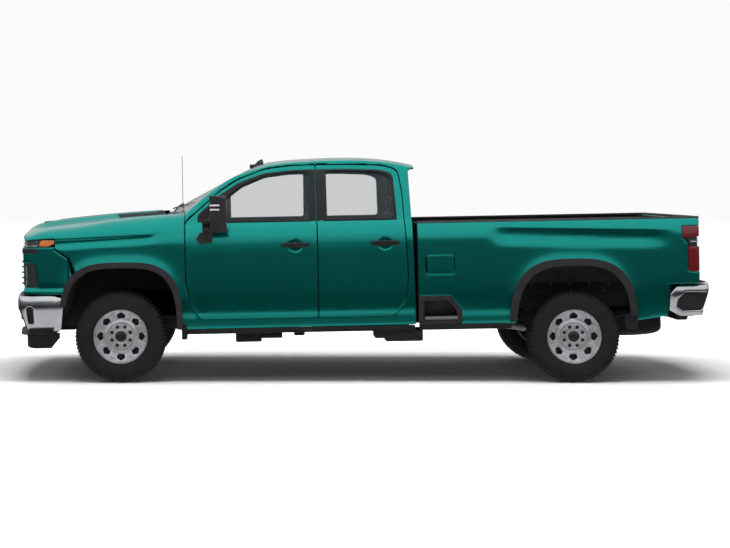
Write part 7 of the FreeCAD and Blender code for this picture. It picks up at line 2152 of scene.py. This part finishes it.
def add_handles():
    for door, x, z in HANDLES:
        for side, sign in SIDES:
            y = side_width(x, z)
            grip = rounded([
                (x - 136.0, z - 2.0, 12.0), (x - 96.0, z - 21.0, 40.0), (x + 96.0, z - 21.0, 40.0),
                (x + 136.0, z - 2.0, 12.0), (x + 96.0, z + 23.0, 40.0), (x - 96.0, z + 23.0, 40.0)])
            parts = [extruded(grip, y + 12.0, y + 36.0, side_way, 9.0)]
            for shift in (-112.0, 112.0):
                parts.append(block(
                    x + shift - 20.0, x + shift + 20.0, y - 4.0, y + 22.0, z - 15.0, z + 17.0, 6.0))
            body_piece(
                f"{door}_handle_{side}", on_side(parts, sign), f"{door}_{side}", TRIM_PLASTIC,
                "dark_trim")


def add_mirror_faces():
    for side, sign in SIDES:
        panes = []
        for low, high in ((1468.0, 1662.0), (1378.0, 1452.0)):
            corners = rounded([
                (1084.0, low, 14.0), (1240.0, low, 14.0), (1240.0, high, 14.0),
                (1084.0, high, 14.0)])
            panes.append(extruded(corners, 984.0, 990.0, front_way, 1.5))
        strips = [
            block(842.0, 928.0, 1246.0, 1258.0, z, z + 15.0, 4.0) for z in (1590.0, 1552.0)]
        shroud = [
            block(826.0, 940.0, 1090.0, 1232.0, 1352.0, 1372.0, 8.0),
            block(762.0, 850.0, 1012.0, 1052.0, 1366.0, 1470.0, 14.0),
            block(726.0, 842.0, 985.0, 1040.0, 1252.0, 1306.0, 20.0)]
        frame_bars = [
            block(986.0, 996.0, 1074.0, 1250.0, z, z + 8.0, 2.0) for z in (1366.0, 1456.0, 1664.0)]
        for suffix, parts, material, slot_name in (
                ("glass", panes, REFLECTOR, "chrome_plate"),
                ("marker_lens", strips, CLEAR_MARKER, "head_lens"),
                ("shroud", shroud + frame_bars, TRIM_PLASTIC, "black_plastic")):
            body_piece(
                f"mirror_{suffix}_{side}", on_side(parts, sign), f"front_door_{side}", material,
                slot_name)


def add_roof_items():
    """Aerial fin, mast, wipers and the third brake lamp."""
    roof = top_z(1300.0, 0.0)
    fin = rounded([
        (1216.0, roof - 22.0, 2.0), (1282.0, roof + 46.0, 30.0), (1326.0, roof + 64.0, 10.0),
        (1338.0, roof + 2.0, 6.0)])
    base = [
        block(1200.0, 1392.0, -30.0, 30.0, roof - 30.0, roof + 12.0, 9.0)]
    body_piece(
        "roof_fin", base + [extruded(fin, -9.0, 9.0, side_way, 5.0)], "body", GLOSS_BLACK,
        "dark_trim")
    foot = Vector((503.0, 838.0, 1512.0))
    tube("aerial_mast", [place(*foot), place(503.0, 838.0, 2088.0)], 0.0028, "body",
         TRIM_PLASTIC, "dark_trim", sides=8)
    tube("aerial_foot", [place(503.0, 838.0, z) for z in (1500.0, 1536.0)], 0.013, "body",
         TRIM_PLASTIC, "dark_trim", sides=16)
    for index, (y0, y1) in enumerate(((-640.0, -60.0), (-10.0, 560.0))):
        arm = []
        for t in steps(0.0, 1.0, 14):
            y = y0 + (y1 - y0) * t
            x = 452.0 + 40.0 * (y / 700.0) ** 2 + 96.0 * t
            arm.append(place(x, y, screen_z(x, y) + 16.0 - 6.0 * t))
        tube(f"wiper_arm_{index}", arm, 0.007, "body", TRIM_PLASTIC, "dark_trim", sides=8)
        blade = []
        for t in steps(0.0, 1.0, 16):
            y = y0 + 60.0 + (y1 - y0) * 0.98 * t
            x = 500.0 + 110.0 * (y / 700.0) ** 2 + 50.0 * t
            blade.append(place(x, y, screen_z(x, y) + 6.0))
        tube(f"wiper_blade_{index}", blade, 0.006, "body", SEAL_RUBBER, "dark_trim", sides=6)
    lamp_z = top_z(2712.0, 0.0) - 16.0
    body_piece(
        "high_brake_lamp", [block(2716.0, 2733.0, -170.0, 170.0, lamp_z - 12.0, lamp_z + 10.0)],
        "body", RED_LENS, "tail_lens")


def add_side_trim():
    """Dark pieces along the body's lower edge and inside the wheel openings."""
    blocks("sill_guard", "body", TRIM_PLASTIC, "black_plastic", [
        (566.0, 2684.0, 905.0, 964.0, 424.0, 470.0), (2724.0, 3560.0, 905.0, 966.0, 424.0, 476.0)])
    blocks("mud_flap", "body", TREAD_RUBBER, "tyre", [
        (4586.0, 4704.0, 930.0, 990.0, 398.0, 540.0), (556.0, 606.0, 850.0, 985.0, 378.0, 520.0)],
        edge=12.0)
    blocks("wheelhouse_apron", "body", DARK_LINING, "black_plastic", [
        (-520.0, 640.0, 462.0, 470.0, 560.0, 1090.0), (560.0, 640.0, 470.0, 900.0, 560.0, 1100.0),
        (3560.0, 4680.0, 545.0, 557.0, 690.0, 836.0)], edge=2.0)
    bolt_row("bed_bracket_bolt", "body", (3640.0, 557.0, 792.0), 6, (180.0, 0.0, 0.0), 12.0)
    bolt_row("bed_bracket_low_bolt", "body", (3700.0, 557.0, 722.0), 5, (200.0, 0.0, 0.0), 10.0)
    blocks("underbody_guard", "body", CHASSIS_STEEL, "frame_black", [
        (1040.0, 1285.0, 380.0, 520.0, 300.0, 400.0), (1280.0, 1480.0, 400.0, 500.0, 330.0, 380.0),
        (1590.0, 1690.0, 420.0, 500.0, 350.0, 400.0), (2320.0, 2440.0, 640.0, 900.0, 350.0, 424.0),
        (2420.0, 2760.0, 620.0, 905.0, 318.0, 424.0)], edge=10.0)
    bolt_row("frame_rivet", "body", (760.0, 433.0, 520.0), 22, (120.0, 0.0, 0.0), 7.0)


STEP_OUTER = [
    (2717.0, 478.0, 16.0), (2717.0, 735.0, 10.0), (3012.0, 735.0, 50.0), (3107.0, 604.0, 50.0),
    (3107.0, 478.0, 16.0)]
STEP_INNER = [
    (2766.0, 516.0, 16.0), (2766.0, 704.0, 16.0), (2976.0, 704.0, 40.0), (3074.0, 574.0, 30.0),
    (3074.0, 516.0, 16.0)]


def add_bed_step():
    opening = Outline(rounded(STEP_INNER))
    for side, sign in SIDES:
        panel(
            f"bed_step_surround_{side}", "body", FLARE_PLASTIC, side_point,
            Outline(rounded(STEP_OUTER)), slot="black_plastic", holes=[opening], roll=5.0,
            hole_flange=80.0, flange=8.0, proud=4.0, sign=sign)
        panel(
            f"bed_step_back_{side}", "body", TRIM_PLASTIC, side_point,
            Outline(opening.grown(4.0)), slot="black_plastic", roll=1.0, flange=0.0,
            proud=-74.0, sign=sign)
    blocks("bed_step_bar", "body", CAST_ALLOY, "frame_black", [
        (2770.0, 3070.0, 915.0, 990.0, 518.0, 548.0)], edge=8.0)
    rib = block(2782.0, 2790.0, -986.0, -920.0, 547.0, 552.0, 1.5)
    repeated_part(
        "bed_step_grips", rib, "body", TRIM_PLASTIC, 14,
        place(20.6, 0.0, 0.0) - place(0.0, 0.0, 0.0))


def add_front_trim():
    """Gloss bar and shades round the grille corners, uprights, vent slats and vanes."""
    end = corner_s(-738.0, 1210.0)
    bar = Outline(rounded([
        (0.0, 1184.0, 6.0), (end, 1184.0, 20.0), (end - 18.0, 1236.0, 20.0), (0.0, 1236.0, 6.0)]))
    side_end = LOWER_LAMP_INNER_S - 10.0
    shade = Outline([(2.0, 880.0), (side_end, 880.0), (side_end, 1180.0), (2.0, 1180.0)])
    for side, sign in SIDES:
        corner_panel(
            f"grille_bar_wrap_{side}", GLOSS_BLACK, "dark_trim", bar, sign, roll=8.0,
            flange=10.0, proud=8.0, cell=16.0)
        corner_panel(
            f"grille_side_{side}", GLOSS_BLACK, "dark_trim", shade, sign, roll=4.0, flange=8.0,
            proud=5.0, cell=20.0)
        rib = block(-936.0, -912.0, sign * 700.0 - 60.0, sign * 700.0 + 24.0, 0.0, 14.0, 4.0)
        spot = nose_x(700.0)
        moved = [Vector((v.x + 918.0 + spot, v.y - sign * 30.0, v.z + 900.0)) for v in rib[0]]
        repeated(
            f"grille_side_rib_{side}", [place(*v) for v in moved], rib[1], "body",
            GLOSS_BLACK, 5, step=(0.0, 0.0, 0.05))
        slat = block(
            -96.0, -86.0, sign * 432.0 - 26.0, sign * 432.0 + 26.0, 1474.0, 1487.0, 2.0)
        repeated_part(
            f"hood_vent_slats_{side}", slat, "hood", TRIM_PLASTIC, 15,
            (0.0322, 0.0, 0.00185))
    vane = block(-776.0, -640.0, -236.0, -230.0, 1444.0, 1462.0, 1.5)
    repeated_part(
        "hood_scoop_vanes", vane, "hood", TRIM_PLASTIC, 16, (0.0, 0.031, 0.0))
    strand = block(-918.0, -912.0, -560.0, -556.0, 850.0, 1172.0, 1.0)
    repeated_part(
        "grille_mesh_uprights", strand, "body", GLOSS_BLACK, 29, (0.0, 0.04, 0.0))


# Load bed and tailgate

def add_bed_inside():
    rib = block(2790.0, 5190.0, -500.0, -452.0, 835.0, 846.0, 4.0)
    repeated_part("bed_floor_ribs", rib, "body", BED_LINER, 10, (0.0, 0.1058, 0.0))
    for side, sign in SIDES:
        for index, x in enumerate((2860.0, 3420.0, 5120.0)):
            loop = [
                place(x - 34.0 * math.cos(t), sign * (BED_INNER_Y - 4.0 - 26.0 * math.sin(t)),
                      1332.0 - 22.0 * math.sin(t)) for t in steps(0.0, math.pi, 12)]
            tube(f"tie_down_{side}_{index}", loop, 0.006, "body", CAST_IRON, "cast", sides=8)
        wall = block(
            2800.0, 2830.0, sign * (BED_INNER_Y - 5.0) - 5.0, sign * (BED_INNER_Y - 5.0) + 5.0,
            900.0, 1300.0, 4.0)
        repeated_part(
            f"bed_wall_ribs_{side}", wall, "body", BED_LINER, 5,
            place(150.0, 0.0, 0.0) - place(0.0, 0.0, 0.0))
    bead = block(2745.0, 2752.0, -700.0, 700.0, 940.0, 960.0, 3.0)
    repeated_part("bed_front_ribs", bead, "body", BED_LINER, 5, (0.0, 0.0, 0.085))


def gate_point(y, z):
    return Vector((TAILGATE_REAR_X, y, z))


def gate_relief(y, z):
    """Raised frame round a shallow pressed field."""
    depth = min(y + 700.0, 700.0 - y, z - 930.0, 1200.0 - z)
    return 7.0 * smooth(depth / 24.0)


def add_tailgate():
    shape = Outline(rounded([
        (-788.0, 858.0, 24.0), (788.0, 858.0, 24.0), (788.0, 1396.0, 18.0),
        (-788.0, 1396.0, 18.0)]))
    handle = Outline(rounded([
        (-118.0, 1224.0, 16.0), (118.0, 1224.0, 16.0), (118.0, 1288.0, 16.0),
        (-118.0, 1288.0, 16.0)]))
    frame_lines = []
    for inset in (0.0, 12.0, 24.0):
        frame_lines.append([
            (-700.0 + inset, 930.0 + inset), (700.0 - inset, 930.0 + inset),
            (700.0 - inset, 1200.0 - inset), (-700.0 + inset, 1200.0 - inset),
            (-700.0 + inset, 930.0 + inset)])
    panel(
        "tailgate_skin", "tailgate", PAINT, gate_point, shape, holes=[handle], roll=7.0,
        flange=8.0, hole_flange=8.0, sunk=gate_relief, lines=frame_lines, cell=30.0,
        outward=Vector((1.0, 0.0, 0.0)))
    body_piece("tailgate_handle", [
        block(TAILGATE_REAR_X - 12.0, TAILGATE_REAR_X - 8.0, -122.0, 122.0, 1220.0, 1292.0, 1.0),
        block(TAILGATE_REAR_X - 6.0, TAILGATE_REAR_X + 6.0, -96.0, 96.0, 1238.0, 1278.0, 5.0)],
        "tailgate", GLOSS_BLACK, "dark_trim")
    body_piece("tailgate_cap", [
        block(5208.0, 5290.0, -788.0, 788.0, 1398.0, 1414.0, 6.0)], "tailgate", FLARE_PLASTIC,
        "black_plastic")

    liner = [(5206.0, 5213.0, -700.0, 700.0, 900.0, 1350.0)]
    liner += [(5200.0, 5208.0, -664.0, 664.0, z, z + 30.0) for z in range(930, 1320, 62)]
    blocks("tailgate_liner", "tailgate", BED_LINER, "black_plastic", liner, 3.0, False)


# Engine room

def add_engine_bay():
    """Ribbed cover and side covers on the engine, air box and battery beside it."""
    blocks("engine_cover", "body", TRIM_PLASTIC, "black_plastic", [
        (-450.0, 190.0, -196.0, 196.0, 1236.0, 1284.0)], 22.0, False)
    blocks("engine_cover_ribs", "body", TRIM_PLASTIC, "black_plastic", [
        (-400.0, 130.0, y, y + 18.0, 1278.0, 1292.0) for y in range(-159, 160, 60)], 5.0, False)
    blocks("engine_side_cover", "body", CAST_ALLOY, "cast", [
        (-440.0, 230.0, 205.0, 302.0, 1120.0, 1246.0)], 24.0)
    blocks("battery", "body", TRIM_PLASTIC, "black_plastic", [
        (-410.0, -150.0, 300.0, 470.0, 1010.0, 1204.0),
        (-396.0, -164.0, 312.0, 458.0, 1200.0, 1222.0)], 8.0, False)
    blocks("air_box", "body", TRIM_PLASTIC, "black_plastic", [
        (-420.0, -90.0, -480.0, -300.0, 1000.0, 1226.0),
        (-436.0, -74.0, -492.0, -296.0, 1128.0, 1150.0)], 16.0, False)
    duct = [
        place(-250.0, -390.0, 1222.0), place(-256.0, -384.0, 1262.0),
        place(-300.0, -340.0, 1282.0), place(-380.0, -250.0, 1284.0),
        place(-440.0, -150.0, 1276.0), place(-452.0, -60.0, 1256.0)]
    tube("intake_duct", duct, 0.038, "body", TRIM_PLASTIC, "black_plastic", sides=16)


# Seats

def in_cloth_frames(piece, cap):
    """Let the covering swell under a little pressure and return the moved mesh."""
    start = [v.co.copy() for v in piece.data.vertices]
    modifier = piece.modifiers.new("cover", "CLOTH")
    settings = modifier.settings
    settings.use_pressure = True
    settings.uniform_pressure_force = 4.0
    settings.effector_weights.gravity = 0.0
    settings.quality = 5
    scene = bpy.context.scene
    for number in range(1, 15):
        scene.frame_set(number)
    seen = bpy.context.evaluated_depsgraph_get()
    moved = [v.co.copy() for v in piece.evaluated_get(seen).data.vertices]
    piece.modifiers.clear()
    scene.frame_set(1)
    for vertex, before, after in zip(piece.data.vertices, start, moved):
        shift = after - before
        if shift.length > cap:
            shift *= cap / shift.length
        vertex.co = before + shift


def cushion_form(name, profile, half_width, voxel=0.022, cap=0.016):
    """A swollen seat form about the middle plane, as vertices and faces in metres."""
    vertices, faces = extruded(rounded(profile), -half_width, half_width, side_way, 16.0)
    mesh = bpy.data.meshes.new(name)
    mesh.from_pydata([place(*v) for v in vertices], [], faces)
    piece = bpy.data.objects.new(name, mesh)
    bpy.context.scene.collection.objects.link(piece)
    make_normals_outward(piece)
    remesh = piece.modifiers.new("even", "REMESH")
    remesh.mode = "VOXEL"
    remesh.voxel_size = voxel
    seen = bpy.context.evaluated_depsgraph_get()
    even = bpy.data.meshes.new_from_object(piece.evaluated_get(seen))
    piece.modifiers.clear()
    piece.data = even
    in_cloth_frames(piece, cap)
    smoothing = piece.modifiers.new("soft", "SUBSURF")
    smoothing.levels = 1
    smoothing.render_levels = 1
    seen = bpy.context.evaluated_depsgraph_get()
    final = bpy.data.meshes.new_from_object(piece.evaluated_get(seen))
    vertices = [v.co.copy() for v in final.vertices]
    faces = [list(polygon.vertices) for polygon in final.polygons]
    bpy.data.objects.remove(piece)
    return vertices, faces


SEAM_WIDTH = 9.0
SEAM_DEPTH = 7.0


def seat_piece(name, form, middle_y, seams, cross_seams):
    """A cushion moved to its place, with its sewn channels drawn in."""
    vertices, faces = form
    mesh = new_mesh(name + "_start", vertices, faces)
    shift = Vector((0.0, middle_y * MM, 0.0))
    sunk = []
    for spot, vertex in zip(vertices, mesh.vertices):
        x, y, _ = truck_point(spot)
        depth = max(
            [math.exp(-(((y - seam) / SEAM_WIDTH) ** 2)) for seam in seams]
            + [math.exp(-(((x - seam) / SEAM_WIDTH) ** 2)) for seam in cross_seams] + [0.0])
        sunk.append(spot - vertex.normal * depth * SEAM_DEPTH * MM + shift)
    bpy.data.meshes.remove(mesh)
    piece = make_piece(name, sunk, faces, "body", SEAT_CLOTH, "seat_cloth")
    return piece


FRONT_CUSHION = [
    (1168.0, 856.0, 20.0), (1652.0, 838.0, 20.0), (1680.0, 950.0, 50.0), (1190.0, 990.0, 60.0)]
FRONT_BACK = [
    (1600.0, 890.0, 30.0), (1702.0, 880.0, 50.0), (1862.0, 1494.0, 60.0),
    (1772.0, 1520.0, 50.0)]
FRONT_REST = [
    (1786.0, 1568.0, 30.0), (1862.0, 1556.0, 30.0), (1890.0, 1692.0, 40.0),
    (1820.0, 1702.0, 40.0)]
REAR_CUSHION = [
    (2100.0, 866.0, 20.0), (2552.0, 858.0, 20.0), (2552.0, 962.0, 50.0), (2115.0, 990.0, 60.0)]
REAR_BACK = [
    (2480.0, 908.0, 30.0), (2640.0, 908.0, 10.0), (2622.0, 1490.0, 30.0),
    (2550.0, 1500.0, 50.0)]
REAR_REST = [
    (2558.0, 1500.0, 20.0), (2618.0, 1492.0, 20.0), (2612.0, 1640.0, 40.0),
    (2566.0, 1640.0, 40.0)]
SEAT_Y = 380.0


def add_seats():
    cushion = cushion_form("front_cushion_form", FRONT_CUSHION, 246.0)
    back = cushion_form("front_back_form", FRONT_BACK, 238.0)
    rest = cushion_form("front_rest_form", FRONT_REST, 122.0, 0.016, 0.008)
    seats = []
    for side, sign in SIDES:
        y = sign * SEAT_Y
        seats.append(seat_piece(
            f"seat_cushion_{side}", cushion, y, (-150.0, 150.0), (1330.0, 1490.0)))
        seat_piece(f"seat_back_{side}", back, y, (-140.0, 140.0), ())
        seat_piece(f"head_rest_{side}", rest, y, (), ())
    cushion = cushion_form("rear_cushion_form", REAR_CUSHION, 736.0, 0.03)
    back = cushion_form("rear_back_form", REAR_BACK, 728.0, 0.03, 0.01)
    rest = cushion_form("rear_rest_form", REAR_REST, 112.0, 0.016, 0.006)
    seat_piece("rear_bench_cushion", cushion, 0.0, (-250.0, 250.0), (2240.0, 2400.0))
    seat_piece("rear_bench_back", back, 0.0, (-250.0, 250.0), ())
    for index, y in enumerate((-480.0, 0.0, 480.0)):
        seat_piece(f"rear_head_rest_{index}", rest, y, (), ())
    base = blocks("seat_base", "body", TRIM_PLASTIC, "dark_trim", [
        (1230.0, 1600.0, 190.0, 570.0, 620.0, 850.0), (2160.0, 2560.0, 20.0, 720.0, 620.0, 860.0)],
        edge=12.0)
    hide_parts("seats")
    console_outline = rounded([
        (1085.0, 780.0, 10.0), (1700.0, 780.0, 10.0), (1690.0, 1060.0, 40.0),
        (1250.0, 1060.0, 60.0), (1085.0, 930.0, 50.0)])
    body_piece("centre_console", [
        extruded(console_outline, -110.0, 110.0, side_way, 12.0),
        block(1500.0, 1690.0, -110.0, 110.0, 620.0, 860.0, 8.0)], "body", TRIM_PLASTIC, "dark_trim")
    for side, sign in SIDES:
        for shift in (-60.0, 60.0):
            y = sign * SEAT_Y + shift
            tube(f"head_rest_post_{side}_{int(shift)}".replace("-", "in_"), [
                place(1815.0, y, 1490.0), place(1838.0, y, 1600.0)], 0.006, "body", ROLLED_STEEL,
                "steel", sides=10)


# Floor, camera and light

CAMERA_X = -1006.0
CAMERA_HEIGHT = 1779.0
CAMERA_DISTANCE = 14800.0
FOCAL_PIXELS = 1520.0
IMAGE_WIDTH = 730.0
IMAGE_HEIGHT = 548.0
AXIS_PIXEL_X = 256.0
AXIS_PIXEL_Y = 187.0
SENSOR_MM = 36.0


def add_camera():
    data = bpy.data.cameras.new("side_camera")
    data.sensor_width = SENSOR_MM
    data.sensor_fit = "HORIZONTAL"
    data.lens = FOCAL_PIXELS / IMAGE_WIDTH * SENSOR_MM
    data.shift_x = (IMAGE_WIDTH / 2 - AXIS_PIXEL_X) / IMAGE_WIDTH
    data.shift_y = (AXIS_PIXEL_Y - IMAGE_HEIGHT / 2) / IMAGE_WIDTH
    data.clip_end = 200.0
    camera = new_object("side_camera", data)
    camera.location = Vector((CAMERA_X, -CAMERA_DISTANCE, CAMERA_HEIGHT)) * MM
    camera.rotation_euler = (math.radians(90.0), 0.0, 0.0)
    bpy.context.scene.camera = camera


def add_floor():
    reach = 60.0
    corners = [(-reach, -reach, 0.0), (reach, -reach, 0.0), (reach, reach, 0.0), (-reach, reach, 0.0)]
    floor = new_object("studio_floor", new_mesh("studio_floor", corners, [[0, 1, 2, 3]]))
    # The floor's material glows as painted light away from the truck, so only the ground close round it
    # shows shadow.
    floor.data.materials.append(FLOOR_PAPER_PAINTED_GLOW)
    floor.visible_glossy = False


def add_world():
    """Even white studio: bright above the horizon, dark below it in reflections."""
    world = bpy.data.worlds.new("studio_world")
    world.use_nodes = True
    tree = world.node_tree
    tree.nodes.clear()
    way = add(tree, "ShaderNodeTexCoord").outputs["Generated"]
    height = add(tree, "ShaderNodeSeparateXYZ", {"Vector": way}).outputs["Z"]
    ramp = add(tree, "ShaderNodeValToRGB", {
        "Fac": add(tree, "ShaderNodeMapRange", {
            "Value": height, "From Min": -1.0, "From Max": 1.0}).outputs["Result"]})
    stops = [
        (0.0, 0.8), (0.23, 0.6), (0.33, 0.035), (0.435, 0.02), (0.452, 0.1), (0.535, 0.16),
        (0.56, 0.66), (0.66, 0.9), (1.0, 1.0)]
    ramp.color_ramp.elements[0].position = stops[0][0]
    ramp.color_ramp.elements[0].color = (stops[0][1],) * 3 + (1.0,)
    ramp.color_ramp.elements[1].position = stops[-1][0]
    ramp.color_ramp.elements[1].color = (stops[-1][1],) * 3 + (1.0,)
    for position, tone in stops[1:-1]:
        stop = ramp.color_ramp.elements.new(position)
        stop.color = (tone, tone, tone, 1.0)
    lit = add(tree, "ShaderNodeBackground", {"Color": ramp.outputs["Color"], "Strength": 0.9})
    seen = add(tree, "ShaderNodeBackground", {"Color": linear("#fbfbfb"), "Strength": 1.0})
    path = add(tree, "ShaderNodeLightPath")
    soft = add(tree, "ShaderNodeBackground", {"Color": ramp.outputs["Color"], "Strength": 0.1})
    around = add(tree, "ShaderNodeMixShader", {
        0: path.outputs["Is Diffuse Ray"], 1: lit.outputs["Background"],
        2: soft.outputs["Background"]})
    mix = add(tree, "ShaderNodeMixShader", {
        0: path.outputs["Is Camera Ray"], 1: around.outputs["Shader"],
        2: seen.outputs["Background"]})
    add(tree, "ShaderNodeOutputWorld", {"Surface": mix.outputs["Shader"]})
    bpy.context.scene.world = world


def add_area_light(name, middle, aim, size_x, size_y, energy):
    data = bpy.data.lights.new(name, "AREA")
    data.shape = "RECTANGLE"
    data.size = size_x
    data.size_y = size_y
    data.energy = energy
    lamp = new_object(name, data)
    lamp.visible_glossy = False
    lamp.location = middle
    lamp.rotation_euler = (Vector(aim) - Vector(middle)).to_track_quat("-Z", "Y").to_euler()


def add_lights():
    add_area_light("top_softbox", (0.0, -1.0, 6.5), (0.0, 0.0, 0.0), 8.5, 3.6, 900.0)
    add_area_light("side_softbox", (-0.5, -8.0, 8.5), (0.0, 0.0, 0.9), 12.0, 2.5, 70.0)
    add_area_light("front_softbox", (-9.0, -4.0, 6.0), (-2.0, 0.0, 1.0), 4.0, 3.0, 60.0)
    add_area_light("rear_softbox", (9.0, 3.0, 6.5), (2.0, 0.0, 1.0), 4.0, 3.0, 60.0)


bpy.context.scene.view_settings.view_transform = "Standard"
add_camera()
add_world()
add_lights()
add_floor()
add_front_corners()
add_headlamps()
add_fenders()
add_hood()
add_cab_sides()
add_roof()
add_doors()
add_bed_sides()
add_carried_nodes()
add_wheels()
add_front_bumper()
add_rear_bumper()
add_handles()
add_mirror_faces()
add_roof_items()
add_side_trim()
add_bed_step()
add_front_trim()
add_bed_inside()
add_tailgate()
add_engine_bay()
add_seats()
